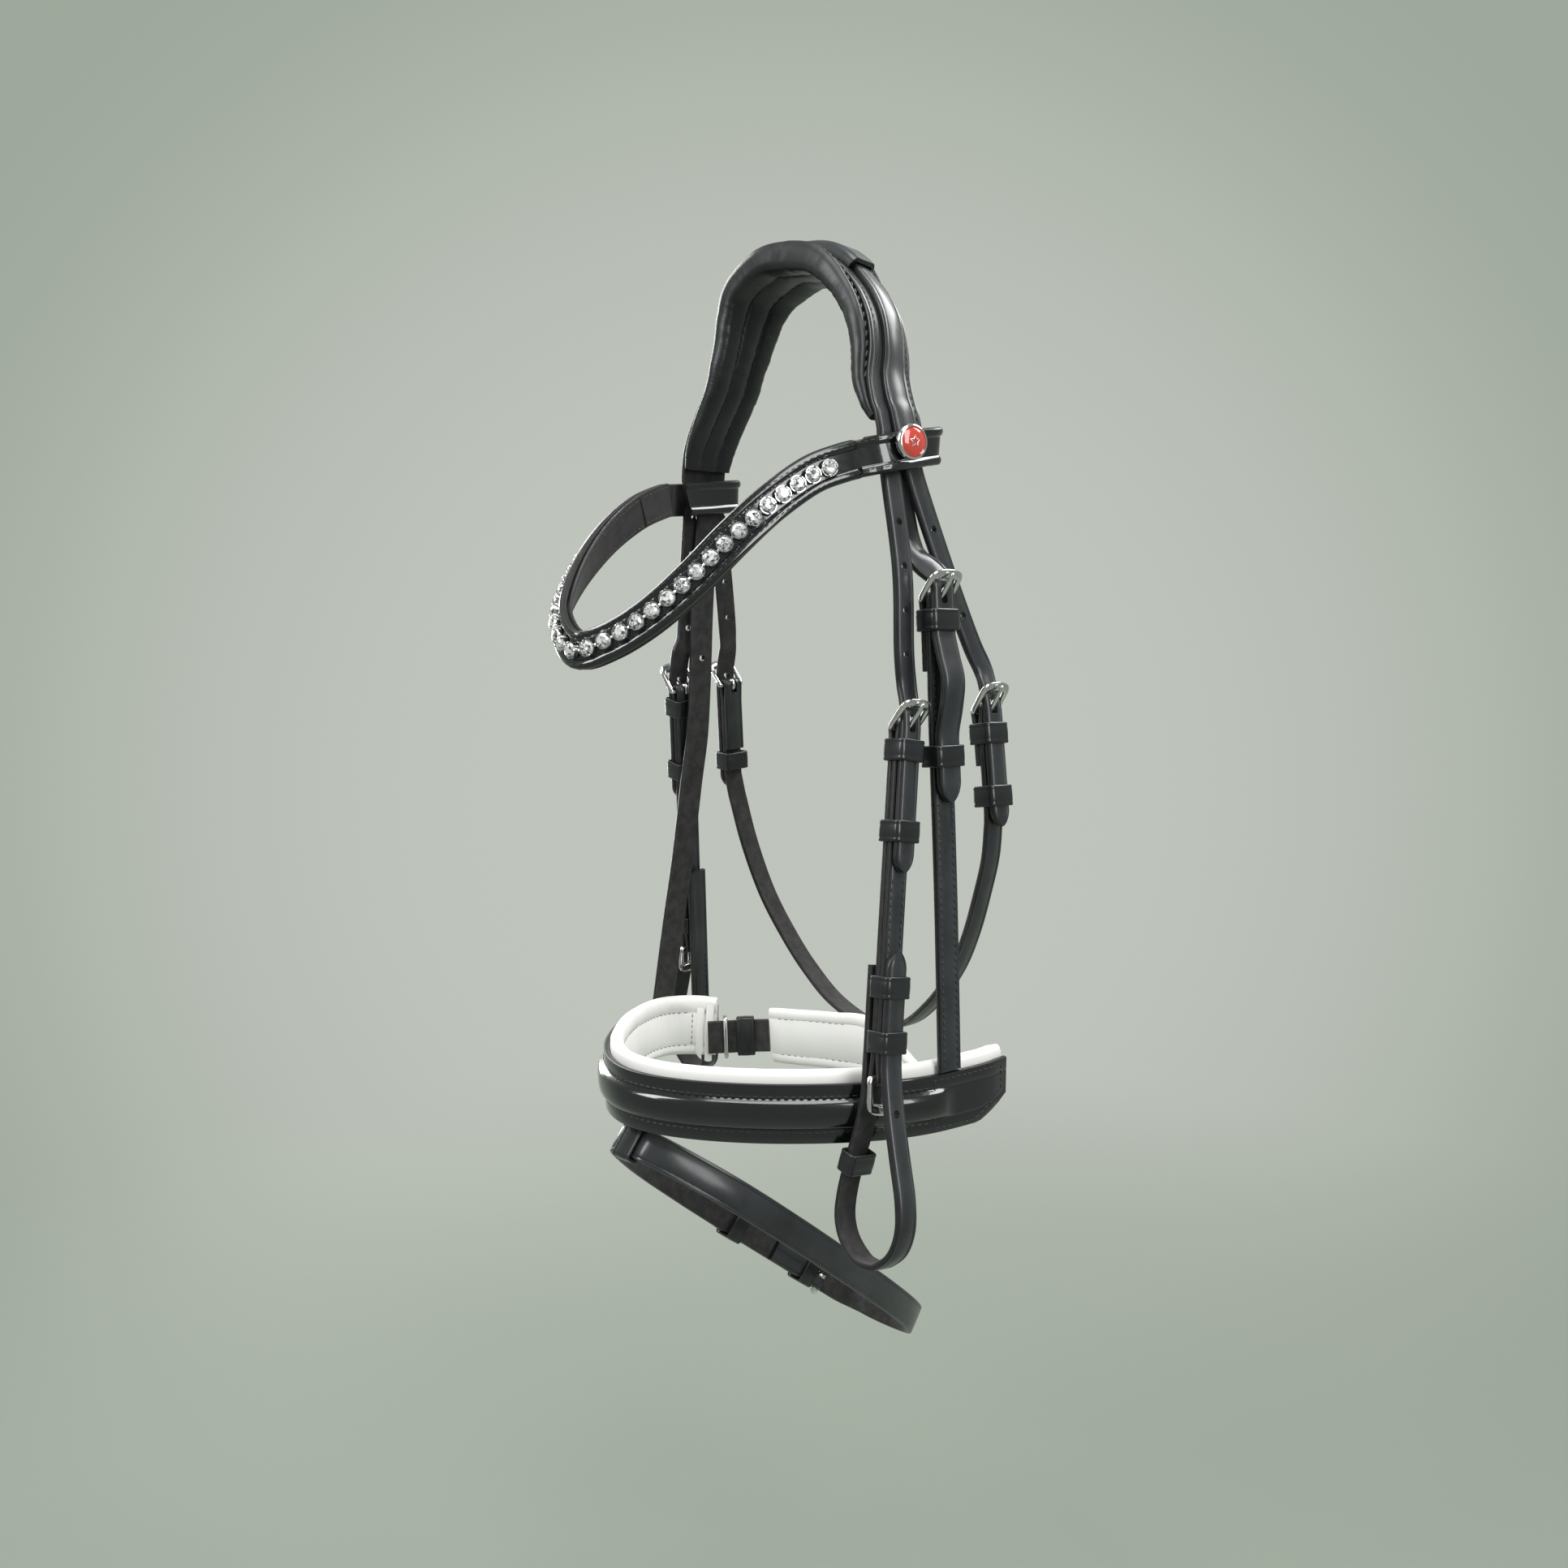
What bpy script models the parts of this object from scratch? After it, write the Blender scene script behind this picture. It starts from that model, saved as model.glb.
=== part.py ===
"""A pony's bridle with a padded headpiece, a crystal browband, a throatlatch, two cheekpieces and a flash noseband.

The frame has +Z up, the pony facing -Y and its near (left) side at +X, with the origin where the
headpiece rests on the poll. Each side's straps hang in their own small frame: s runs down the strap,
v across it towards the pony's front and n out of it, away from the head.
"""

from __future__ import annotations

import math
from dataclasses import dataclass

import bpy
from mathutils import Vector

# Leather and metal stock
GAP = 0.0003
LAYER_GAP = 0.0003
CHEEK_WIDTH = 0.010
NOSE_WIDTH = 0.012
LEATHER = 0.0024
FOLD_LEATHER = 0.0017
BAR_RADIUS = 0.0011
TONGUE_RADIUS = 0.0010
FRAME_LENGTH = 0.0115
FRAME_ARM_RADIUS = 0.0012
FRAME_END_HALF_WIDTH = 0.0021
FRAME_TILT_DEGREES = 40.0
KEEPER_WALL = 0.0012
KEEPER_WIDTH = 0.0085
SLOT_HALF_WIDTH = 0.0016
HOLE_RADIUS = 0.0015
EDGE_ROUND = 0.0005

# Where a point of a path table lies: its shares are of these three
HEAD_HALF_WIDTH = 0.100
BROW_REACH = 0.125
NOSE_DROP = 0.350


@dataclass(frozen=True)
class Station:
    """One ring of a sweep: its centre and the two directions that its section lies in."""

    centre: Vector
    across: Vector
    out: Vector


@dataclass(frozen=True)
class Place:
    """A small frame with s down a strap, v across it and n out of it."""

    origin: Vector
    down: Vector
    across: Vector
    out: Vector

    def at(self, s: float = 0.0, v: float = 0.0, n: float = 0.0) -> Vector:
        """Return the world point at these local distances."""
        return self.origin + self.down * s + self.across * v + self.out * n

    def moved(self, s: float = 0.0, v: float = 0.0, n: float = 0.0) -> Place:
        """Return the same frame with its origin moved by local distances."""
        return Place(self.at(s, v, n), self.down, self.across, self.out)

    def turned(self, degrees: float) -> Place:
        """Return the frame turned about its across axis, which lifts the down direction outwards."""
        angle = math.radians(degrees)
        down = self.down * math.cos(angle) + self.out * math.sin(angle)
        out = self.out * math.cos(angle) - self.down * math.sin(angle)
        return Place(self.origin, down, self.across, out)

    def flipped(self) -> Place:
        """Return the frame with its down direction reversed and its out direction kept."""
        return Place(self.origin, -self.down, -self.across, self.out)


def place_along(origin: Vector, below: Vector, out_hint: Vector, forward: Vector) -> Place:
    """Return the frame at origin that points to below, facing nearest to out_hint."""
    down = (below - origin).normalized()
    out = (out_hint - down * out_hint.dot(down)).normalized()
    across = down.cross(out)
    if across.dot(forward) < 0.0:
        across = -across
    return Place(origin, down, across, out)


def share_point(shares: tuple[float, float, float]) -> Vector:
    """Return the point of a path table's row."""
    return Vector((shares[0] * HEAD_HALF_WIDTH, shares[1] * BROW_REACH, shares[2] * NOSE_DROP))


def share_points(table: tuple[tuple[float, float, float], ...]) -> list[Vector]:
    """Return the points of a path table."""
    return [share_point(row) for row in table]


def smooth_path(points: list[Vector], steps: int, closed: bool = False) -> list[Vector]:
    """Return points on a smooth curve through the given ones, with steps to each span."""
    count = len(points)
    found = []
    for i in range(count if closed else count - 1):
        a, b = points[i], points[(i + 1) % count]
        before = points[i - 1] if closed or i else a * 2 - b
        after = points[(i + 2) % count] if closed or i + 2 < count else b * 2 - a
        for step in range(steps):
            t = step / steps
            found.append(
                (
                    b * (-3 * t**3 + 4 * t**2 + t)
                    + a * (3 * t**3 - 5 * t**2 + 2)
                    + before * (-(t**3) + 2 * t**2 - t)
                    + after * (t**3 - t**2)
                )
                / 2
            )
    return found if closed else [*found, points[-1]]


def stations_on(
    path: list[Vector],
    hints: list[Vector],
    closed: bool = False,
) -> list[Station]:
    """Return stations along a path whose out directions are nearest to the hints."""
    count = len(path)
    found = []
    for i, point in enumerate(path):
        before = path[i - 1] if closed or i else point
        after = path[(i + 1) % count] if closed or i + 1 < count else point
        along = (after - before).normalized()
        hint = hints[i]
        out = (hint - along * hint.dot(along)).normalized()
        found.append(Station(point, along.cross(out).normalized(), out))
    return found


def smooth_stations(
    points: list[Vector], hints: list[Vector], steps: int, closed: bool = False
) -> list[Station]:
    """Return stations on the smooth curve through points, with the hints smoothed alike."""
    return stations_on(
        smooth_path(points, steps, closed), smooth_path(hints, steps, closed), closed
    )


def slab(half_width: float, half_thickness: float, middle: float = 0.0) -> list[tuple[float, float]]:
    """Return a strap's section with bevelled edges, its middle at this distance out."""
    bevel = min(EDGE_ROUND, half_thickness / 2)
    wide, thick = half_width - bevel, half_thickness - bevel
    return [
        (half_width, middle - thick),
        (half_width, middle + thick),
        (wide, middle + half_thickness),
        (-wide, middle + half_thickness),
        (-half_width, middle + thick),
        (-half_width, middle - thick),
        (-wide, middle - half_thickness),
        (wide, middle - half_thickness),
    ]


def oval(half_width: float, half_height: float, sides: int = 6) -> list[tuple[float, float]]:
    """Return a round or oval section."""
    turns = [2 * math.pi * (i + 0.5) / sides for i in range(sides)]
    return [(half_width * math.cos(turn), half_height * math.sin(turn)) for turn in turns]


def mesh_object(name: str, points: list[Vector], faces: list[tuple[int, ...]], finish: str) -> bpy.types.Object:
    """Return a new object of these faces, with its normals facing out."""
    mesh = bpy.data.meshes.new(name)
    mesh.from_pydata([tuple(point) for point in points], [], faces)
    mesh.update()
    made = bpy.data.objects.new(name, mesh)
    bpy.context.scene.collection.objects.link(made)
    mesh.materials.append(material(name, finish))
    face_outwards(mesh)
    return made


def face_outwards(mesh: bpy.types.Mesh) -> None:
    """Turn the faces round where the closed mesh's volume comes out negative."""
    mesh.calc_loop_triangles()
    volume = 0.0
    for triangle in mesh.loop_triangles:
        a, b, c = (mesh.vertices[i].co for i in triangle.vertices)
        volume += a.dot(b.cross(c))
    if volume < 0.0:
        mesh.flip_normals()


def sweep(
    name: str,
    stations: list[Station],
    sections: list[list[tuple[float, float]]],
    finish: str,
    closed: bool = False,
) -> bpy.types.Object:
    """Return the solid that carries a section along the stations. One section serves them all."""
    if len(sections) == 1:
        sections = sections * len(stations)
    sides = len(sections[0])
    points = [
        station.centre + station.across * v + station.out * n
        for station, section in zip(stations, sections)
        for v, n in section
    ]
    rings = len(stations)
    faces: list[tuple[int, ...]] = []
    for ring in range(rings if closed else rings - 1):
        here, there = ring * sides, (ring + 1) % rings * sides
        for side in range(sides):
            beside = (side + 1) % sides
            faces.append((here + side, here + beside, there + beside, there + side))
    if not closed:
        faces.append(tuple(reversed(range(sides))))
        faces.append(tuple((rings - 1) * sides + side for side in range(sides)))
    return mesh_object(name, points, faces, finish)


FINISHES = {
    "leather": ((0.012, 0.011, 0.011), 0.0, 0.42),
    "patent": ((0.006, 0.006, 0.007), 0.0, 0.08),
    "matte": ((0.02, 0.018, 0.017), 0.0, 0.75),
    "white": ((0.85, 0.84, 0.82), 0.0, 0.55),
    "nickel": ((0.82, 0.81, 0.78), 1.0, 0.16),
    "crystal": ((0.9, 0.92, 0.95), 0.3, 0.05),
    "enamel": ((0.62, 0.02, 0.03), 0.0, 0.15),
}


def material(name: str, finish: str) -> bpy.types.Material:
    """Return a new Principled material for one piece."""
    colour, metallic, roughness = FINISHES[finish]
    made = bpy.data.materials.new(name)
    made.use_nodes = True
    shader = made.node_tree.nodes["Principled BSDF"]
    shader.inputs["Base Color"].default_value = (*colour, 1.0)
    shader.inputs["Metallic"].default_value = metallic
    shader.inputs["Roughness"].default_value = roughness
    return made


def cut(target: bpy.types.Object, cutter: bpy.types.Object) -> None:
    """Take the cutter's shape out of the target."""
    cutter.hide_render = True
    cutter.display_type = "WIRE"
    modifier = target.modifiers.new(cutter.name, "BOOLEAN")
    modifier.operation = "DIFFERENCE"
    modifier.solver = "EXACT"
    modifier.object = cutter


def rod(name: str, start: Vector, end: Vector, radius: float, sides: int = 8) -> bpy.types.Object:
    """Return a straight round cutter between two points."""
    along = (end - start).normalized()
    side = along.orthogonal().normalized()
    stations = [Station(point, side, along.cross(side)) for point in (start, end)]
    return sweep(name, stations, [oval(radius, radius, sides)], "nickel")


def slot_cutter(name: str, place: Place, s_from: float, s_to: float, half_width: float, depth: float) -> bpy.types.Object:
    """Return a box cutter through a strap, from one s to another."""
    stations = [Station(place.at(s), place.across, place.out) for s in (s_from, s_to)]
    corners = [(half_width, -depth), (half_width, depth), (-half_width, depth), (-half_width, -depth)]
    return sweep(name, stations, [corners], "nickel")


# Sizes that follow from the stock
LAYER_MIDDLE = (LEATHER + LAYER_GAP) / 2
BODY_HALF = LAYER_MIDDLE + LEATHER / 2
FOLD_MIDDLE = BAR_RADIUS + GAP + FOLD_LEATHER / 2
FOLD_HALF = FOLD_MIDDLE + FOLD_LEATHER / 2
BILLET_MIDDLE = FOLD_HALF + GAP + LEATHER / 2
CURL_MIDDLE = BAR_RADIUS + GAP + TONGUE_RADIUS
SLOT_ABOVE = 0.0056
SLOT_BELOW = 0.0017
FOLD_SLOT_BELOW = 0.0045
TAPER_LENGTH = 0.008
TAPER_REACH_SHARE = 2.2
FOLD_STEPS = 5
KEEPER_CHAMFER = 0.0012
KEEPER_SIDE_GAP = 0.0004
FRAME_SIDE_GAP = 0.0005

# Round a buckle's frame: shares of its length, then of its half width, and which section it has
FRAME_SHARES = (
    (0.0, -0.82, "bar"),
    (0.0, 0.0, "bar"),
    (0.0, 0.82, "bar"),
    (0.09, 0.98, "arm"),
    (0.3, 1.0, "arm"),
    (0.62, 1.0, "arm"),
    (0.86, 0.9, "end"),
    (0.98, 0.62, "end"),
    (1.06, 0.0, "end"),
    (0.98, -0.62, "end"),
    (0.86, -0.9, "end"),
    (0.62, -1.0, "arm"),
    (0.3, -1.0, "arm"),
    (0.09, -0.98, "arm"),
)


def fold_stations(place: Place, width: float, upward: bool, first: float, last: float) -> tuple[list[Station], list]:
    """Return the stations and sections of a fold round the bar at the place's origin.

    The angles run from first to last, measured from the direction that the fold bulges in.
    """
    sign = -1.0 if upward else 1.0
    stations, sections = [], []
    for step in range(FOLD_STEPS + 1):
        angle = math.radians(first + (last - first) * step / FOLD_STEPS)
        radial = place.down * (sign * math.cos(angle)) + place.out * math.sin(angle)
        stations.append(Station(place.origin + radial * FOLD_MIDDLE, place.across, radial))
        sections.append(slab(width / 2, FOLD_LEATHER / 2))
    return stations, sections


def belt(name: str, place: Place, length: float, width: float) -> bpy.types.Object:
    """Return a strap folded round a bar at its place and round another one further down."""
    bottom = place.moved(s=length)
    runs = (TAPER_LENGTH, length / 3, length * 2 / 3, length - TAPER_LENGTH)
    stations = [Station(place.at(s, 0.0, LAYER_MIDDLE), place.across, place.out) for s in runs]
    sections = [slab(width / 2, LEATHER / 2)] * len(runs)
    fold, fold_sections = fold_stations(bottom, width, False, 95.0, -95.0)
    stations, sections = stations + fold, sections + fold_sections
    stations += [Station(place.at(s, 0.0, -LAYER_MIDDLE), place.across, -place.out) for s in reversed(runs)]
    sections += [slab(width / 2, LEATHER / 2)] * len(runs)
    fold, fold_sections = fold_stations(place, width, True, -95.0, 95.0)
    return sweep(name, stations + fold, sections + fold_sections, "leather", closed=True)


def frame_place(place: Place, upward: bool, tilt: float) -> Place:
    """Return the frame that a buckle lies in, its down direction from the hinge bar to the end bar."""
    return (place.flipped() if upward else place).turned(tilt)


def buckle(name: str, place: Place, width: float) -> bpy.types.Object:
    """Return a buckle's frame, with a plain hinge bar and a wide curved end bar."""
    half = width / 2 + FRAME_SIDE_GAP + FRAME_ARM_RADIUS
    section_of = {
        "bar": oval(BAR_RADIUS, BAR_RADIUS),
        "arm": oval(FRAME_ARM_RADIUS, FRAME_ARM_RADIUS),
        "end": oval(FRAME_END_HALF_WIDTH, BAR_RADIUS),
    }
    path = [place.at(length * FRAME_LENGTH, across * half) for length, across, _ in FRAME_SHARES]
    stations = stations_on(path, [place.out] * len(path), closed=True)
    sections = [section_of[kind] for _, _, kind in FRAME_SHARES]
    return sweep(name, stations, sections, "nickel", closed=True)


def tongue(name: str, place: Place) -> bpy.types.Object:
    """Return a buckle's tongue, curled round the hinge bar and lying on the end bar."""
    path, hints = [], []
    for step in range(7):
        angle = math.radians(-50.0 - 220.0 * step / 6)
        radial = place.down * math.cos(angle) + place.out * math.sin(angle)
        path.append(place.origin + radial * CURL_MIDDLE)
        hints.append(radial)
    reach = FRAME_LENGTH * 1.05 + FRAME_END_HALF_WIDTH
    for share in (0.3, 0.7, 1.0):
        path.append(place.at(reach * share, 0.0, CURL_MIDDLE))
        hints.append(place.out)
    sections = [oval(TONGUE_RADIUS, TONGUE_RADIUS)] * (len(path) - 1)
    sections.append(oval(TONGUE_RADIUS * 0.6, TONGUE_RADIUS * 0.6))
    return sweep(name, stations_on(path, hints), sections, "nickel")


def keeper_path(place: Place, width: float, inside: float, outside: float, wall: float) -> list[Station]:
    """Return the path of a loop round a strap, its inner faces at these distances in and out of the place."""
    half = width / 2 + KEEPER_SIDE_GAP + wall / 2
    low, high = -inside - wall / 2, outside + wall / 2
    corner = KEEPER_CHAMFER
    path = [
        place.at(0.0, v, n)
        for v, n in (
            (half, low + corner),
            (half, high - corner),
            (half - corner, high),
            (-half + corner, high),
            (-half, high - corner),
            (-half, low + corner),
            (-half + corner, low),
            (half - corner, low),
        )
    ]
    middle = place.at(0.0, 0.0, (low + high) / 2)
    return stations_on(path, [point - middle for point in path], closed=True)


def keeper_section(half_width: float, half_thickness: float) -> list[tuple[float, float]]:
    """Return a keeper's section, bevelled on its outer side alone."""
    wide = half_width - EDGE_ROUND
    return [
        (half_width, -half_thickness),
        (half_width, 0.0),
        (wide, half_thickness),
        (-wide, half_thickness),
        (-half_width, 0.0),
        (-half_width, -half_thickness),
    ]


def keeper(name: str, place: Place, width: float, inside: float, outside: float) -> bpy.types.Object:
    """Return a leather loop round a strap."""
    stations = keeper_path(place, width, inside, outside, KEEPER_WALL)
    return sweep(name, stations, [keeper_section(KEEPER_WIDTH / 2, KEEPER_WALL / 2)], "patent", closed=True)


def billet_tip(place: Place, width: float, at: float, middle: float, upward: bool) -> tuple[list[Station], list]:
    """Return the stations and sections of a strap's pointed tip that starts at this s."""
    sign = -1.0 if upward else 1.0
    stations, sections = [], []
    for length, share in ((0.0, 1.0), (0.45, 0.86), (0.8, 0.52), (1.0, 0.14)):
        s = at + sign * length * width * 0.7
        stations.append(Station(place.at(s, 0.0, middle), place.across, place.out))
        sections.append(slab(width / 2 * share, LEATHER / 2))
    return stations, sections


# The cheekpieces
BIT_BAR_AT = 0.1345
BIT_LOOP_BOTTOM = 0.205
BIT_LOOP_HALF = 0.0165
BIT_HOLE_SHARE = 0.715
CHEEK_KEEPER_AT = 0.0085
CHEEK_RUNNER_AT = 0.040
CHEEK_TIP_AT = 0.049
BIT_TIP_AT = 0.093
BIT_KEEPER_UPPER_AT = 0.100
BIT_KEEPER_LOWER_AT = 0.121
BIT_BUCKLE_TILT = 4.0
BILLET_HOLE_PITCH = 0.017
BILLET_FIRST_HOLE_AT = -0.029
BILLET_HOLES = 4
SEWN_KEEPER_SHARE = 0.815
SEWN_KEEPER_ROOM = 0.003
BIT_STRAP_SHARES = (
    (0.449, -0.339),
    (0.546, -0.339),
    (0.624, -0.339),
    (0.693, -0.358),
    (0.756, -0.515),
    (0.82, -0.758),
    (0.878, -0.939),
    (0.927, -0.982),
    (0.966, -0.788),
    (0.993, -0.394),
    (1.0, -0.15),
    (1.0, 0.15),
    (0.993, 0.394),
    (0.966, 0.788),
    (0.922, 0.988),
    (0.868, 0.939),
    (0.805, 0.727),
    (0.732, 0.485),
    (0.673, 0.333),
    (0.624, 0.255),
    (0.546, 0.248),
    (0.488, 0.248),
)
# The far loop keeps clear of the noseband's side, so its inner strand bulges lower down
FAR_BIT_STRAP_SHARES = (
    (0.449, -0.339),
    (0.546, -0.339),
    (0.624, -0.339),
    (0.693, -0.339),
    (0.756, -0.339),
    (0.82, -0.352),
    (0.868, -0.455),
    (0.917, -0.697),
    (0.961, -0.697),
    (0.993, -0.394),
    *BIT_STRAP_SHARES[10:],
)
SEWN_KEEPER_DEPTH_SHARES = {"near": -0.74, "far": -0.35}
BIT_STRAND_SHARE = 0.248
BOW_SHARES = ((0.2, 0.0), (0.32, 0.5), (0.45, 1.0), (0.6, 0.6), (0.74, 0.0), (0.85, 0.0))
NEAR_CHEEK_SHARES = (
    (0.65, -0.1416, -0.2514),
    (0.715, -0.1384, -0.3543),
    (0.736, -0.144, -0.4429),
    (0.75, -0.16, -0.5314),
    (0.885, -0.34, -0.9143),
)
FAR_CHEEK_SHARES = (
    (-0.648, -0.14, -0.2729),
    (-0.69, -0.1344, -0.3571),
    (-0.712, -0.1352, -0.4286),
    (-0.73, -0.1392, -0.5029),
    (-0.98, 0.04, -0.8871),
)


def nearest_station(stations: list[Station], point: Vector) -> Place:
    """Return a place at the station nearest to the point, with its down direction along the path."""
    index = min(range(len(stations)), key=lambda i: (stations[i].centre - point).length)
    here = stations[index]
    along = here.across.cross(here.out)
    return Place(here.centre, along, here.across, here.out)


def punch(target: bpy.types.Object, stations: list[Station], heights: list[float]) -> None:
    """Cut round holes through a strap where its path passes these heights."""
    for number, height in enumerate(heights):
        for before, after in zip(stations, stations[1:]):
            low, high = sorted((before.centre.z, after.centre.z))
            if not low <= height < high:
                continue
            share = (height - before.centre.z) / (after.centre.z - before.centre.z)
            middle = before.centre.lerp(after.centre, share)
            reach = before.out * LEATHER
            cut(target, rod(f"{target.name}_hole_{number}", middle - reach, middle + reach, HOLE_RADIUS))
            break


def aligned(stations: list[Station], across: Vector) -> list[Station]:
    """Return the stations with each across direction turned to the side that follows on from this one."""
    found = []
    for station in stations:
        if station.across.dot(across) < 0.0:
            station = Station(station.centre, -station.across, station.out)
        found.append(station)
        across = station.across
    return found


def rounded_top(stations: list[Station], width: float) -> tuple[list[Station], list]:
    """Return the stations and sections of a strap's half-round end before the first station."""
    first = stations[0]
    back = (first.centre - stations[1].centre).normalized() * (width / 2)
    cap = [Station(first.centre + back * share, first.across, first.out) for share in (0.96, 0.75, 0.38)]
    return cap, [slab(width / 2 * share, LEATHER / 2) for share in (0.28, 0.66, 0.92)]


def billet(
    name: str,
    above: list[Station],
    place: Place,
    width: float,
    tip_at: float,
    holes: list[float],
    bow: float = 0.0,
    cap: bool = True,
) -> bpy.types.Object:
    """Return a holed strap that comes down through a buckle, with its tip under the keepers."""
    path = [Station(place.at(tip_at * share, 0.0, BILLET_MIDDLE + bow * rise), place.across, place.out) for share, rise in BOW_SHARES]
    stations = aligned([*reversed(above)], place.across)[::-1] + path
    tip, tip_sections = billet_tip(place, width, tip_at, BILLET_MIDDLE, False)
    top, top_sections = rounded_top(stations, width) if cap else ([], [])
    sections = top_sections + [slab(width / 2, LEATHER / 2)] * len(stations) + tip_sections
    made = sweep(name, top + stations + tip, sections, "leather")
    lifted = place.moved(n=BILLET_MIDDLE)
    cut(made, slot_cutter(f"{name}_slot", lifted, -SLOT_ABOVE, SLOT_BELOW, SLOT_HALF_WIDTH, LEATHER))
    punch(made, stations, holes)
    return made


def through_buckle(
    points: list[Vector], hints: list[Vector], place: Place, steps: int, led: bool = False
) -> list[Station]:
    """Return the stations of a strap from its points, which may lead in closely, down to a buckle's bar."""
    lift = FOLD_HALF / 3
    if not led:
        points, hints = [*points, place.at(-TAPER_LENGTH * TAPER_REACH_SHARE, 0.0, lift)], [*hints, place.out]
    points = [*points, place.at(-TAPER_LENGTH, 0.0, BILLET_MIDDLE - lift), place.at(0.0, 0.0, BILLET_MIDDLE)]
    return smooth_stations(points, [*hints, place.out, place.out], steps)


def bit_strap(name: str, place: Place, table: tuple[tuple[float, float], ...]) -> list[Station]:
    """Build the strap that runs round the bit, and return its stations."""
    points = [place.at(s * BIT_LOOP_BOTTOM, 0.0, n * BIT_LOOP_HALF) for s, n in table]
    hints = []
    for i, point in enumerate(points):
        before, after = points[max(i - 1, 0)], points[min(i + 1, len(points) - 1)]
        hints.append((after - before).normalized().cross(place.across))
    if hints[0].dot(place.out) > 0.0:
        hints = [-hint for hint in hints]
    stations = aligned(smooth_stations(points, hints, 1), place.across)
    tip, tip_sections = billet_tip(place, CHEEK_WIDTH, BIT_TIP_AT, BIT_STRAND_SHARE * BIT_LOOP_HALF, True)
    tip = aligned(tip, stations[-1].across)
    sections = [slab(CHEEK_WIDTH / 2, LEATHER / 2)] * len(stations) + tip_sections
    made = sweep(name, stations + tip, sections, "leather")
    punch_at = place.at(BIT_LOOP_BOTTOM * BIT_HOLE_SHARE, 0.0, BIT_LOOP_HALF / 2)
    hole = nearest_station(stations, punch_at)
    cut(made, rod(f"{name}_hole", hole.at(n=-LEATHER), hole.at(n=LEATHER), HOLE_RADIUS))
    return stations


def build_cheekpiece(side: str, table: tuple, out_hint: Vector) -> Place:
    """Build one cheekpiece from its path and return the place of its upper buckle's bar."""
    *top, bar, bottom = share_points(table)
    place = place_along(bar, bottom, out_hint, Vector((0.0, -1.0, 0.0)))
    heights = [bar.z - BILLET_FIRST_HOLE_AT + BILLET_HOLE_PITCH * number for number in range(BILLET_HOLES)]
    above = through_buckle(top, [place.out] * len(top), place, 3)
    billet(f"cheek_billet_{side}", above, place, CHEEK_WIDTH, CHEEK_TIP_AT, heights)
    strap = belt(f"cheek_strap_{side}", place, BIT_BAR_AT, CHEEK_WIDTH)
    low = place.moved(s=BIT_BAR_AT)
    depth = FOLD_HALF * 1.5
    cut(strap, slot_cutter(f"cheek_strap_{side}_upper_slot", place, -SLOT_ABOVE, FOLD_SLOT_BELOW, SLOT_HALF_WIDTH, depth))
    cut(strap, slot_cutter(f"cheek_strap_{side}_lower_slot", low, -FOLD_SLOT_BELOW, SLOT_ABOVE, SLOT_HALF_WIDTH, depth))
    upper_frame = frame_place(place, True, FRAME_TILT_DEGREES)
    lower_frame = frame_place(low, False, BIT_BUCKLE_TILT)
    buckle(f"cheek_buckle_{side}", upper_frame, CHEEK_WIDTH)
    tongue(f"cheek_tongue_{side}", upper_frame)
    buckle(f"bit_buckle_{side}", lower_frame, CHEEK_WIDTH)
    tongue(f"bit_tongue_{side}", lower_frame)
    inside = BODY_HALF + GAP
    over_billet = BILLET_MIDDLE + LEATHER / 2 + GAP
    over_strand = BIT_STRAND_SHARE * BIT_LOOP_HALF + LEATHER / 2 + GAP
    keeper(f"cheek_keeper_{side}", place.moved(s=CHEEK_KEEPER_AT), CHEEK_WIDTH, inside, over_billet)
    keeper(f"cheek_runner_{side}", place.moved(s=CHEEK_RUNNER_AT), CHEEK_WIDTH, inside, over_billet)
    keeper(f"bit_keeper_upper_{side}", place.moved(s=BIT_KEEPER_UPPER_AT), CHEEK_WIDTH, inside, over_strand)
    keeper(f"bit_keeper_lower_{side}", place.moved(s=BIT_KEEPER_LOWER_AT), CHEEK_WIDTH, inside, over_strand)
    table = BIT_STRAP_SHARES if side == "near" else FAR_BIT_STRAP_SHARES
    stations = bit_strap(f"bit_strap_{side}", place, table)
    sewn_at = place.at(BIT_LOOP_BOTTOM * SEWN_KEEPER_SHARE, 0.0, BIT_LOOP_HALF * SEWN_KEEPER_DEPTH_SHARES[side])
    sewn = nearest_station(stations, sewn_at)
    keeper(f"bit_keeper_sewn_{side}", sewn, CHEEK_WIDTH, LEATHER / 2 + SEWN_KEEPER_ROOM, LEATHER / 2 + GAP * 2)
    return place


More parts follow.
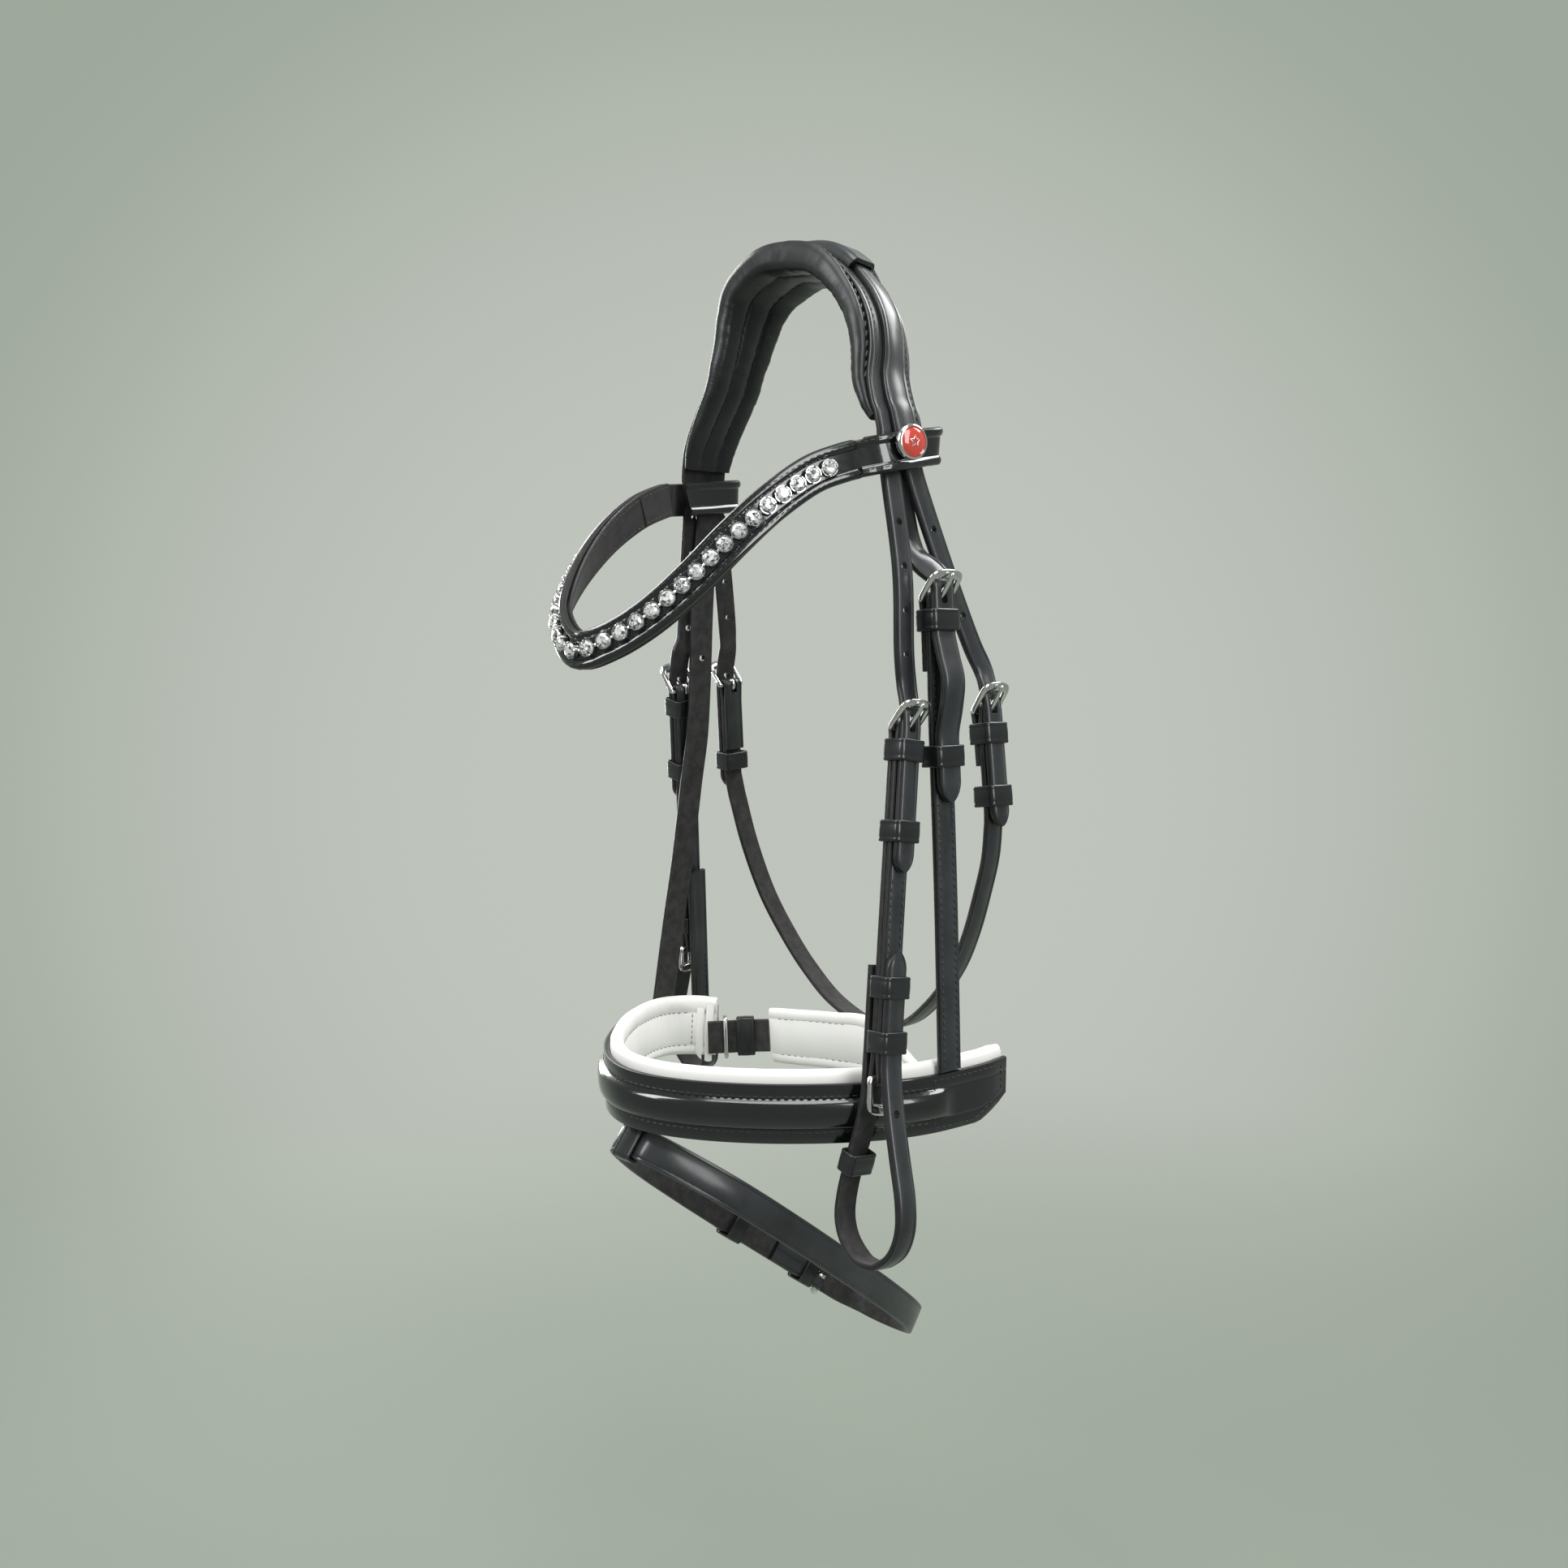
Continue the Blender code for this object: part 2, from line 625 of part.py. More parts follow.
# The noseband's straps
NOSE_KEEPER_AT = 0.008
NOSE_RUNNER_AT = 0.0615
NOSE_TIP_AT = 0.0715
NOSE_BOW = 0.0042
NOSE_TAIL_AT = 0.028
NOSE_HOLE_HEIGHT = -0.161
NOSE_BAR_SHARES = (
    (0.745, -0.02, -0.3886),
    (0.845, -0.0368, -0.7171),
)
NOSE_STRAP_SHARES = (
    (0.796, -0.0272, -0.5286),
    (0.826, -0.0328, -0.6286),
    (0.852, -0.0376, -0.7286),
    (0.872, -0.0408, -0.8286),
    (0.89, -0.044, -0.9223),
)
SLIPHEAD_FAR_SHARES = (
    (-0.913, -0.1456, -0.9469),
    (-0.85, -0.1296, -0.8343),
    (-0.792, -0.1104, -0.7286),
    (-0.732, -0.104, -0.6286),
    (-0.684, -0.1024, -0.56),
    (-0.652, -0.1056, -0.4714),
    (-0.64, -0.104, -0.4),
    (-0.628, -0.096, -0.3286),
    (-0.613, -0.092, -0.28),
    (-0.614, -0.092, -0.2586),
    (-0.668, -0.092, -0.2371),
    (-0.67, -0.0936, -0.2257),
)
SLIPHEAD_NEAR_SHARES = (
    (0.67, -0.0936, -0.2023),
    (0.667, -0.092, -0.2131),
    (0.616, -0.0904, -0.2351),
    (0.612, -0.0784, -0.26),
    (0.615, -0.0544, -0.2943),
    (0.632, -0.0448, -0.32),
    (0.693, -0.0448, -0.3429),
)

# The throatlatch
THROAT_WIDTH = CHEEK_WIDTH
THROAT_NEAR_KEEPER_AT = 0.009
THROAT_FAR_KEEPER_AT = 0.038
THROAT_RUNNER_AT = 0.0345
THROAT_NEAR_TIP_AT = 0.040
THROAT_FAR_TIP_AT = 0.045
THROAT_NEAR_TAIL_AT = 0.022
THROAT_FAR_TAIL_AT = 0.032
THROAT_FIRST_HOLE = -0.108
THROAT_HOLES = 3
THROAT_NEAR_BILLET_SHARES = (
    (0.643, -0.0224, -0.2557),
    (0.693, 0.0736, -0.3543),
    (0.742, 0.1544, -0.4343),
)
THROAT_NEAR_BAR_SHARES = (
    (0.78, 0.192, -0.5171),
    (0.836, 0.1792, -0.6171),
)
THROAT_FAR_BILLET_SHARES = (
    (-0.649, -0.0256, -0.28),
    (-0.73, 0.048, -0.34),
    (-0.79, 0.108, -0.42),
)
THROAT_FAR_BAR_SHARES = (
    (-0.845, 0.1576, -0.5),
    (-0.86, 0.184, -0.616),
)
THROAT_STRAP_SHARES = (
    (0.856, 0.1792, -0.6429),
    (0.83, 0.192, -0.6857),
    (0.78, 0.204, -0.7286),
    (0.7, 0.22, -0.7857),
    (0.6, 0.236, -0.8371),
    (0.46, 0.248, -0.8857),
    (0.26, 0.272, -0.9286),
    (0.0, 0.296, -0.9486),
    (-0.28, 0.32, -0.9343),
    (-0.48, 0.324, -0.9),
    (-0.62, 0.308, -0.8571),
    (-0.74, 0.276, -0.8),
    (-0.82, 0.236, -0.7286),
    (-0.872, 0.204, -0.6571),
)
THROAT_MIDDLE_HEIGHT = -0.240


def turned_out(points: list[Vector], height: float) -> list[Vector]:
    """Return out directions that face away from a line along Y at this height."""
    middle = Vector((0.0, 0.0, height))
    return [Vector((point.x, 0.0, point.z)) - middle for point in points]


def fold_end(place: Place, tail: float, width: float, straight: float) -> tuple[list[Station], list]:
    """Return the stations and sections of a strap's end: its tail, its fold, and its front's straight part."""
    half = slab(width / 2, LEATHER / 2)
    stations = [Station(place.at(s, 0.0, -LAYER_MIDDLE), place.across, -place.out) for s in (tail, TAPER_LENGTH)]
    fold, fold_sections = fold_stations(place, width, True, -95.0, 95.0)
    stations += fold
    stations += [Station(place.at(s, 0.0, LAYER_MIDDLE), place.across, place.out) for s in (TAPER_LENGTH, straight)]
    return stations, [half, half, *fold_sections, half, half]


def fold_slot(strap: bpy.types.Object, label: str, place: Place) -> None:
    """Cut the slot for a buckle's tongue through the fold at the place."""
    name = f"{strap.name}_{label}_slot"
    cut(strap, slot_cutter(name, place, -SLOT_ABOVE, FOLD_SLOT_BELOW, SLOT_HALF_WIDTH, FOLD_HALF * 1.5))


def build_noseband_straps(crown: list[Station]) -> Place:
    """Build the sliphead, the near hanger and their buckle, and return the bar's place."""
    place = place_along(*share_points(NOSE_BAR_SHARES), Vector((1.0, 0.0, 0.0)), Vector((0.0, -1.0, 0.0)))
    far, near = share_points(SLIPHEAD_FAR_SHARES), share_points(SLIPHEAD_NEAR_SHARES)
    ends = (crown[0].centre, crown[-1].centre)
    climbing = smooth_stations([*far, ends[0]], [Vector((-1.0, 0.0, 0.0))] * (len(far) + 1), 2)[:-1]
    falling = through_buckle([ends[1], *near], [Vector((1.0, 0.0, 0.0))] * (len(near) + 1), place, 2, True)[1:]
    above = climbing + crown + falling
    billet("sliphead", above, place, NOSE_WIDTH, NOSE_TIP_AT, [NOSE_HOLE_HEIGHT], NOSE_BOW, cap=False)
    stations, sections = fold_end(place, NOSE_TAIL_AT, NOSE_WIDTH, NOSE_TAIL_AT)
    down = share_points(NOSE_STRAP_SHARES)
    run = aligned(stations_on([stations[-1].centre, *down], [place.out] * (len(down) + 1))[1:], place.across)
    sections += [slab(NOSE_WIDTH / 2, LEATHER / 2)] * len(run)
    strap = sweep("noseband_hanger", stations + run, sections, "leather")
    fold_slot(strap, "upper", place)
    frame = frame_place(place, True, FRAME_TILT_DEGREES)
    buckle("noseband_buckle", frame, NOSE_WIDTH)
    tongue("noseband_tongue", frame)
    outside = BILLET_MIDDLE + LEATHER / 2 + GAP
    keeper("noseband_keeper", place.moved(s=NOSE_KEEPER_AT), NOSE_WIDTH, BODY_HALF + GAP, outside)
    keeper("noseband_runner", place.moved(s=NOSE_RUNNER_AT), NOSE_WIDTH, BODY_HALF + GAP, outside)
    return place


def build_throatlatch() -> None:
    """Build the throatlatch with its two billets and buckles."""
    forward = Vector((0.0, -1.0, 0.0))
    near = place_along(*share_points(THROAT_NEAR_BAR_SHARES), Vector((1.0, 0.0, 0.0)), forward)
    far = place_along(*share_points(THROAT_FAR_BAR_SHARES), Vector((-1.0, 0.0, 0.0)), forward)
    first, first_sections = fold_end(near, THROAT_NEAR_TAIL_AT, THROAT_WIDTH, THROAT_NEAR_TIP_AT)
    last, last_sections = fold_end(far, THROAT_FAR_TAIL_AT, THROAT_WIDTH, THROAT_FAR_TIP_AT)
    points = share_points(THROAT_STRAP_SHARES)
    run = smooth_stations(points, turned_out(points, THROAT_MIDDLE_HEIGHT), 2)
    run = aligned(run, near.across)
    sections = first_sections + [slab(THROAT_WIDTH / 2, LEATHER / 2)] * len(run) + last_sections[::-1]
    strap = sweep("throat_strap", first + run + last[::-1], sections, "leather")
    outside = BILLET_MIDDLE + LEATHER / 2 + GAP
    holes = [THROAT_FIRST_HOLE - BILLET_HOLE_PITCH * number for number in range(THROAT_HOLES)]
    for side, place, table, tip_at, keeper_at in (
        ("near", near, THROAT_NEAR_BILLET_SHARES, THROAT_NEAR_TIP_AT, THROAT_NEAR_KEEPER_AT),
        ("far", far, THROAT_FAR_BILLET_SHARES, THROAT_FAR_TIP_AT, THROAT_FAR_KEEPER_AT),
    ):
        fold_slot(strap, side, place)
        top = share_points(table)
        above = through_buckle(top, [place.out] * len(top), place, 3)
        billet(f"throat_billet_{side}", above, place, THROAT_WIDTH, tip_at, holes)
        frame = frame_place(place, True, FRAME_TILT_DEGREES)
        buckle(f"throat_buckle_{side}", frame, THROAT_WIDTH)
        tongue(f"throat_tongue_{side}", frame)
        keeper(f"throat_keeper_{side}", place.moved(s=keeper_at), THROAT_WIDTH, BODY_HALF + GAP, outside)
    keeper("throat_runner_near", near.moved(s=THROAT_RUNNER_AT), THROAT_WIDTH, BODY_HALF + GAP, outside)


# The headpiece, from the far leg's end over the poll to the near one's: x, y and z of the pad's underside
CROWN_SHARES = (
    (-0.588, -0.096, -0.2171),
    (-0.555, -0.096, -0.1943),
    (-0.495, -0.088, -0.1657),
    (-0.42, -0.076, -0.1314),
    (-0.372, -0.068, -0.0986),
    (-0.34, -0.056, -0.0657),
    (-0.315, -0.044, -0.0371),
    (-0.27, -0.028, -0.0143),
    (-0.14, -0.008, 0.0029),
    (0.0, 0.0, 0.0),
    (0.12, -0.012, -0.0074),
    (0.21, -0.0304, -0.0214),
    (0.285, -0.044, -0.04),
    (0.36, -0.056, -0.06),
    (0.42, -0.068, -0.0829),
    (0.458, -0.076, -0.1114),
    (0.49, -0.0864, -0.1429),
    (0.545, -0.096, -0.1729),
    (0.588, -0.096, -0.19),
)
# How far the pad's front edge stands towards the near side, to each length across it
CROWN_YAW_SHARES = (
    0.0, 0.06, 0.15, 0.22, 0.22, 0.17, 0.13, 0.12, 0.12, 0.14, 0.2, 0.26, 0.28, 0.24, 0.2, 0.15, 0.05, 0.0, 0.0
)
CROWN_HALF_WIDTH = 0.022
CROWN_THICKNESS = 0.0132
CROWN_WIDTH_SHARES = (1.0, 0.975, 0.91, 0.82, 0.77, 0.75, 0.72, 0.68, 0.63, 0.56)
CROWN_FLAT_SHARES = (0.5, 0.5, 0.52, 0.54, 0.56, 0.56, 0.53, 0.46, 0.35, 0.24)
CROWN_RIM_SHARES = (0.93, 0.88, 0.8, 0.72, 0.65, 0.6, 0.54, 0.46, 0.35, 0.24)
# The pad's section: share of its half width, then of the flat's height, then of the rim's above the flat
PAD_SECTION_SHARES = (
    (1.0, 0.5, 0.1),
    (0.97, 0.8, 0.6),
    (0.87, 1.0, 1.0),
    (0.76, 0.98, 0.5),
    (0.7, 1.0, 0.0),
    (-0.7, 1.0, 0.0),
    (-0.76, 0.98, 0.5),
    (-0.87, 1.0, 1.0),
    (-0.97, 0.8, 0.6),
    (-1.0, 0.5, 0.1),
    (-0.96, 0.16, 0.0),
    (-0.84, 0.0, 0.0),
    (-0.5, 0.0, 0.0),
    (-0.34, 0.16, 0.0),
    (-0.18, 0.0, 0.0),
    (0.18, 0.0, 0.0),
    (0.34, 0.16, 0.0),
    (0.5, 0.0, 0.0),
    (0.84, 0.0, 0.0),
    (0.96, 0.16, 0.0),
)
CROWN_LEATHER_HALF = 0.012
NEAR_TAB_SHARES = (
    (0.64, -0.0944, -0.2009),
    (0.64, -0.0928, -0.2094),
)
FAR_TAB_SHARES = (
    (-0.64, -0.0944, -0.2251),
    (-0.64, -0.0928, -0.2329),
)
TURN_ROOM = 0.00014
PAD_ROOM = 0.0005
POLL_LOOP_REACH = 0.032
POLL_LOOP_WALL = 0.0018
POLL_LOOP_SIDE_GAP = 0.0008


@dataclass(frozen=True)
class Crown:
    """The headpiece's path from the far leg to the near one, with what changes along it."""

    stations: list[Station]
    half_widths: list[float]
    flats: list[float]
    rims: list[float]

    def raised(self, gap: float) -> list[Station]:
        """Return the stations moved out to this distance above the pad's flat face."""
        return [
            Station(station.centre + station.out * (flat + gap), station.across, station.out)
            for station, flat in zip(self.stations, self.flats)
        ]


def spread(shares: tuple[float, ...], size: float) -> list[float]:
    """Return a table's values from the far leg to the near one, with the value midway between each two."""
    both = [*reversed(shares[1:]), *shares]
    found = []
    for before, after in zip(both, both[1:]):
        found += [before * size, (before + after) / 2 * size]
    return [*found, both[-1] * size]


def crown_path() -> Crown:
    """Return the headpiece's path."""
    points = share_points(CROWN_SHARES)
    path = smooth_path(points, 2)
    turns = [turn.x for turn in smooth_path([Vector((yaw, 0.0, 0.0)) for yaw in CROWN_YAW_SHARES], 2)]
    stations = []
    for i, (point, turn) in enumerate(zip(path, turns)):
        before, after = path[max(i - 1, 0)], path[min(i + 1, len(path) - 1)]
        along = Vector((after.x - before.x, 0.0, after.z - before.z)).normalized()
        across = Vector((turn, -1.0, 0.0)).normalized()
        out = along.cross(across).normalized()
        away = Vector((point.x, 0.0, point.z - points[-1].z))
        stations.append(Station(point, across, out if out.dot(away) > 0.0 else -out))
    return Crown(
        stations,
        spread(CROWN_WIDTH_SHARES, CROWN_HALF_WIDTH),
        spread(CROWN_FLAT_SHARES, CROWN_THICKNESS),
        spread(CROWN_RIM_SHARES, CROWN_THICKNESS),
    )


def build_headpiece() -> list[Station]:
    """Build the headpiece and return the stations of the strap that lies on it."""
    crown = crown_path()
    sections = []
    for half, flat, rim in zip(crown.half_widths, crown.flats, crown.rims):
        flat, rim = flat - PAD_ROOM, rim - PAD_ROOM
        sections.append([(v * half, n * flat + above * (rim - flat)) for v, n, above in PAD_SECTION_SHARES])
    sweep("crown_pad", crown.stations, sections, "matte")
    forward = Vector((0.0, -1.0, 0.0))
    far = [Station(point, forward, Vector((-1.0, 0.0, 0.0))) for point in share_points(FAR_TAB_SHARES)]
    near = [Station(point, forward, Vector((1.0, 0.0, 0.0))) for point in share_points(NEAR_TAB_SHARES)]
    leather = far[::-1] + crown.raised(GAP + LEATHER / 2 - TURN_ROOM) + near
    sweep("crown_leather", leather, [slab(CROWN_LEATHER_HALF, LEATHER / 2)], "leather")
    tunnel = [station for station in crown.raised(GAP * 2 + LEATHER) if abs(station.centre.x) < POLL_LOOP_REACH]
    inner = NOSE_WIDTH / 2 + POLL_LOOP_SIDE_GAP
    outer, roof = inner + POLL_LOOP_WALL, LEATHER + POLL_LOOP_SIDE_GAP
    top = roof + POLL_LOOP_WALL
    section = [
        (outer, 0.0),
        (outer, roof),
        (inner, top),
        (-inner, top),
        (-outer, roof),
        (-outer, 0.0),
        (-inner, 0.0),
        (-inner, roof * 0.9),
        (-inner * 0.85, roof),
        (inner * 0.85, roof),
        (inner, roof * 0.9),
        (inner, 0.0),
    ]
    sweep("poll_loop", tunnel, [section], "leather")
    return crown.raised(GAP * 2 + LEATHER * 1.5)


# The browband, from the near loop's inner end round to the far loop's
BROW_HALF_HEIGHT = 0.0074
BROW_THICKNESS = 0.0024
BROW_LINING = 0.0014
BROW_ARM_FROM = -0.034
LOOP_MIDDLE_X = 0.064
LOOP_MIDDLE_Y = -0.012
BROW_MIDDLE_Y = -0.030
CHAIN_FROM = -0.038
CRYSTAL_PITCH = 0.0073
CRYSTAL_HALF = 0.0032
CRYSTAL_DEPTH = 0.0036
LINK_HALF = 0.0008
LINK_DEPTH = 0.0012
BUTTON_RADIUS = 0.0069
BUTTON_DEPTH = 0.0042
BUTTON_SIDES = 16
NEAR_BROW_SHARES = (
    (0.578, -0.204, -0.2297),
    (0.578, -0.096, -0.2229),
    (0.578, 0.008, -0.2166),
    (0.6, 0.0384, -0.2149),
    (0.64, 0.0512, -0.2143),
    (0.681, 0.0384, -0.2149),
    (0.707, 0.008, -0.2166),
    (0.707, -0.096, -0.2229),
    (0.699, -0.192, -0.2291),
    (0.655, -0.248, -0.2343),
    (0.605, -0.308, -0.2406),
    (0.55, -0.4, -0.2549),
    (0.5, -0.528, -0.2871),
    (0.44, -0.64, -0.3251),
    (0.36, -0.744, -0.3686),
    (0.26, -0.84, -0.4063),
    (0.14, -0.92, -0.4326),
    (0.01, -0.976, -0.4429),
)
FAR_BROW_SHARES = (
    (-0.18, -0.936, -0.4129),
    (-0.34, -0.808, -0.3657),
    (-0.48, -0.624, -0.3157),
    (-0.56, -0.448, -0.2786),
    (-0.61, -0.308, -0.26),
    (-0.655, -0.24, -0.256),
    (-0.699, -0.184, -0.2537),
    (-0.705, -0.096, -0.2509),
    (-0.705, 0.008, -0.2471),
    (-0.681, 0.0384, -0.246),
    (-0.64, 0.0512, -0.2457),
    (-0.6, 0.0384, -0.246),
    (-0.578, 0.008, -0.2471),
    (-0.578, -0.096, -0.2509),
    (-0.578, -0.204, -0.2549),
)
BUTTON_SHARES = (
    (0.734, -0.128, -0.2171),
    (-0.726, -0.096, -0.2474),
)
BUTTON_PROFILE_SHARES = ((0.0, 0.96), (0.22, 1.0), (0.4, 0.94), (0.5, 0.82), (0.78, 0.58), (0.96, 0.3), (1.0, 0.1))


def brow_hint(point: Vector) -> Vector:
    """Return the way that the browband faces at a point: away from what its loops or the brow hold."""
    if point.y > BROW_ARM_FROM:
        return Vector((point.x - math.copysign(LOOP_MIDDLE_X, point.x), point.y - LOOP_MIDDLE_Y, 0.0))
    return Vector((point.x, point.y - BROW_MIDDLE_Y, 0.0))


def even_stations(stations: list[Station], gaps: list[float]) -> list[Station]:
    """Return stations at these distances along the path of the given ones."""
    found, gone, index = [], 0.0, 0
    for distance in gaps:
        length = (stations[index + 1].centre - stations[index].centre).length
        while distance > gone + length and index < len(stations) - 2:
            gone += length
            index += 1
            length = (stations[index + 1].centre - stations[index].centre).length
        share = (distance - gone) / length
        before, after = stations[index], stations[index + 1]
        found.append(
            Station(
                before.centre.lerp(after.centre, share),
                before.across.lerp(after.across, share).normalized(),
                before.out.lerp(after.out, share).normalized(),
            )
        )
    return found


def crystal_section(half: float, depth: float) -> list[tuple[float, float]]:
    """Return the section of the crystal chain, from its flat back to its front."""
    return [(half, 0.0), (half, depth * 0.6), (half * 0.55, depth), (-half * 0.55, depth), (-half, depth * 0.6), (-half, 0.0)]


def build_crystals(arm: list[Station]) -> None:
    """Build the crystal chain along the middle of the browband."""
    inside = [station for station in arm if station.centre.y < CHAIN_FROM]
    lift = BROW_THICKNESS / 2 + GAP * 2
    inside = [Station(station.centre + station.out * lift, station.across, station.out) for station in inside]
    length = sum((b.centre - a.centre).length for a, b in zip(inside, inside[1:]))
    count = int(length / CRYSTAL_PITCH)
    start = (length - count * CRYSTAL_PITCH) / 2
    gaps, sections = [], []
    for number in range(count):
        middle = start + CRYSTAL_PITCH * (number + 0.5)
        for share, wide in ((-1.0, False), (-0.62, True), (0.62, True), (1.0, False)):
            gaps.append(middle + CRYSTAL_HALF * share)
            sections.append(crystal_section(*((CRYSTAL_HALF, CRYSTAL_DEPTH) if wide else (LINK_HALF, LINK_DEPTH))))
    sweep("crystal_chain", even_stations(inside, gaps), sections, "crystal")


def build_button(name: str, middle: Vector) -> None:
    """Build a domed button that faces away from the head."""
    out = Vector((math.copysign(1.0, middle.x), 0.0, 0.0))
    side, up = Vector((0.0, 1.0, 0.0)), Vector((0.0, 0.0, 1.0))
    stations = [Station(middle + out * (BUTTON_DEPTH * depth), side, up) for depth, _ in BUTTON_PROFILE_SHARES]
    sections = [oval(BUTTON_RADIUS * share, BUTTON_RADIUS * share, BUTTON_SIDES) for _, share in BUTTON_PROFILE_SHARES]
    sweep(name, stations, sections, "enamel")


def build_browband() -> None:
    """Build the browband with its lining, crystals and buttons."""
    points = share_points(NEAR_BROW_SHARES) + share_points(FAR_BROW_SHARES)
    path = smooth_path(points, 2)
    stations = aligned(stations_on(path, [brow_hint(point) for point in path]), Vector((0.0, 0.0, 1.0)))
    sweep("browband_strap", stations, [slab(BROW_HALF_HEIGHT, BROW_THICKNESS / 2)], "patent")
    arm = [station for station in stations if station.centre.y < BROW_ARM_FROM]
    middle = -(BROW_THICKNESS / 2 + GAP * 3 + BROW_LINING / 2)
    sweep("browband_lining", arm, [slab(BROW_HALF_HEIGHT, BROW_LINING / 2, middle)], "matte")
    build_crystals(arm)
    near, far = share_points(BUTTON_SHARES)
    build_button("button_near", near)
    build_button("button_far", far)


# The noseband, from its near end round the front to its far end, along its outer face
NOSEBAND_SHARES = (
    (0.9, 0.224, -0.9586),
    (0.915, 0.112, -0.9586),
    (0.89, -0.088, -0.9586),
    (0.835, -0.232, -0.9586),
    (0.75, -0.36, -0.9586),
    (0.635, -0.488, -0.9586),
    (0.5, -0.608, -0.9586),
    (0.34, -0.716, -0.9586),
    (0.17, -0.792, -0.9586),
    (0.0, -0.82, -0.9586),
    (-0.17, -0.792, -0.9591),
    (-0.34, -0.716, -0.9609),
    (-0.5, -0.612, -0.9643),
    (-0.65, -0.496, -0.9686),
    (-0.78, -0.376, -0.9743),
    (-0.88, -0.256, -0.98),
    (-0.915, -0.148, -0.9834),
    (-0.87, -0.048, -0.9851),
    (-0.765, 0.036, -0.9863),
)
NOSEBAND_HALF_HEIGHT = 0.012
NOSEBAND_WALL = 0.0024
NOSEBAND_BULGE = 0.0028
BULGE_ENDS_AT = -0.006
BULGE_GROWS_OVER = 0.010
LINING_THICKNESS = 0.006
LINING_RISE = 0.0165
# The outer band's section: shares of its half height, then of its wall, then of its bulge
OUTER_SECTION_SHARES = (
    (1.0, -1.0, 0.0),
    (1.0, 0.0, 0.0),
    (0.5, 0.0, 0.06),
    (0.4, 0.0, 0.75),
    (0.2, 0.0, 1.0),
    (-0.2, 0.0, 1.0),
    (-0.4, 0.0, 0.75),
    (-0.5, 0.0, 0.06),
    (-1.0, 0.0, 0.0),
    (-1.0, -1.0, 0.0),
)
# The lining's section: shares of its rise, then of its thickness
LINING_SECTION_SHARES = (
    (-0.76, 0.02),
    (0.72, 0.02),
    (0.93, 0.12),
    (1.0, 0.42),
    (0.95, 0.8),
    (0.8, 1.0),
    (0.5, 0.86),
    (-0.5, 0.86),
    (-0.68, 0.8),
    (-0.76, 0.5),
)

# What closes the noseband under the chin
CHIN_PAD_SHARES = (
    (-0.5, 0.144, -0.9857),
    (-0.32, 0.16, -0.9786),
    (-0.08, 0.176, -0.9686),
    (0.16, 0.184, -0.9629),
    (0.42, 0.2, -0.99),
    (0.64, 0.2128, -0.9843),
    (0.81, 0.216, -0.9757),
)
CHIN_PAD_HEIGHT_SHARES = (1.0, 1.0, 1.0, 1.0, 0.56, 0.56, 0.56)
CHIN_LINK_SHARES = (
    (-0.712, -0.0448, -0.9903),
    (-0.66, 0.0112, -0.9897),
    (-0.6, 0.0736, -0.9886),
    (-0.514, 0.1376, -0.9866),
)
CHIN_PAD_HALF_HEIGHT = 0.0135
CHIN_PAD_THICKNESS = 0.006
CHIN_LINK_HALF_HEIGHT = 0.008
CHIN_LINK_THICKNESS = 0.003
CHIN_WIRE = 0.0011


def build_noseband() -> None:
    """Build the noseband's outer band and its padded lining."""
    points = share_points(NOSEBAND_SHARES)
    up = Vector((0.0, 0.0, 1.0))
    middle = Vector((0.0, BROW_MIDDLE_Y, points[0].z))
    path = smooth_path(points, 2)
    stations = aligned(stations_on(path, [point - middle for point in path]), up)
    sections = []
    for station in stations:
        grown = 1.0
        if station.centre.x > 0.0:
            grown = min(max((BULGE_ENDS_AT - station.centre.y) / BULGE_GROWS_OVER, 0.0), 1.0)
        bulge = NOSEBAND_BULGE * grown
        sections.append([(v * NOSEBAND_HALF_HEIGHT, n * NOSEBAND_WALL + b * bulge) for v, n, b in OUTER_SECTION_SHARES])
    sweep("noseband_outer", stations, sections, "patent")
    back = NOSEBAND_WALL + GAP
    lining = [(v * LINING_RISE, -back - n * LINING_THICKNESS) for v, n in LINING_SECTION_SHARES]
    sweep("noseband_lining", stations, [lining], "white")


def build_chin() -> None:
    """Build the chin pad, the link that joins it to the noseband, and the link's roller and keeper."""
    up = Vector((0.0, 0.0, 1.0))
    back = Vector((0.0, 1.0, 0.0))
    points = share_points(CHIN_PAD_SHARES)
    stations = aligned(smooth_stations(points, [back] * len(points), 2), up)
    thick = CHIN_PAD_THICKNESS / 2
    heights = smooth_path([Vector((share, 0.0, 0.0)) for share in CHIN_PAD_HEIGHT_SHARES], 2)
    sections = []
    for height in heights:
        half = CHIN_PAD_HALF_HEIGHT * height.x
        section = [(half, 0.0), (half * 0.9, thick * 0.8), (half * 0.6, thick), (-half * 0.6, thick)]
        section += [(-half * 0.9, thick * 0.8), (-half, 0.0), (-half * 0.8, -thick * 0.9), (half * 0.8, -thick * 0.9)]
        sections.append(section)
    sweep("chin_pad", stations, sections, "white")
    points = share_points(CHIN_LINK_SHARES)
    stations = aligned(smooth_stations(points, [back] * len(points), 3), up)
    sweep("chin_link", stations, [slab(CHIN_LINK_HALF_HEIGHT, CHIN_LINK_THICKNESS / 2)], "leather")
    place = nearest_station(stations, points[1])
    width = CHIN_LINK_HALF_HEIGHT * 2
    half = CHIN_LINK_THICKNESS / 2 + GAP
    roller = keeper_path(place, width, half, half, CHIN_WIRE * 2)
    sweep("chin_roller", roller, [oval(CHIN_WIRE, CHIN_WIRE)], "nickel", closed=True)
    keeper("chin_keeper", nearest_station(stations, points[2]), width, half, half)


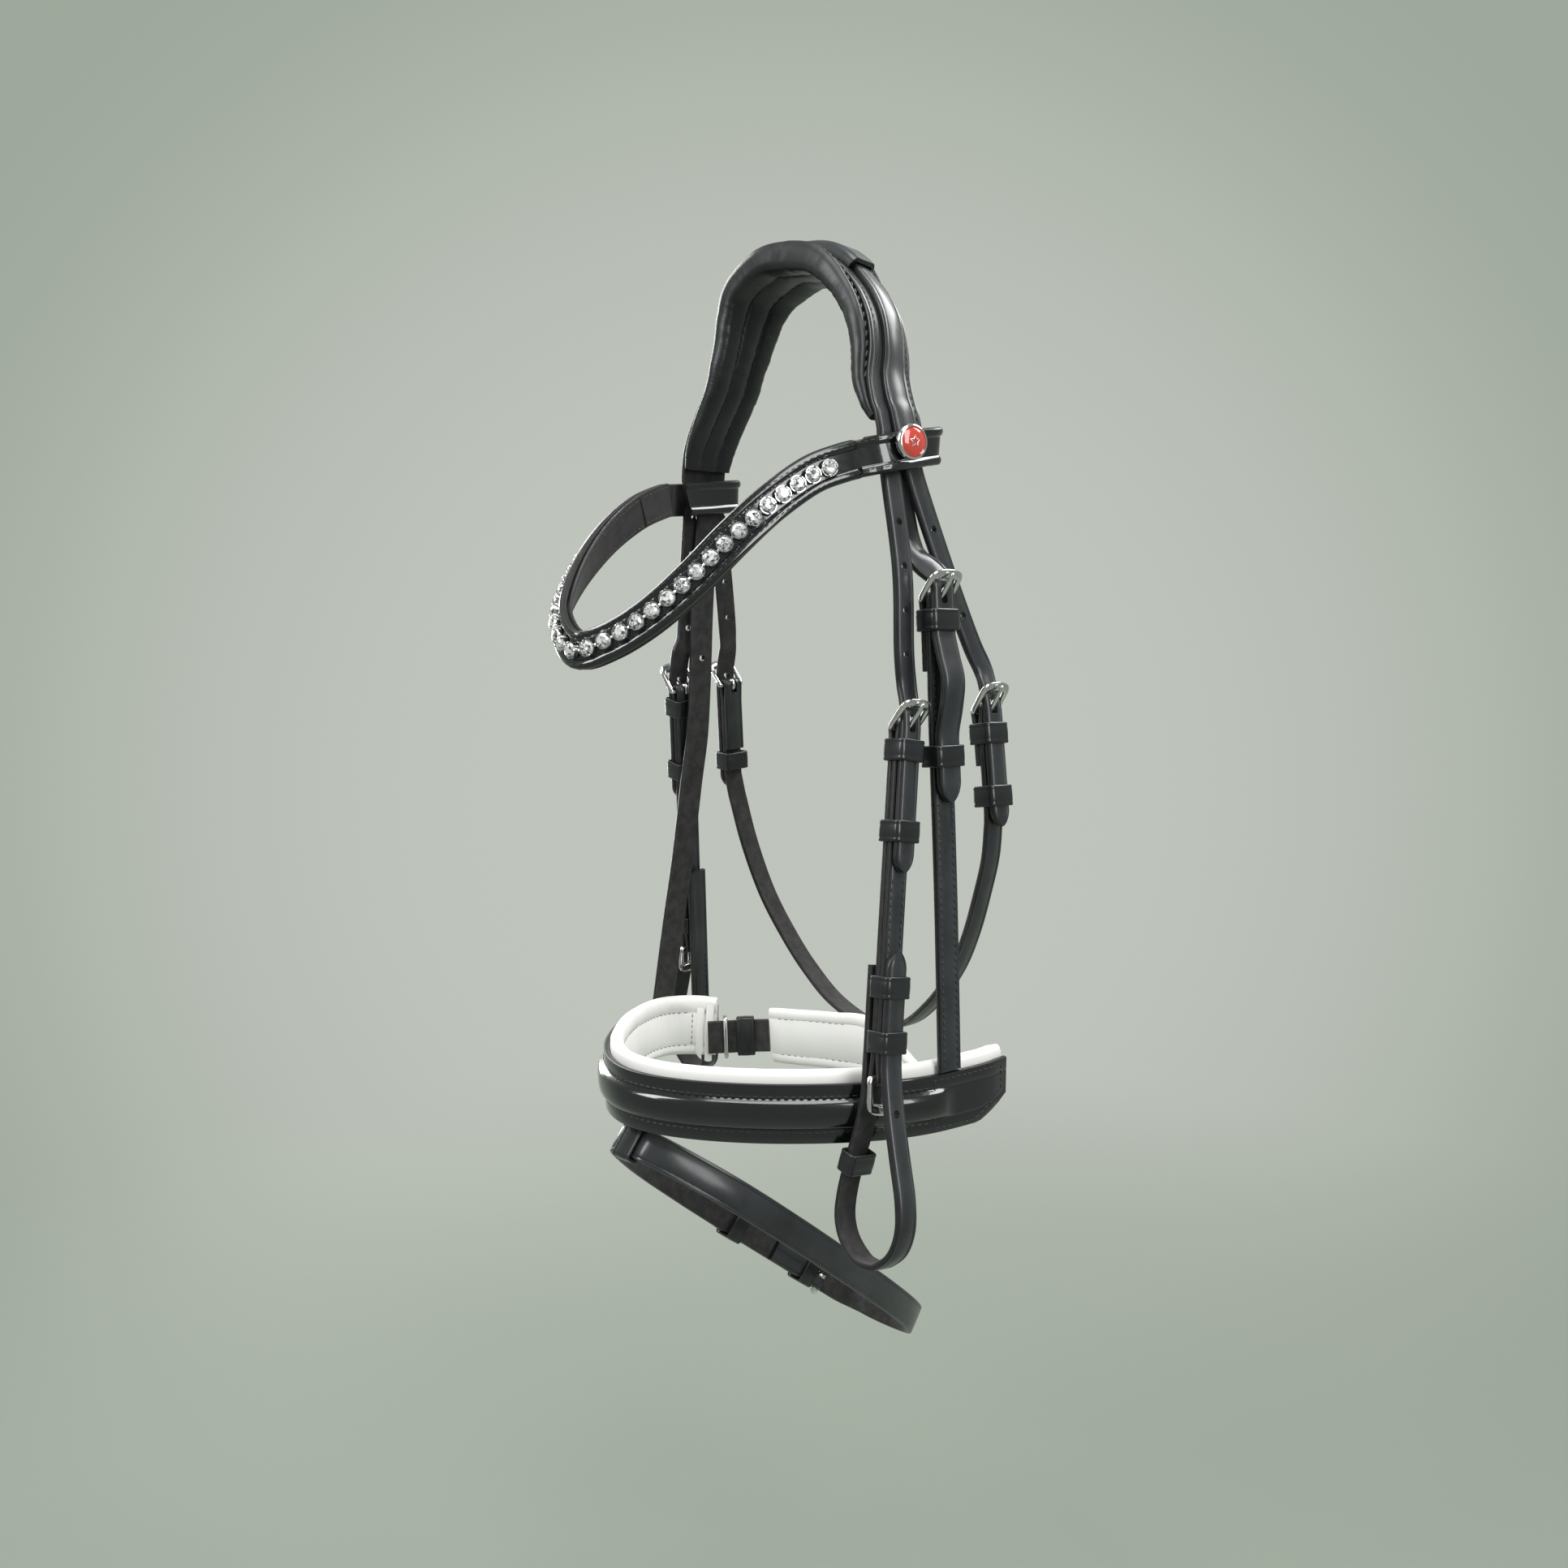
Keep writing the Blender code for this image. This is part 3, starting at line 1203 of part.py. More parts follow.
# The flash strap: its ring slopes down to the back from the noseband's front
FLASH_WIDTH = 0.013
FLASH_HALF_SPAN = 0.039
FLASH_LENGTH = 0.197
FLASH_SLOPE_DEGREES = 39.5
FLASH_ROLL_DEGREES = 5.0
FLASH_KEEPER_AT = 0.009
FLASH_RUNNER_AT = 0.060
FLASH_TIP_AT = 0.067
FLASH_TAIL_AT = 0.034
FLASH_LOOP_WIDTH_SHARE = 1.35
FLASH_FRONT_SHARES = (
    (0.0, -0.784, -1.0163),
)
FLASH_BAR_SHARES = ((-0.76, 0.85), (-0.98, 0.48))
# Shares of the half span and of the length, from the far side round the front to the near side and the back
FLASH_PATH_SHARES = (
    (-0.99, 0.36),
    (-0.87, 0.19),
    (-0.56, 0.065),
    (-0.3, 0.008),
    (-0.13, 0.0),
    (0.13, 0.0),
    (0.3, 0.008),
    (0.56, 0.065),
    (0.87, 0.19),
    (0.99, 0.36),
    (1.0, 0.54),
    (0.94, 0.72),
    (0.76, 0.87),
    (0.44, 0.97),
    (0.06, 1.0),
    (-0.26, 0.99),
    (-0.48, 0.955),
)


def flash_directions() -> tuple[Vector, Vector]:
    """Return the directions across the flash ring to the near side and along it to the back."""
    slope, roll = math.radians(FLASH_SLOPE_DEGREES), math.radians(FLASH_ROLL_DEGREES)
    return Vector((math.cos(roll), 0.0, math.sin(roll))), Vector((0.0, math.cos(slope), -math.sin(slope)))


def flash_point(side_share: float, length_share: float) -> Vector:
    """Return the point of the flash ring's plane at these shares."""
    side, back = flash_directions()
    front = share_points(FLASH_FRONT_SHARES)[0]
    return front + side * (side_share * FLASH_HALF_SPAN) + back * (length_share * FLASH_LENGTH)


def build_flash() -> None:
    """Build the flash strap with its buckle, keeper and runner, and the loop that hangs it."""
    side, back = flash_directions()
    normal = side.cross(back).normalized()
    bar, below = (flash_point(*shares) for shares in FLASH_BAR_SHARES)
    place = place_along(bar, below, Vector((-1.0, 0.0, 0.0)), normal)
    first, sections = fold_end(place, FLASH_TAIL_AT, FLASH_WIDTH, FLASH_TIP_AT)
    points = [flash_point(*shares) for shares in FLASH_PATH_SHARES]
    middle = flash_point(0.0, 0.5)
    points = [place.at((below - bar).length, 0.0, LAYER_MIDDLE), *points]
    above = through_buckle(points, [point - middle for point in points], place, 2)
    above = aligned(above, first[-1].across)
    path = [Station(place.at(FLASH_TIP_AT * share, 0.0, BILLET_MIDDLE), place.across, place.out) for share in (0.3, 0.6)]
    tip, tip_sections = billet_tip(place, FLASH_WIDTH, FLASH_TIP_AT, BILLET_MIDDLE, False)
    flat = [slab(FLASH_WIDTH / 2, LEATHER / 2)]
    rest = aligned(above + path + tip, first[-1].across)
    sections = sections + flat * (len(above) + len(path)) + tip_sections
    strap = sweep("flash_strap", first + rest, sections, "leather")
    cut(strap, slot_cutter("flash_slot", place, -SLOT_ABOVE, FOLD_SLOT_BELOW, SLOT_HALF_WIDTH, BILLET_MIDDLE * 2))
    frame = frame_place(place, True, FRAME_TILT_DEGREES)
    buckle("flash_buckle", frame, FLASH_WIDTH)
    tongue("flash_tongue", frame)
    outside = BILLET_MIDDLE + LEATHER / 2 + GAP
    keeper("flash_keeper", place.moved(s=FLASH_KEEPER_AT), FLASH_WIDTH, BODY_HALF + GAP, outside)
    keeper("flash_runner", place.moved(s=FLASH_RUNNER_AT), FLASH_WIDTH, BODY_HALF + GAP, outside)
    front = flash_point(0.0, 0.0)
    out = normal.cross(side)
    if out.y > 0.0:
        out = -out
    hung = Place(front, side, normal, out)
    half = LEATHER / 2 + GAP * 2
    ring = keeper_path(hung, FLASH_WIDTH, half, half, KEEPER_WALL)
    sweep("flash_loop", ring, [slab(KEEPER_WIDTH * FLASH_LOOP_WIDTH_SHARE / 2, KEEPER_WALL / 2)], "leather", closed=True)


def main() -> None:
    """Clear the scene and build the bridle."""
    for old in list(bpy.data.objects):
        bpy.data.objects.remove(old)
    over_poll = build_headpiece()
    build_browband()
    build_cheekpiece("near", NEAR_CHEEK_SHARES, Vector((1.0, 0.0, 0.0)))
    build_cheekpiece("far", FAR_CHEEK_SHARES, Vector((-1.0, 0.0, 0.0)))
    build_noseband_straps(over_poll)
    build_throatlatch()
    build_noseband()
    build_chin()
    build_flash()


main()
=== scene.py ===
"""A pony's bridle dressed for a picture: every strap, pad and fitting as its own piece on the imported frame.

The frame has +Z up, the pony facing -Y and its near (left) side at +X, with the origin under the poll.
Each side's straps hang in a small frame of their own: s runs down the strap, v across it towards the
pony's front and n out of it. Lengths are in metres, and the path tables are in millimetres.
"""

import logging
import math
from dataclasses import dataclass, field, replace
from enum import Enum

import bmesh
import bpy
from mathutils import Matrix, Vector, noise


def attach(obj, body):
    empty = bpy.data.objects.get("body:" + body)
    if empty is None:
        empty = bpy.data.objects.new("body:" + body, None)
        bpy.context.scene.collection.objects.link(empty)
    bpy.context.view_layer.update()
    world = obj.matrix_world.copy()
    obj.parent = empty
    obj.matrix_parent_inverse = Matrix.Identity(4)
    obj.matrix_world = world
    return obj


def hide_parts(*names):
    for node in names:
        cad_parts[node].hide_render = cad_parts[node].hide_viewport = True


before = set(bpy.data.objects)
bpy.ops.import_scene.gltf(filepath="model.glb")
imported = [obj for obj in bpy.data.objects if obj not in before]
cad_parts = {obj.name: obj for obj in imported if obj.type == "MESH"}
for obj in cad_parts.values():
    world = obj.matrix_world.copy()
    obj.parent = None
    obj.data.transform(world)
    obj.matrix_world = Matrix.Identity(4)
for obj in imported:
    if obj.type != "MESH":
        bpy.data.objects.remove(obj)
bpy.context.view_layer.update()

LOG = logging.getLogger("bridle")
Table = tuple[tuple[float, float, float], ...]
Ring = list[tuple[float, float]]


class Side(Enum):
    """The pony's two sides, with the way that each faces along X."""

    NEAR = 1.0
    FAR = -1.0

    @property
    def label(self) -> str:
        """Return the side's name as the nodes have it."""
        return self.name.lower()

    @property
    def outward(self) -> Vector:
        """Return the direction away from the head."""
        return Vector((self.value, 0.0, 0.0))


class Face(Enum):
    """The faces of a piece, each with its own material slot."""

    GRAIN = 0
    EDGE = 1
    FLESH = 2
    THREAD = 3


SHARP = 35.0
FORWARD = Vector((0.0, -1.0, 0.0))
UP = Vector((0.0, 0.0, 1.0))


@dataclass(frozen=True)
class Stock:
    """The leather and metal that the straps and fittings are made of."""

    gap: float = 0.0003
    leather: float = 0.0024
    fold_leather: float = 0.0017
    bar_radius: float = 0.0011
    tongue_radius: float = 0.0010
    keeper_wall: float = 0.0012
    keeper_width: float = 0.0085
    hole_radius: float = 0.0015
    slot_half: float = 0.0016
    slot_above: float = 0.0056
    slot_below: float = 0.0017
    fold_slot_below: float = 0.0045
    taper: float = 0.008

    @property
    def layer(self) -> float:
        """Return how far from the middle each of two stacked straps lies."""
        return (self.leather + self.gap) / 2

    @property
    def body_half(self) -> float:
        """Return half the thickness of two stacked straps."""
        return self.layer + self.leather / 2

    @property
    def fold_middle(self) -> float:
        """Return the radius of a fold's middle round a bar."""
        return self.bar_radius + self.gap + self.fold_leather / 2

    @property
    def fold_half(self) -> float:
        """Return the outer radius of a fold round a bar."""
        return self.fold_middle + self.fold_leather / 2

    @property
    def billet_middle(self) -> float:
        """Return how far out a billet lies over a buckle's bar."""
        return self.fold_half + self.gap + self.leather / 2

    @property
    def fold_slot_depth(self) -> float:
        """Return how deep a tongue's slot is cut into a fold."""
        return self.fold_half * 1.5

    @property
    def curl(self) -> float:
        """Return the radius of a tongue's middle round its bar."""
        return self.bar_radius + self.gap + self.tongue_radius


STOCK = Stock()


@dataclass(frozen=True)
class Station:
    """One ring of a sweep: its centre and the two directions that its section lies in."""

    centre: Vector
    across: Vector
    out: Vector

    def moved(self, n: float = 0.0, v: float = 0.0) -> "Station":
        """Return the station moved out and across."""
        return Station(self.centre + self.out * n + self.across * v, self.across, self.out)


@dataclass(frozen=True)
class Place:
    """A small frame with s down a strap, v across it and n out of it."""

    origin: Vector
    down: Vector
    across: Vector
    out: Vector

    def at(self, s: float = 0.0, v: float = 0.0, n: float = 0.0) -> Vector:
        """Return the point at these local distances."""
        return self.origin + self.down * s + self.across * v + self.out * n

    def moved(self, s: float = 0.0, v: float = 0.0, n: float = 0.0) -> "Place":
        """Return the same frame with its origin moved."""
        return replace(self, origin=self.at(s, v, n))

    def turned(self, degrees: float) -> "Place":
        """Return the frame turned about its across axis, which lifts the down direction outwards."""
        turn = math.radians(degrees)
        down = self.down * math.cos(turn) + self.out * math.sin(turn)
        return replace(self, down=down, out=self.out * math.cos(turn) - self.down * math.sin(turn))

    def flipped(self) -> "Place":
        """Return the frame with its down direction reversed and its out direction kept."""
        return replace(self, down=-self.down, across=-self.across)

    def station(self, s: float, n: float, inward: bool = False) -> Station:
        """Return the station at s and n, facing out or in."""
        return Station(self.at(s, 0.0, n), self.across, -self.out if inward else self.out)

    @classmethod
    def along(cls, origin: Vector, below: Vector, out_hint: Vector, forward: Vector) -> "Place":
        """Return the frame at origin that points to below, facing nearest to out_hint."""
        down = (below - origin).normalized()
        out = (out_hint - down * out_hint.dot(down)).normalized()
        across = down.cross(out)
        return cls(origin, down, -across if across.dot(forward) < 0.0 else across, out)

    @classmethod
    def on(cls, here: Station) -> "Place":
        """Return the frame at a station, with its down direction along the path."""
        return cls(here.centre, here.across.cross(here.out), here.across, here.out)


def metres(table: Table) -> list[Vector]:
    """Return the points of a path table in millimetres."""
    return [Vector(row) / 1000 for row in table]


def smooth_path(points: list[Vector], steps: int, closed: bool = False) -> list[Vector]:
    """Return a smooth curve through points.

    Args:
        points: What the curve passes through.
        steps: How many points each span gets.
        closed: Whether the last point joins the first.

    Returns:
        The curve's points.
    """
    count, found = len(points), []
    for i in range(count if closed else count - 1):
        a, b = points[i], points[(i + 1) % count]
        before = points[i - 1] if closed or i else a * 2 - b
        after = points[(i + 2) % count] if closed or i + 2 < count else b * 2 - a
        for step in range(steps):
            t = step / steps
            ahead, here = b * (-3 * t**3 + 4 * t**2 + t), a * (3 * t**3 - 5 * t**2 + 2)
            found.append((ahead + here + before * (2 * t**2 - t**3 - t) + after * (t**3 - t**2)) / 2)
    return found if closed else [*found, points[-1]]


def stations_on(path: list[Vector], hints: list[Vector], closed: bool = False) -> list[Station]:
    """Return stations along a path whose out directions are nearest to the hints."""
    count, found = len(path), []
    for i, point in enumerate(path):
        before = path[i - 1] if closed or i else point
        after = path[(i + 1) % count] if closed or i + 1 < count else point
        along = (after - before).normalized()
        out = (hints[i] - along * hints[i].dot(along)).normalized()
        found.append(Station(point, along.cross(out).normalized(), out))
    return found


def smooth_stations(points: list[Vector], hints: list[Vector], steps: int) -> list[Station]:
    """Return stations on the smooth curve through points, with the hints smoothed alike."""
    return stations_on(smooth_path(points, steps), smooth_path(hints, steps))


def aligned(stations: list[Station], across: Vector) -> list[Station]:
    """Return the stations with each across direction turned to the side that follows on from this one."""
    found = []
    for station in stations:
        if station.across.dot(across) < 0.0:
            station = replace(station, across=-station.across)
        found.append(station)
        across = station.across
    return found


def path_lengths(stations: list[Station]) -> list[float]:
    """Return how far along the path each station lies."""
    found = [0.0]
    for a, b in zip(stations, stations[1:]):
        found.append(found[-1] + (b.centre - a.centre).length)
    return found


def station_at(stations: list[Station], gone: list[float], distance: float) -> Station:
    """Return the station at a distance along the path."""
    index = 0
    while index < len(gone) - 2 and distance > gone[index + 1]:
        index += 1
    share = (distance - gone[index]) / max(gone[index + 1] - gone[index], 1e-9)
    a, b = stations[index], stations[index + 1]
    across = a.across.lerp(b.across, share).normalized()
    return Station(a.centre.lerp(b.centre, share), across, a.out.lerp(b.out, share).normalized())


def nearest_place(stations: list[Station], point: Vector) -> Place:
    """Return a place at the station nearest to the point, with its down direction along the path."""
    return Place.on(min(stations, key=lambda station: (station.centre - point).length))


def smooth_share(value: float, low: float, high: float) -> float:
    """Return 0 below low and 1 above high, easing between them."""
    t = min(max((value - low) / (high - low), 0.0), 1.0)
    return t * t * (3 - 2 * t)


def wander(point: Vector, scale: float, seed: float = 0.0) -> float:
    """Return smooth noise from -1 to 1 at a point."""
    return noise.noise(point * scale + Vector((seed, seed * 1.7, -seed)))


@dataclass
class Shell:
    """The faces of a piece while it is built, with a map of distance along and share across."""

    points: list[Vector] = field(default_factory=list)
    faces: list[tuple[int, ...]] = field(default_factory=list)
    slots: list[int] = field(default_factory=list)
    maps: list[tuple[tuple[float, float], ...]] = field(default_factory=list)

    def face(self, corners: tuple[int, ...], slot: int, places: tuple[tuple[float, float], ...]) -> None:
        """Add one face."""
        self.faces.append(corners)
        self.slots.append(slot)
        self.maps.append(places)

    def sweep(
        self, stations: list[Station], rings: list[Ring], kinds: list[Face], closed: bool = False
    ) -> "Shell":
        """Add the surface that carries a section along the stations.

        Args:
            stations: Where the section goes.
            rings: The section at each station, or one for them all.
            kinds: What each side of the section is, from its point to the next.
            closed: Whether the last ring joins the first.

        Returns:
            This shell.
        """
        rings = rings * len(stations) if len(rings) == 1 else rings
        base, sides, count = len(self.points), len(rings[0]), len(stations)
        for station, ring in zip(stations, rings):
            self.points += [station.centre + station.across * v + station.out * n for v, n in ring]
        gone = path_lengths(stations)
        gone.append(gone[-1] + (stations[0].centre - stations[-1].centre).length)
        widest = max(abs(v) for ring in rings for v, _ in ring)
        for ring in range(count if closed else count - 1):
            here, there = base + ring * sides, base + (ring + 1) % count * sides
            for side in range(sides):
                beside = (side + 1) % sides
                first, second = rings[ring][side][0] / widest, rings[ring][beside][0] / widest
                low, high = gone[ring], gone[ring + 1]
                places = ((low, first), (low, second), (high, second), (high, first))
                corners = (here + side, here + beside, there + beside, there + side)
                self.face(corners, kinds[side % len(kinds)].value, places)
        if not closed:
            flat = ((0.0, 0.0),) * sides
            self.face(tuple(base + side for side in reversed(range(sides))), Face.EDGE.value, flat)
            self.face(
                tuple(base + (count - 1) * sides + side for side in range(sides)), Face.EDGE.value, flat
            )
        return self

    def built(self, name: str, finishes: "list[Finish]", sharp: float = SHARP) -> bpy.types.Object:
        """Return the shell as an object in its finishes, shaded smooth but for edges sharper than this."""
        mesh = bpy.data.meshes.new(name)
        mesh.from_pydata([tuple(point) for point in self.points], [], self.faces)
        layer = mesh.uv_layers.new(name="along")
        flat = [value for places in self.maps for place in places for value in place]
        layer.data.foreach_set("uv", flat)
        mesh.polygons.foreach_set("material_index", [min(slot, len(finishes) - 1) for slot in self.slots])
        for finish in finishes:
            mesh.materials.append(finish.material())
        facing = bmesh.new()
        facing.from_mesh(mesh)
        bmesh.ops.recalc_face_normals(facing, faces=facing.faces[:])
        facing.to_mesh(mesh)
        facing.free()
        mesh.shade_smooth()
        mesh.set_sharp_from_angle(angle=math.radians(sharp))
        made = bpy.data.objects.new(name, mesh)
        bpy.context.scene.collection.objects.link(made)
        return made


def oval(half_width: float, half_height: float, sides: int = 14) -> Ring:
    """Return a round or oval section."""
    turns = [2 * math.pi * (i + 0.5) / sides for i in range(sides)]
    return [(half_width * math.cos(turn), half_height * math.sin(turn)) for turn in turns]


STRAP_KINDS = [Face.EDGE] * 4 + [Face.GRAIN] * 9 + [Face.EDGE] * 4 + [Face.FLESH] * 3


def strap_ring(width: float, thickness: float, crease: float = 0.0003, middle: float = 0.0) -> Ring:
    """Return a strap's section: dressed edges, two creased lines by them on the grain side, a flat back."""
    h, t = width / 2, thickness / 2
    edge = [(h - 0.0001, -t + 0.00045), (h, -t * 0.2), (h - 0.00003, t * 0.35), (h - 0.00018, t * 0.72)]
    grain = [(h - 0.0005, t * 0.96), (h - 0.0012, t), (h - 0.0016, t - crease), (h - 0.0021, t)]
    half = [*edge, *grain]
    top = [*half, (0.0, t + 0.00006), *((-v, n) for v, n in reversed(half))]
    return [(v, n + middle) for v, n in [*top, (-h + 0.0004, -t), (0.0, -t), (h - 0.0004, -t)]]


def both_sides(width: float, inset: float) -> tuple[float, float]:
    """Return how far across the two rows lie that run this far in from a strap's edges."""
    return (width / 2 - inset, inset - width / 2)


def narrowed(ring: Ring, share: float) -> Ring:
    """Return a section with its width scaled."""
    return [(v * share, n) for v, n in ring]


class Value:
    """A number in a material, on which Python's operators add Math nodes."""

    def __init__(self, graph: "Graph", socket: bpy.types.NodeSocket) -> None:
        """Wrap one output socket of a graph."""
        self.graph, self.socket = graph, socket

    def math(self, operation: str, *others: "Value | float") -> "Value":
        """Return this value after a Math operation with the others."""
        return self.graph.math(operation, self, *others)

    def __add__(self, other: "Value | float") -> "Value":
        """Return the sum."""
        return self.math("ADD", other)

    def __radd__(self, other: float) -> "Value":
        """Return the sum."""
        return self.math("ADD", other)

    def __sub__(self, other: "Value | float") -> "Value":
        """Return the difference."""
        return self.math("SUBTRACT", other)

    def __rsub__(self, other: float) -> "Value":
        """Return the difference from a number."""
        return self.graph.math("SUBTRACT", other, self)

    def __mul__(self, other: "Value | float") -> "Value":
        """Return the product."""
        return self.math("MULTIPLY", other)

    def __rmul__(self, other: float) -> "Value":
        """Return the product."""
        return self.math("MULTIPLY", other)

    def __truediv__(self, other: "Value | float") -> "Value":
        """Return the quotient."""
        return self.math("DIVIDE", other)

    def between(self, low: float, high: float) -> "Value":
        """Return 0 below low and 1 above high, easing between them."""
        settings = {"interpolation_type": "SMOOTHSTEP"}
        sockets = {"Value": self, "From Min": low, "From Max": high}
        made = self.graph.add("ShaderNodeMapRange", settings, sockets)
        return Value(self.graph, made.outputs["Result"])


class Graph:
    """The nodes of one material or of the world."""

    def __init__(self, owner: bpy.types.Material | bpy.types.World) -> None:
        """Take the tree of a material or a world and its shader."""
        self.tree = owner.node_tree
        self.shader = self.tree.nodes.get("Principled BSDF") or self.tree.nodes["Background"]

    def add(self, kind: str, settings: dict | None = None, sockets: dict | None = None) -> bpy.types.Node:
        """Add a node.

        Args:
            kind: The node's type.
            settings: Its own settings, which are set first.
            sockets: A value or a link for each input, by name or number.

        Returns:
            The node.
        """
        made = self.tree.nodes.new(kind)
        for name, value in (settings or {}).items():
            setattr(made, name, value)
        for name, value in (sockets or {}).items():
            source = value.socket if isinstance(value, Value) else value
            if isinstance(source, bpy.types.NodeSocket):
                self.tree.links.new(source, made.inputs[name])
            else:
                made.inputs[name].default_value = source
        return made

    def math(self, operation: str, *values: "Value | float") -> Value:
        """Return the result of a Math node."""
        made = self.add("ShaderNodeMath", {"operation": operation}, dict(enumerate(values)))
        return Value(self, made.outputs[0])

    def mixed(self, share: Value, first: object, second: object) -> bpy.types.NodeSocket:
        """Return the colour between two others at this share."""
        made = self.add("ShaderNodeMix", {"data_type": "RGBA"}, {0: share, 6: first, 7: second})
        return made.outputs[2]

    def where(self, on_map: bool, stretch: tuple[float, float, float]) -> bpy.types.NodeSocket:
        """Return coordinates in space, or on the map of distance along and share across, stretched."""
        name = "UV" if on_map else "Object"
        source = self.add("ShaderNodeTexCoord").outputs[name]
        return self.add("ShaderNodeMapping", {}, {"Vector": source, "Scale": stretch}).outputs["Vector"]

    def across(self) -> Value:
        """Return how far from the middle of its strap a point is, as a share of half the width."""
        made = self.add("ShaderNodeSeparateXYZ", {}, {0: self.add("ShaderNodeTexCoord").outputs["UV"]})
        return Value(self, made.outputs["Y"]).math("ABSOLUTE")

    def noise(
        self, scale: float, detail: float = 3.0, on_map: bool = False, stretch: tuple = (1, 1, 1)
    ) -> Value:
        """Return smooth noise between 0 and 1."""
        sockets = {"Vector": self.where(on_map, stretch), "Scale": scale, "Detail": detail, "Roughness": 0.6}
        return Value(self, self.add("ShaderNodeTexNoise", {}, sockets).outputs[0])

    def pores(self, scale: float) -> Value:
        """Return the distance to the nearest of many scattered points, which looks like leather's grain."""
        sockets = {"Vector": self.where(False, (1, 1, 1)), "Scale": scale}
        return Value(self, self.add("ShaderNodeTexVoronoi", {"feature": "F1"}, sockets).outputs["Distance"])

    def feed(self, name: str, source: "Value | bpy.types.NodeSocket") -> None:
        """Link a value or a colour to one of the shader's inputs."""
        self.tree.links.new(getattr(source, "socket", source), self.shader.inputs[name])


@dataclass(frozen=True)
class Relief:
    """One layer of a surface's relief, its height in metres."""

    scale: float
    height: float
    pores: bool = False
    on_map: bool = False
    stretch: tuple[float, float, float] = (1.0, 1.0, 1.0)

    def value(self, graph: Graph) -> Value:
        """Return the layer's height in a material."""
        if self.pores:
            return graph.pores(self.scale) * self.height
        return graph.noise(self.scale, 3.0, self.on_map, self.stretch) * self.height


@dataclass(frozen=True)
class Finish:
    """What a surface is made of and how it has worn."""

    name: str
    colour: tuple[float, float, float]
    roughness: float
    spread: float = 0.08
    metallic: float = 0.0
    coat: float = 0.0
    coat_roughness: float = 0.1
    sheen: float = 0.0
    shade: float = 0.3
    shade_scale: float = 60.0
    worn: tuple[float, float, float] | None = None
    wear: float = 0.3
    reliefs: tuple[Relief, ...] = ()

    def material(self) -> bpy.types.Material:
        """Return the finish's material, made the first time."""
        found = bpy.data.materials.get(self.name)
        if found:
            return found
        made = bpy.data.materials.new(self.name)
        made.use_nodes = True
        graph = Graph(made)
        constants = {
            "Metallic": self.metallic, "Coat Weight": self.coat, "Coat Roughness": self.coat_roughness,
            "Sheen Weight": self.sheen, "Sheen Roughness": 0.4,
        }  # fmt: skip
        for name, value in constants.items():
            graph.shader.inputs[name].default_value = value
        self.paint(graph)
        self.roughen(graph)
        self.emboss(graph)
        return made

    def tone(self, factor: float) -> tuple[float, float, float, float]:
        """Return the colour made lighter or darker."""
        red, green, blue = (min(value * factor, 0.95) for value in self.colour)
        return (red, green, blue, 1.0)

    def paint(self, graph: Graph) -> None:
        """Vary the colour over the surface, and rub it paler along a strap's edges."""
        cloudy = graph.noise(self.shade_scale, 4.0)
        colour = graph.mixed(cloudy.between(0.3, 0.7), self.tone(1 - self.shade), self.tone(1 + self.shade))
        if self.worn:
            edges = graph.across().between(0.86, 1.0)
            rubbed = edges * graph.noise(420.0, 4.0).between(0.4, 0.75) * self.wear
            scuffed = graph.noise(150.0, 6.0, True, (0.25, 0.02, 1.0)).between(0.66, 0.8) * self.wear * 0.5
            colour = graph.mixed(rubbed + scuffed, colour, (*self.worn, 1.0))
        graph.feed("Base Color", colour)

    def roughen(self, graph: Graph) -> None:
        """Vary the gloss over the surface."""
        smeared = graph.noise(self.shade_scale * 1.7, 5.0)
        graph.feed("Roughness", smeared * (2 * self.spread) + (self.roughness - self.spread))

    def emboss(self, graph: Graph) -> None:
        """Raise the surface's relief."""
        if not self.reliefs:
            return
        height = self.reliefs[0].value(graph)
        for relief in self.reliefs[1:]:
            height = height + relief.value(graph)
        made = graph.add("ShaderNodeBump", {}, {"Strength": 1.0, "Distance": 1.0, "Height": height})
        graph.feed("Normal", made.outputs["Normal"])


LEATHER = Finish(
    "strap_leather", (0.0215, 0.0235, 0.0265), 0.36, 0.1, coat=0.3, coat_roughness=0.2,
    worn=(0.06, 0.062, 0.068),
    reliefs=(
        Relief(1500.0, 0.00001, True), Relief(220.0, 0.00004),
        Relief(90.0, 0.00003, on_map=True, stretch=(1.0, 0.006, 1.0)),
    ),
)  # fmt: skip
EDGE = Finish(
    "dressed_edge", (0.008, 0.008, 0.0085), 0.4, 0.12, coat=0.2, worn=(0.05, 0.045, 0.042), wear=0.2,
    reliefs=(Relief(500.0, 0.00005), Relief(1800.0, 0.00002)),
)  # fmt: skip
FLESH = Finish(
    "flesh_side", (0.026, 0.025, 0.025), 0.86, 0.06, sheen=0.25, shade=0.4, shade_scale=240.0,
    reliefs=(Relief(1300.0, 0.00012), Relief(260.0, 0.0001)),
)  # fmt: skip
PATENT = Finish(
    "patent_leather", (0.004, 0.0045, 0.006), 0.2, 0.05, coat=1.0, coat_roughness=0.03, shade=0.2,
    reliefs=(Relief(70.0, 0.00022), Relief(260.0, 0.00004)),
)  # fmt: skip
KEEPER = Finish(
    "keeper_leather", (0.0095, 0.0105, 0.0125), 0.3, 0.08, coat=0.4, coat_roughness=0.2,
    worn=(0.05, 0.05, 0.052), wear=0.25,
    reliefs=(Relief(300.0, 0.00004), Relief(1400.0, 0.000006, True)),
)  # fmt: skip
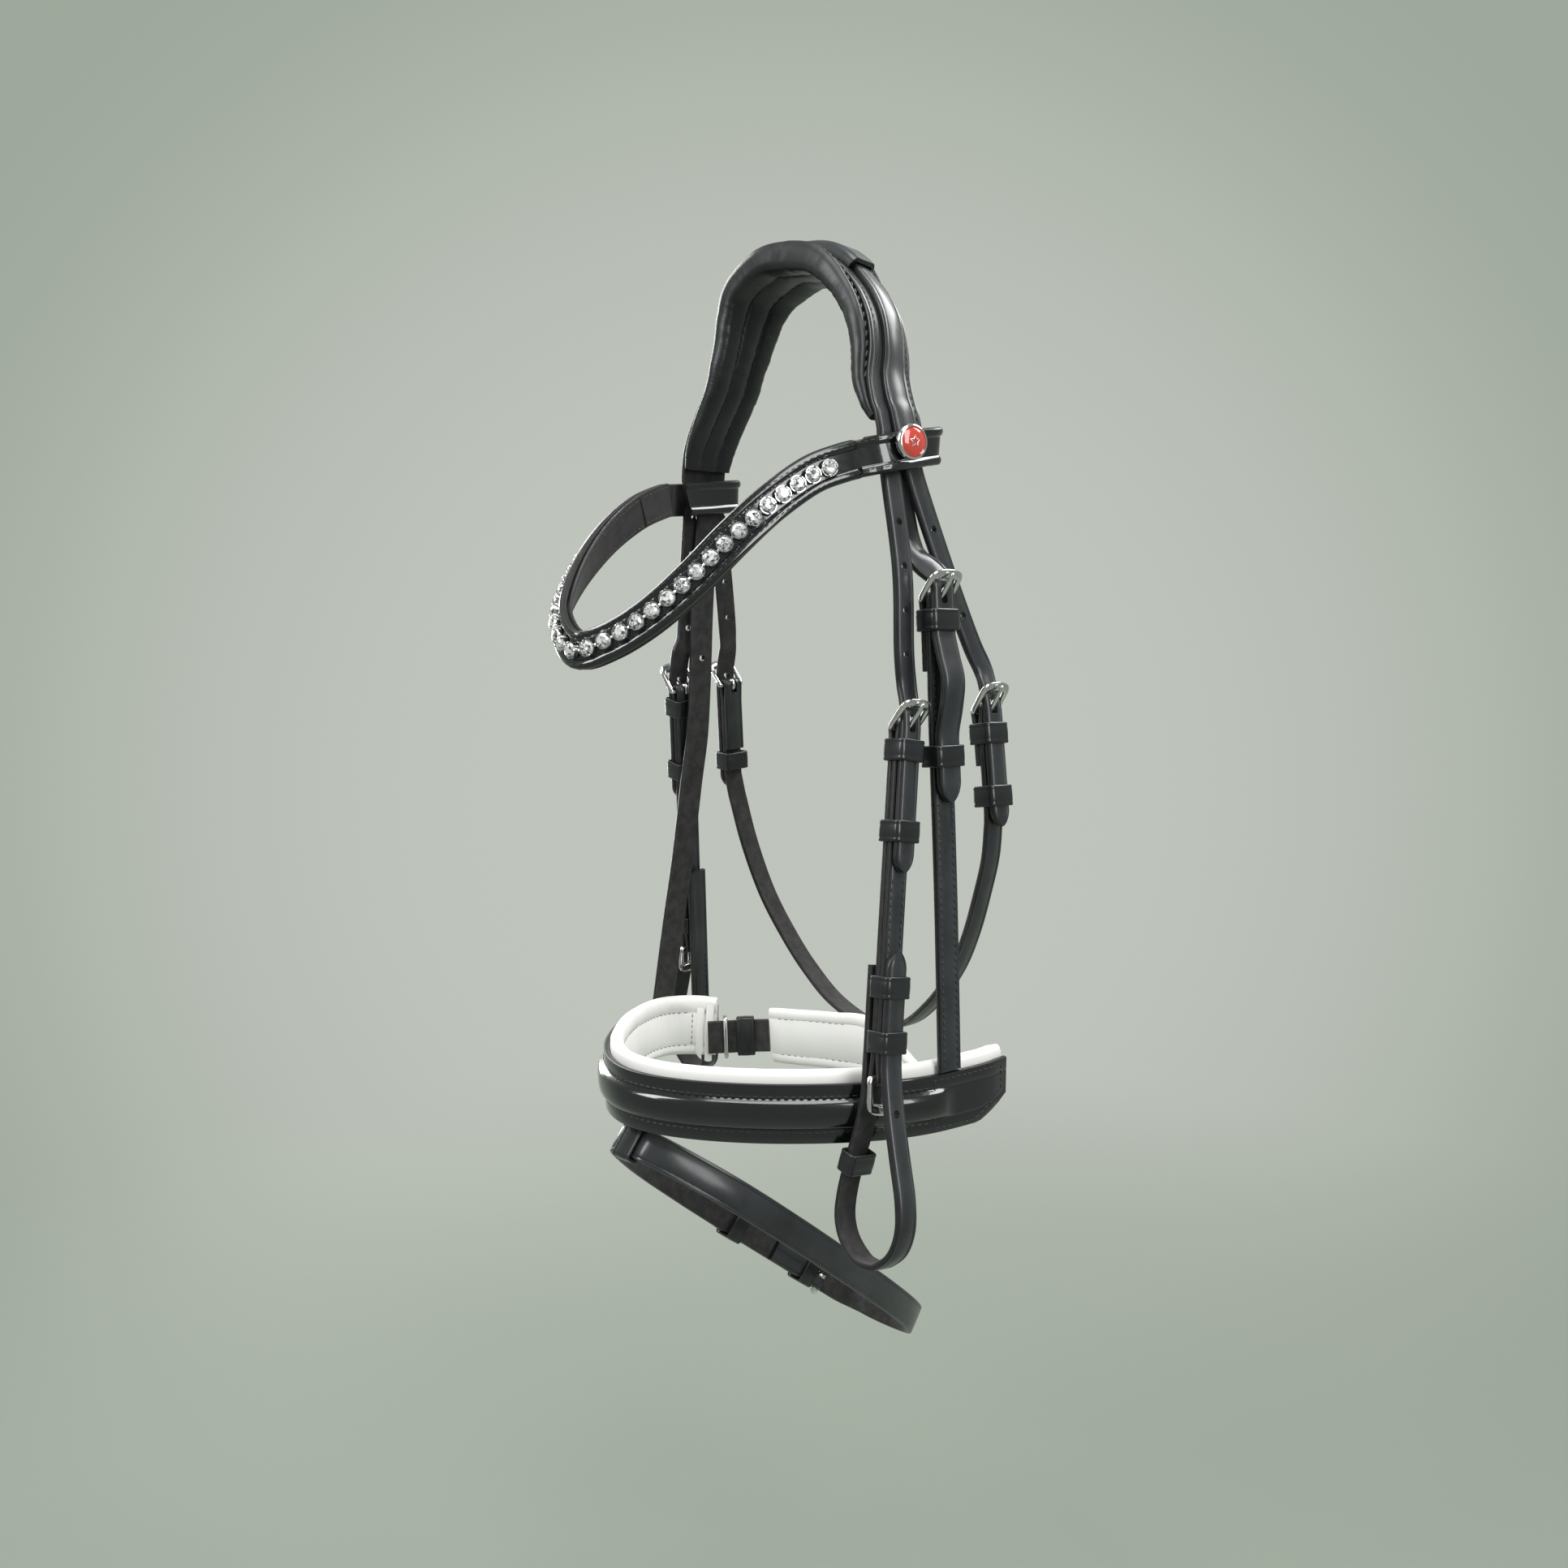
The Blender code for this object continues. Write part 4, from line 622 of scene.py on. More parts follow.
NAPPA = Finish(
    "pad_nappa", (0.0095, 0.0105, 0.0125), 0.44, 0.1, coat=0.1, coat_roughness=0.3, shade=0.35,
    reliefs=(
        Relief(1300.0, 0.000016, True), Relief(330.0, 0.00022, on_map=True, stretch=(1.0, 0.007, 1.0)),
        Relief(120.0, 0.0001),
    ),
)  # fmt: skip
MATTE = Finish(
    "matte_lining", (0.019, 0.0185, 0.0185), 0.72, 0.08, sheen=0.12, shade_scale=160.0,
    reliefs=(Relief(1100.0, 0.00003, True), Relief(300.0, 0.00004)),
)  # fmt: skip
WHITE = Finish(
    "white_lining", (0.8, 0.81, 0.82), 0.5, 0.08, sheen=0.1, shade=0.035, shade_scale=45.0,
    reliefs=(
        Relief(1300.0, 0.00002, True), Relief(180.0, 0.00011),
        Relief(200.0, 0.00005, on_map=True, stretch=(1.0, 0.006, 1.0)),
    ),
)  # fmt: skip
NICKEL = Finish(
    "bright_nickel", (0.76, 0.755, 0.735), 0.13, 0.06, metallic=1.0, shade=0.06, shade_scale=300.0,
    reliefs=(Relief(700.0, 0.000006),),
)  # fmt: skip
THREAD = Finish(
    "black_thread", (0.03, 0.031, 0.033), 0.45, 0.1, shade=0.4, shade_scale=900.0,
    reliefs=(Relief(3500.0, 0.00006),),
)  # fmt: skip
DARK_THREAD = replace(THREAD, name="dark_thread", colour=(0.05, 0.048, 0.05), roughness=0.7)
ENAMEL = Finish(
    "red_enamel", (0.62, 0.06, 0.04), 0.14, 0.05, coat=1.0, coat_roughness=0.04, shade=0.12,
    shade_scale=500.0,
    reliefs=(Relief(600.0, 0.00001),),
)  # fmt: skip
# Painted reflections: each facet of a stone is coloured bright, pale, grey or deep in place of the light and
# dark that a cut stone throws back
PAINTED_CRYSTAL_GLINTS = [
    Finish(
        f"crystal_{name}", (tone, tone * 1.01, tone * 1.03), 0.08, 0.03, metallic=0.3, coat=1.0,
        coat_roughness=0.02, shade=0.1,
    )
    for name, tone in (("bright", 0.9), ("pale", 0.62), ("grey", 0.36), ("deep", 0.12))
]  # fmt: skip


def keep(piece: bpy.types.Object, body: str, slot: str, *nodes: str) -> bpy.types.Object:
    """Let a piece ride on a body in place of these nodes."""
    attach(piece, body)
    if nodes:
        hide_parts(*nodes)
    LOG.info("%s rides on %s", piece.name, body)
    return piece


def rod(name: str, start: Vector, end: Vector, radius: float, sides: int = 20) -> bpy.types.Object:
    """Return a round cutter between two points."""
    along = (end - start).normalized()
    side = along.orthogonal().normalized()
    stations = [Station(point, side, along.cross(side)) for point in (start, end)]
    return Shell().sweep(stations, [oval(radius, radius, sides)], [Face.EDGE]).built(name, [LEATHER, EDGE])


def slot_cutter(name: str, place: Place, first: float, last: float, depth: float) -> bpy.types.Object:
    """Return a round-ended cutter for a buckle's tongue, from one s to another."""
    half, stations, rings = STOCK.slot_half, [], []
    for share, wide in ((0.0, 0.35), (0.04, 0.75), (0.12, 1.0), (0.88, 1.0), (0.96, 0.75), (1.0, 0.35)):
        stations.append(place.station(first + (last - first) * share, 0.0))
        corners = ((1, -1), (1, 1), (-1, 1), (-1, -1))
        rings.append([(half * wide * v, depth * n) for v, n in corners])
    return Shell().sweep(stations, rings, [Face.EDGE]).built(name, [LEATHER, EDGE])


def carve(target: bpy.types.Object, cutters: list[bpy.types.Object]) -> None:
    """Take the cutters out of the target for good, and remove them."""
    if not cutters:
        return
    for cutter in cutters:
        modifier = target.modifiers.new(cutter.name, "BOOLEAN")
        modifier.operation, modifier.solver, modifier.object = "DIFFERENCE", "EXACT", cutter
    bpy.context.view_layer.update()
    evaluated = target.evaluated_get(bpy.context.evaluated_depsgraph_get())
    mesh = bpy.data.meshes.new_from_object(evaluated)
    target.modifiers.clear()
    target.data = mesh
    mesh.set_sharp_from_angle(angle=math.radians(SHARP))
    for cutter in cutters:
        bpy.data.objects.remove(cutter)


def joined(target: bpy.types.Object, extra: bpy.types.Object) -> bpy.types.Object:
    """Add another object's faces to the target, in slots of the same order, and remove the other."""
    both = bmesh.new()
    both.from_mesh(target.data)
    both.from_mesh(extra.data)
    both.to_mesh(target.data)
    both.free()
    bpy.data.objects.remove(extra)
    return target


@dataclass(frozen=True)
class Stitching:
    """Sewing thread: how long its stitches are and how far they stand out."""

    pitch: float = 0.0030
    length: float = 0.0021
    radius: float = 0.00027
    slant: float = 0.1

    def row(
        self, shell: Shell, stations: list[Station], v: float, n: float,
        first: float = 0.0, last: float = math.inf,
    ) -> None:  # fmt: skip
        """Sew a row along a path.

        Args:
            shell: Where the thread's faces go.
            stations: The path.
            v: How far across the row lies.
            n: How far out its middle lies.
            first: Where it starts along the path.
            last: Where it ends.
        """
        gone = path_lengths(stations)
        last = min(last, gone[-1])
        for number in range(int((last - first) / self.pitch)):
            middle = first + self.pitch * (number + 0.5)
            ends = [station_at(stations, gone, middle + self.length * share / 2) for share in (-1.0, 1.0)]
            shift = math.copysign(self.slant * self.length / 2, v)
            start = ends[0].centre + ends[0].across * (v - shift) + ends[0].out * n
            end = ends[1].centre + ends[1].across * (v + shift) + ends[1].out * n
            self.stitch(shell, start, end, ends[0].out)

    def stitch(self, shell: Shell, start: Vector, end: Vector, out: Vector) -> None:
        """Sew one stitch, which dips into the leather at both ends."""
        along = end - start
        side = along.cross(out).normalized()
        shares = ((0.0, 0.35, -0.7), (0.2, 0.9, 0.0), (0.8, 0.9, 0.0), (1.0, 0.35, -0.7))
        stations = [
            Station(start + along * share + out * (self.radius * dip), side, out) for share, _, dip in shares
        ]
        rings = [oval(self.radius * wide, self.radius * wide, 6) for _, wide, _ in shares]
        shell.sweep(stations, rings, [Face.THREAD])


@dataclass
class Strap:
    """A leather strap along its stations, with its holes, slots and stitches."""

    name: str
    stations: list[Station]
    rings: list[Ring]
    closed: bool = False
    cutters: list[bpy.types.Object] = field(default_factory=list)
    threads: Shell = field(default_factory=Shell)

    def punch(self, heights: list[float], reach: float = STOCK.leather) -> None:
        """Punch round holes where the strap passes these heights."""
        for number, height in enumerate(heights):
            for a, b in zip(self.stations, self.stations[1:]):
                low, high = sorted((a.centre.z, b.centre.z))
                if low <= height < high:
                    middle = a.centre.lerp(b.centre, (height - a.centre.z) / (b.centre.z - a.centre.z))
                    ends = (middle - a.out * reach, middle + a.out * reach)
                    self.cutters.append(rod(f"{self.name}_hole_{number}", *ends, STOCK.hole_radius))
                    break

    def slot(self, place: Place, first: float, last: float, depth: float) -> None:
        """Cut a slot for a tongue."""
        self.cutters.append(slot_cutter(f"{self.name}_slot_{len(self.cutters)}", place, first, last, depth))

    def sew(
        self, v: float, n: float, first: float = 0.0, last: float = math.inf,
        stitching: Stitching = Stitching(),
    ) -> None:  # fmt: skip
        """Sew a row on the strap."""
        stitching.row(self.threads, self.stations, v, n, first, last)

    def built(
        self, finishes: list[Finish] | None = None, kinds: list[Face] | None = None
    ) -> bpy.types.Object:
        """Return the strap's object."""
        finishes = finishes or [LEATHER, EDGE, FLESH, THREAD]
        shell = Shell().sweep(self.stations, self.rings, kinds or STRAP_KINDS, self.closed)
        made = shell.built(self.name, finishes)
        carve(made, self.cutters)
        if self.threads.faces:
            joined(made, self.threads.built(f"{self.name}_thread", finishes))
        return made


# How far a strap is wrapped round its bar, each way from where its fold bulges, in degrees
FOLD_TURN = 95.0


def fold(
    place: Place, width: float, upward: bool, first: float, last: float, steps: int = 14
) -> tuple[list[Station], list[Ring]]:
    """Return a fold round the bar at the place's origin.

    Args:
        place: The bar's place.
        width: The strap's width.
        upward: Whether the fold bulges up the strap.
        first: The angle where it starts, in degrees from where it bulges.
        last: The angle where it ends.
        steps: How many spans it gets.

    Returns:
        Its stations and its sections.
    """
    sign = -1.0 if upward else 1.0
    stations = []
    for step in range(steps + 1):
        turn = math.radians(first + (last - first) * step / steps)
        radial = place.down * (sign * math.cos(turn)) + place.out * math.sin(turn)
        stations.append(Station(place.origin + radial * STOCK.fold_middle, place.across, radial))
    return stations, [strap_ring(width, STOCK.fold_leather)] * (steps + 1)


def tip(place: Place, width: float, at: float, n: float, upward: bool) -> tuple[list[Station], list[Ring]]:
    """Return a strap's pointed tip that starts at s = at, its creases running to the point."""
    sign = -1.0 if upward else 1.0
    shares = (
        (0.0, 1.0), (0.12, 0.985), (0.26, 0.945), (0.4, 0.88), (0.54, 0.785), (0.67, 0.665), (0.79, 0.52),
        (0.89, 0.36), (0.96, 0.22), (1.0, 0.09),
    )  # fmt: skip
    stations = [place.station(at + sign * length * width * 0.7, n) for length, _ in shares]
    return stations, [narrowed(strap_ring(width, STOCK.leather), share) for _, share in shares]


def belt(place: Place, length: float, width: float) -> tuple[list[Station], list[Ring]]:
    """Return a strap folded round the bar at its place and round another one further down."""
    flat = strap_ring(width, STOCK.leather)
    runs = [STOCK.taper + (length - 2 * STOCK.taper) * step / 24 for step in range(25)]
    lower, lower_rings = fold(place.moved(s=length), width, False, FOLD_TURN, -FOLD_TURN)
    upper, upper_rings = fold(place, width, True, -FOLD_TURN, FOLD_TURN)
    front = [place.station(s, STOCK.layer) for s in runs]
    back = [place.station(s, -STOCK.layer, True) for s in reversed(runs)]
    rings = [flat] * 25 + lower_rings + [flat] * 25 + upper_rings
    return front + lower + back + upper, rings


def fold_end(place: Place, tail: float, width: float, straight: float) -> tuple[list[Station], list[Ring]]:
    """Return a strap's end: its tail behind, its fold round the bar, and its front's straight part."""
    flat = strap_ring(width, STOCK.leather)
    behind = [place.station(s, -STOCK.layer, True) for s in (tail, (tail + STOCK.taper) / 2, STOCK.taper)]
    middle, rings = fold(place, width, True, -FOLD_TURN, FOLD_TURN)
    ahead = [place.station(s, STOCK.layer) for s in (STOCK.taper, (straight + STOCK.taper) / 2, straight)]
    return behind + middle + ahead, [flat] * 3 + rings + [flat] * 3


def through_buckle(
    points: list[Vector], hints: list[Vector], place: Place, steps: int, led: bool = False
) -> list[Station]:
    """Return the stations of a strap from its points, which may lead in closely, down to a buckle's bar."""
    lift = STOCK.fold_half / 3
    near = [place.at(-STOCK.taper * 2.2, 0.0, lift), place.at(-STOCK.taper, 0.0, STOCK.billet_middle - lift)]
    near = [*(near[1:] if led else near), place.at(n=STOCK.billet_middle)]
    return smooth_stations([*points, *near], [*hints, *[place.out] * len(near)], steps)


@dataclass(frozen=True)
class Billet:
    """A holed strap that comes down through a buckle, with its tip under the keepers."""

    name: str
    width: float
    tip_at: float
    holes: tuple[float, ...]
    bow: float = 0.0
    cap: bool = True

    def strap(self, above: list[Station], place: Place) -> Strap:
        """Return the strap from its path above the buckle."""
        shares = ((0.2, 0.0), (0.32, 0.5), (0.45, 1.0), (0.6, 0.6), (0.74, 0.0), (0.85, 0.0))
        knots = [
            place.at(self.tip_at * share, 0.0, STOCK.billet_middle + self.bow * rise)
            for share, rise in shares
        ]
        path = stations_on(smooth_path(knots, 5), [place.out] * 26)
        stations = aligned([*reversed(above)], place.across)[::-1] + aligned(path, place.across)
        flat = strap_ring(self.width, STOCK.leather)
        end, end_rings = tip(place, self.width, self.tip_at, STOCK.billet_middle, False)
        top, top_rings = self.rounded_top(stations) if self.cap else ([], [])
        made = Strap(self.name, top + stations + end, top_rings + [flat] * len(stations) + end_rings)
        made.slot(place.moved(n=STOCK.billet_middle), -STOCK.slot_above, STOCK.slot_below, STOCK.leather)
        made.punch(list(self.holes))
        return made

    def rounded_top(self, stations: list[Station]) -> tuple[list[Station], list[Ring]]:
        """Return the half-round end before the first station."""
        first = stations[0]
        back = (first.centre - stations[1].centre).normalized() * (self.width / 2)
        shares = [(math.cos(turn), math.sin(turn)) for turn in (0.25, 0.6, 0.95, 1.25)]
        cap = [replace(first, centre=first.centre + back * length) for length, _ in shares]
        return cap, [narrowed(strap_ring(self.width, STOCK.leather), wide) for _, wide in shares]


@dataclass(frozen=True)
class Buckle:
    """A buckle with its tongue, in the frame that runs from its hinge bar to its wide end bar."""

    width: float
    length: float = 0.0115
    arm_radius: float = 0.0012
    end_half: float = 0.0021
    tilt: float = 40.0
    outline: tuple[tuple[float, float, float, float], ...] = (
        (0.0, -0.82, 0.92, 1.0), (0.0, 0.0, 0.92, 1.0), (0.0, 0.82, 0.92, 1.0), (0.09, 0.98, 1.0, 1.05),
        (0.3, 1.0, 1.0, 1.0), (0.72, 1.0, 1.1, 0.95), (0.93, 0.93, 1.4, 0.9), (1.03, 0.68, 1.7, 0.82),
        (1.08, 0.0, 1.8, 0.8), (1.03, -0.68, 1.7, 0.82), (0.93, -0.93, 1.4, 0.9), (0.72, -1.0, 1.1, 0.95),
        (0.3, -1.0, 1.0, 1.0), (0.09, -0.98, 1.0, 1.05),
    )  # fmt: skip

    def place(self, bar: Place, upward: bool) -> Place:
        """Return the frame that the buckle lies in at a strap's bar."""
        return (bar.flipped() if upward else bar).turned(self.tilt)

    def frame(self, name: str, place: Place) -> bpy.types.Object:
        """Return the buckle's frame, each row of its outline holding shares of length, width and stock."""
        half = self.width / 2 + 0.0005 + self.arm_radius
        path = [place.at(length * self.length, across * half) for length, across, _, _ in self.outline]
        path = smooth_path(path, 4, closed=True)
        sizes = smooth_path([Vector((wide, high, 0.0)) for _, _, wide, high in self.outline], 4, closed=True)
        rings = [oval(self.arm_radius * size.x, STOCK.bar_radius * size.y * 1.04, 16) for size in sizes]
        shell = Shell().sweep(stations_on(path, [place.out] * len(path), True), rings, [Face.GRAIN], True)
        return shell.built(name, [NICKEL], 80.0)

    def tongue(self, name: str, place: Place) -> bpy.types.Object:
        """Return the tongue, curled round the hinge bar and lying on the end bar."""
        path, hints = [], []
        for step in range(17):
            turn = math.radians(-50.0 - 220.0 * step / 16)
            radial = place.down * math.cos(turn) + place.out * math.sin(turn)
            path.append(place.origin + radial * STOCK.curl)
            hints.append(radial)
        reach = self.length * 1.06 + self.end_half
        sizes = [1.0] * 17
        for share, size in ((0.3, 1.0), (0.5, 0.98), (0.7, 0.94), (0.85, 0.86), (0.95, 0.74), (1.0, 0.45)):
            path.append(place.at(reach * share, 0.0, STOCK.curl))
            hints.append(place.out)
            sizes.append(size)
        rings = [oval(STOCK.tongue_radius * size * 1.05, STOCK.tongue_radius * size * 0.95) for size in sizes]
        return Shell().sweep(stations_on(path, hints), rings, [Face.GRAIN]).built(name, [NICKEL], 80.0)

    def built(self, label: str, bar: Place, upward: bool, body: str, tongue_body: str) -> None:
        """Build the buckle at a bar, in place of the nodes label_buckle and label_tongue.

        Args:
            label: The strap's name and side, with {} where buckle or tongue goes.
            bar: The bar's place.
            upward: Whether the buckle points up the strap.
            body: What the frame rides on.
            tongue_body: What the tongue rides on.
        """
        place = self.place(bar, upward)
        frame_name, tongue_name = label.format("buckle"), label.format("tongue")
        keep(self.frame(f"{frame_name}_metal", place), body, "nickel", frame_name)
        keep(self.tongue(f"{tongue_name}_metal", place), tongue_body, "nickel", tongue_name)


@dataclass(frozen=True)
class Keeper:
    """A leather loop round a strap of this width, its faces at these distances in and out of its place."""

    width: float
    inside: float
    outside: float
    wall: float = STOCK.keeper_wall
    length: float = STOCK.keeper_width
    side_gap: float = 0.0004
    corner: float = 0.0013

    def path(self, place: Place) -> list[Station]:
        """Return the loop's closed path, with rounded corners."""
        half = self.width / 2 + self.side_gap + self.wall / 2
        low, high, corner = -self.inside - self.wall / 2, self.outside + self.wall / 2, self.corner
        found = []
        for v, n, first in ((half, high, 0.0), (-half, high, 90.0), (-half, low, 180.0), (half, low, 270.0)):
            middle_v, middle_n = v - math.copysign(corner, v), n + (corner if first >= 180.0 else -corner)
            for step in range(5):
                turn = math.radians(first + 22.5 * step)
                across, out = math.cos(turn), math.sin(turn)
                point = place.at(0.0, middle_v + across * corner, middle_n + out * corner)
                found.append((point, place.across * across + place.out * out))
        return stations_on([point for point, _ in found], [hint for _, hint in found], closed=True)

    def built(self, node: str, place: Place, body: str, slot: str = "patent") -> bpy.types.Object:
        """Build the loop in place of its node."""
        ring = strap_ring(self.length, self.wall, 0.00012)
        made = Strap(f"{node}_loop", self.path(place), [ring], closed=True).built([KEEPER, EDGE, MATTE])
        return keep(made, body, slot, node)


def over_billet() -> float:
    """Return how far out a keeper's inner face lies over a billet."""
    return STOCK.billet_middle + STOCK.leather / 2 + STOCK.gap


def strap_keeper(width: float) -> Keeper:
    """Return a keeper for two stacked straps with a billet on top."""
    return Keeper(width, STOCK.body_half + STOCK.gap, over_billet())


@dataclass(frozen=True)
class Cheekpiece:
    """One side's cheekpiece: its billet, its doubled strap and the strap that runs round the bit."""

    side: Side
    path: Table
    loop: tuple[tuple[float, float], ...]
    sewn_depth: float
    width: float = 0.010
    bit_bar_at: float = 0.1345
    loop_bottom: float = 0.205
    loop_half: float = 0.0165
    strand: float = 0.248
    keeper_at: float = 0.0085
    runner_at: float = 0.040
    tip_at: float = 0.049
    bit_tip_at: float = 0.093
    bit_keepers_at: tuple[float, float] = (0.100, 0.121)
    hole_pitch: float = 0.017
    first_hole: float = -0.029
    sewn_share: float = 0.815
    sewn_room: float = 0.003

    def build(self) -> None:
        """Build every piece of the cheekpiece."""
        side = self.side.label
        *top, bar, bottom = metres(self.path)
        place = Place.along(bar, bottom, self.side.outward, FORWARD)
        body = f"cheekpiece_{side}"
        self.build_billet(top, place, body)
        self.build_strap(place, body)
        low = place.moved(s=self.bit_bar_at)
        Buckle(self.width).built(f"cheek_{{}}_{side}", place, True, body, f"cheek_tongue_{side}_body")
        Buckle(self.width, tilt=4.0).built(f"bit_{{}}_{side}", low, False, body, f"bit_tongue_{side}_body")
        loop = strap_keeper(self.width)
        loop.built(f"cheek_keeper_{side}", place.moved(s=self.keeper_at), body)
        loop.built(f"cheek_runner_{side}", place.moved(s=self.runner_at), f"cheek_runner_{side}_body")
        over_strand = self.strand * self.loop_half + STOCK.leather / 2 + STOCK.gap
        for label, at in zip(("upper", "lower"), self.bit_keepers_at):
            node = f"bit_keeper_{label}_{side}"
            replace(loop, outside=over_strand).built(node, place.moved(s=at), body)
        self.build_bit_strap(place, body)

    def build_billet(self, top: list[Vector], place: Place, body: str) -> None:
        """Build the holed strap that hangs from the headpiece."""
        holes = tuple(place.origin.z - self.first_hole + self.hole_pitch * number for number in range(4))
        above = through_buckle(top, [place.out] * len(top), place, 8)
        node = f"cheek_billet_{self.side.label}"
        strap = Billet(f"{node}_strap", self.width, self.tip_at, holes).strap(above, place)
        keep(strap.built(), body, "leather", node)

    def build_strap(self, place: Place, body: str) -> None:
        """Build the doubled strap between the two buckles, sewn together along both edges."""
        node = f"cheek_strap_{self.side.label}"
        stations, rings = belt(place, self.bit_bar_at, self.width)
        strap = Strap(f"{node}_doubled", stations, rings, closed=True)
        depth = STOCK.fold_slot_depth
        strap.slot(place, -STOCK.slot_above, STOCK.fold_slot_below, depth)
        strap.slot(place.moved(s=self.bit_bar_at), -STOCK.fold_slot_below, STOCK.slot_above, depth)
        for v in both_sides(self.width, 0.0019):
            strap.sew(v, STOCK.leather / 2, 0.050, self.bit_bar_at - STOCK.taper - 0.008)
            strap.sew(v, STOCK.leather / 2, 0.001, 0.028)
        keep(strap.built(), body, "leather", node)

    def loop_stations(self, place: Place) -> list[Station]:
        """Return the path of the strap round the bit, from behind the buckle round to the tip."""
        points = [place.at(s * self.loop_bottom, 0.0, n * self.loop_half) for s, n in self.loop]
        hints = []
        for i in range(len(points)):
            before, after = points[max(i - 1, 0)], points[min(i + 1, len(points) - 1)]
            hints.append((after - before).normalized().cross(place.across))
        if hints[0].dot(place.out) > 0.0:
            hints = [-hint for hint in hints]
        return aligned(smooth_stations(points, hints, 5), place.across)

    def build_bit_strap(self, place: Place, body: str) -> None:
        """Build the strap round the bit with its sewn keeper."""
        node = f"bit_strap_{self.side.label}"
        stations = self.loop_stations(place)
        end, rings = tip(place, self.width, self.bit_tip_at, self.strand * self.loop_half, True)
        end = aligned(end, stations[-1].across)
        flat = strap_ring(self.width, STOCK.leather)
        strap = Strap(f"{node}_looped", stations + end, [flat] * len(stations) + rings)
        hole = nearest_place(stations, place.at(self.loop_bottom * 0.715, 0.0, self.loop_half / 2))
        ends = (hole.at(n=-STOCK.leather), hole.at(n=STOCK.leather))
        strap.cutters.append(rod(f"{node}_hole", *ends, STOCK.hole_radius))
        for v in both_sides(self.width, 0.0022):
            strap.sew(v, STOCK.leather / 2, 0.045, 0.073)
        keep(strap.built(), body, "leather", node)
        sewn_at = place.at(self.loop_bottom * self.sewn_share, 0.0, self.loop_half * self.sewn_depth)
        sewn = nearest_place(stations[::5], sewn_at)
        half = STOCK.leather / 2
        keeper = Keeper(self.width, half + self.sewn_room, half + STOCK.gap * 2)
        keeper.built(f"bit_keeper_sewn_{self.side.label}", sewn, body)


BIT_LOOP_END = (
    (1.0, -0.15), (1.0, 0.15), (0.993, 0.394), (0.966, 0.788), (0.922, 0.988), (0.868, 0.939), (0.805, 0.727),
    (0.732, 0.485), (0.673, 0.333), (0.624, 0.255), (0.546, 0.248), (0.488, 0.248),
)  # fmt: skip
NEAR_CHEEKPIECE = Cheekpiece(
    Side.NEAR,
    (
        (65.0, -17.7, -88.0), (71.5, -17.3, -124.0), (73.6, -18.0, -155.0), (75.0, -20.0, -186.0),
        (88.5, -42.5, -320.0),
    ),
    (
        (0.449, -0.339), (0.546, -0.339), (0.624, -0.339), (0.693, -0.358), (0.756, -0.515), (0.82, -0.758),
        (0.878, -0.939), (0.927, -0.982), (0.966, -0.788), (0.993, -0.394), *BIT_LOOP_END,
    ),
    -0.74,
)  # fmt: skip
FAR_CHEEKPIECE = Cheekpiece(
    Side.FAR,
    (
        (-64.8, -17.5, -95.5), (-69.0, -16.8, -125.0), (-71.2, -16.9, -150.0), (-73.0, -17.4, -176.0),
        (-98.0, 5.0, -310.5),
    ),
    (
        (0.449, -0.339), (0.546, -0.339), (0.624, -0.339), (0.693, -0.339), (0.756, -0.339), (0.82, -0.352),
        (0.868, -0.455), (0.917, -0.697), (0.961, -0.697), (0.993, -0.394), *BIT_LOOP_END,
    ),
    -0.35,
)  # fmt: skip


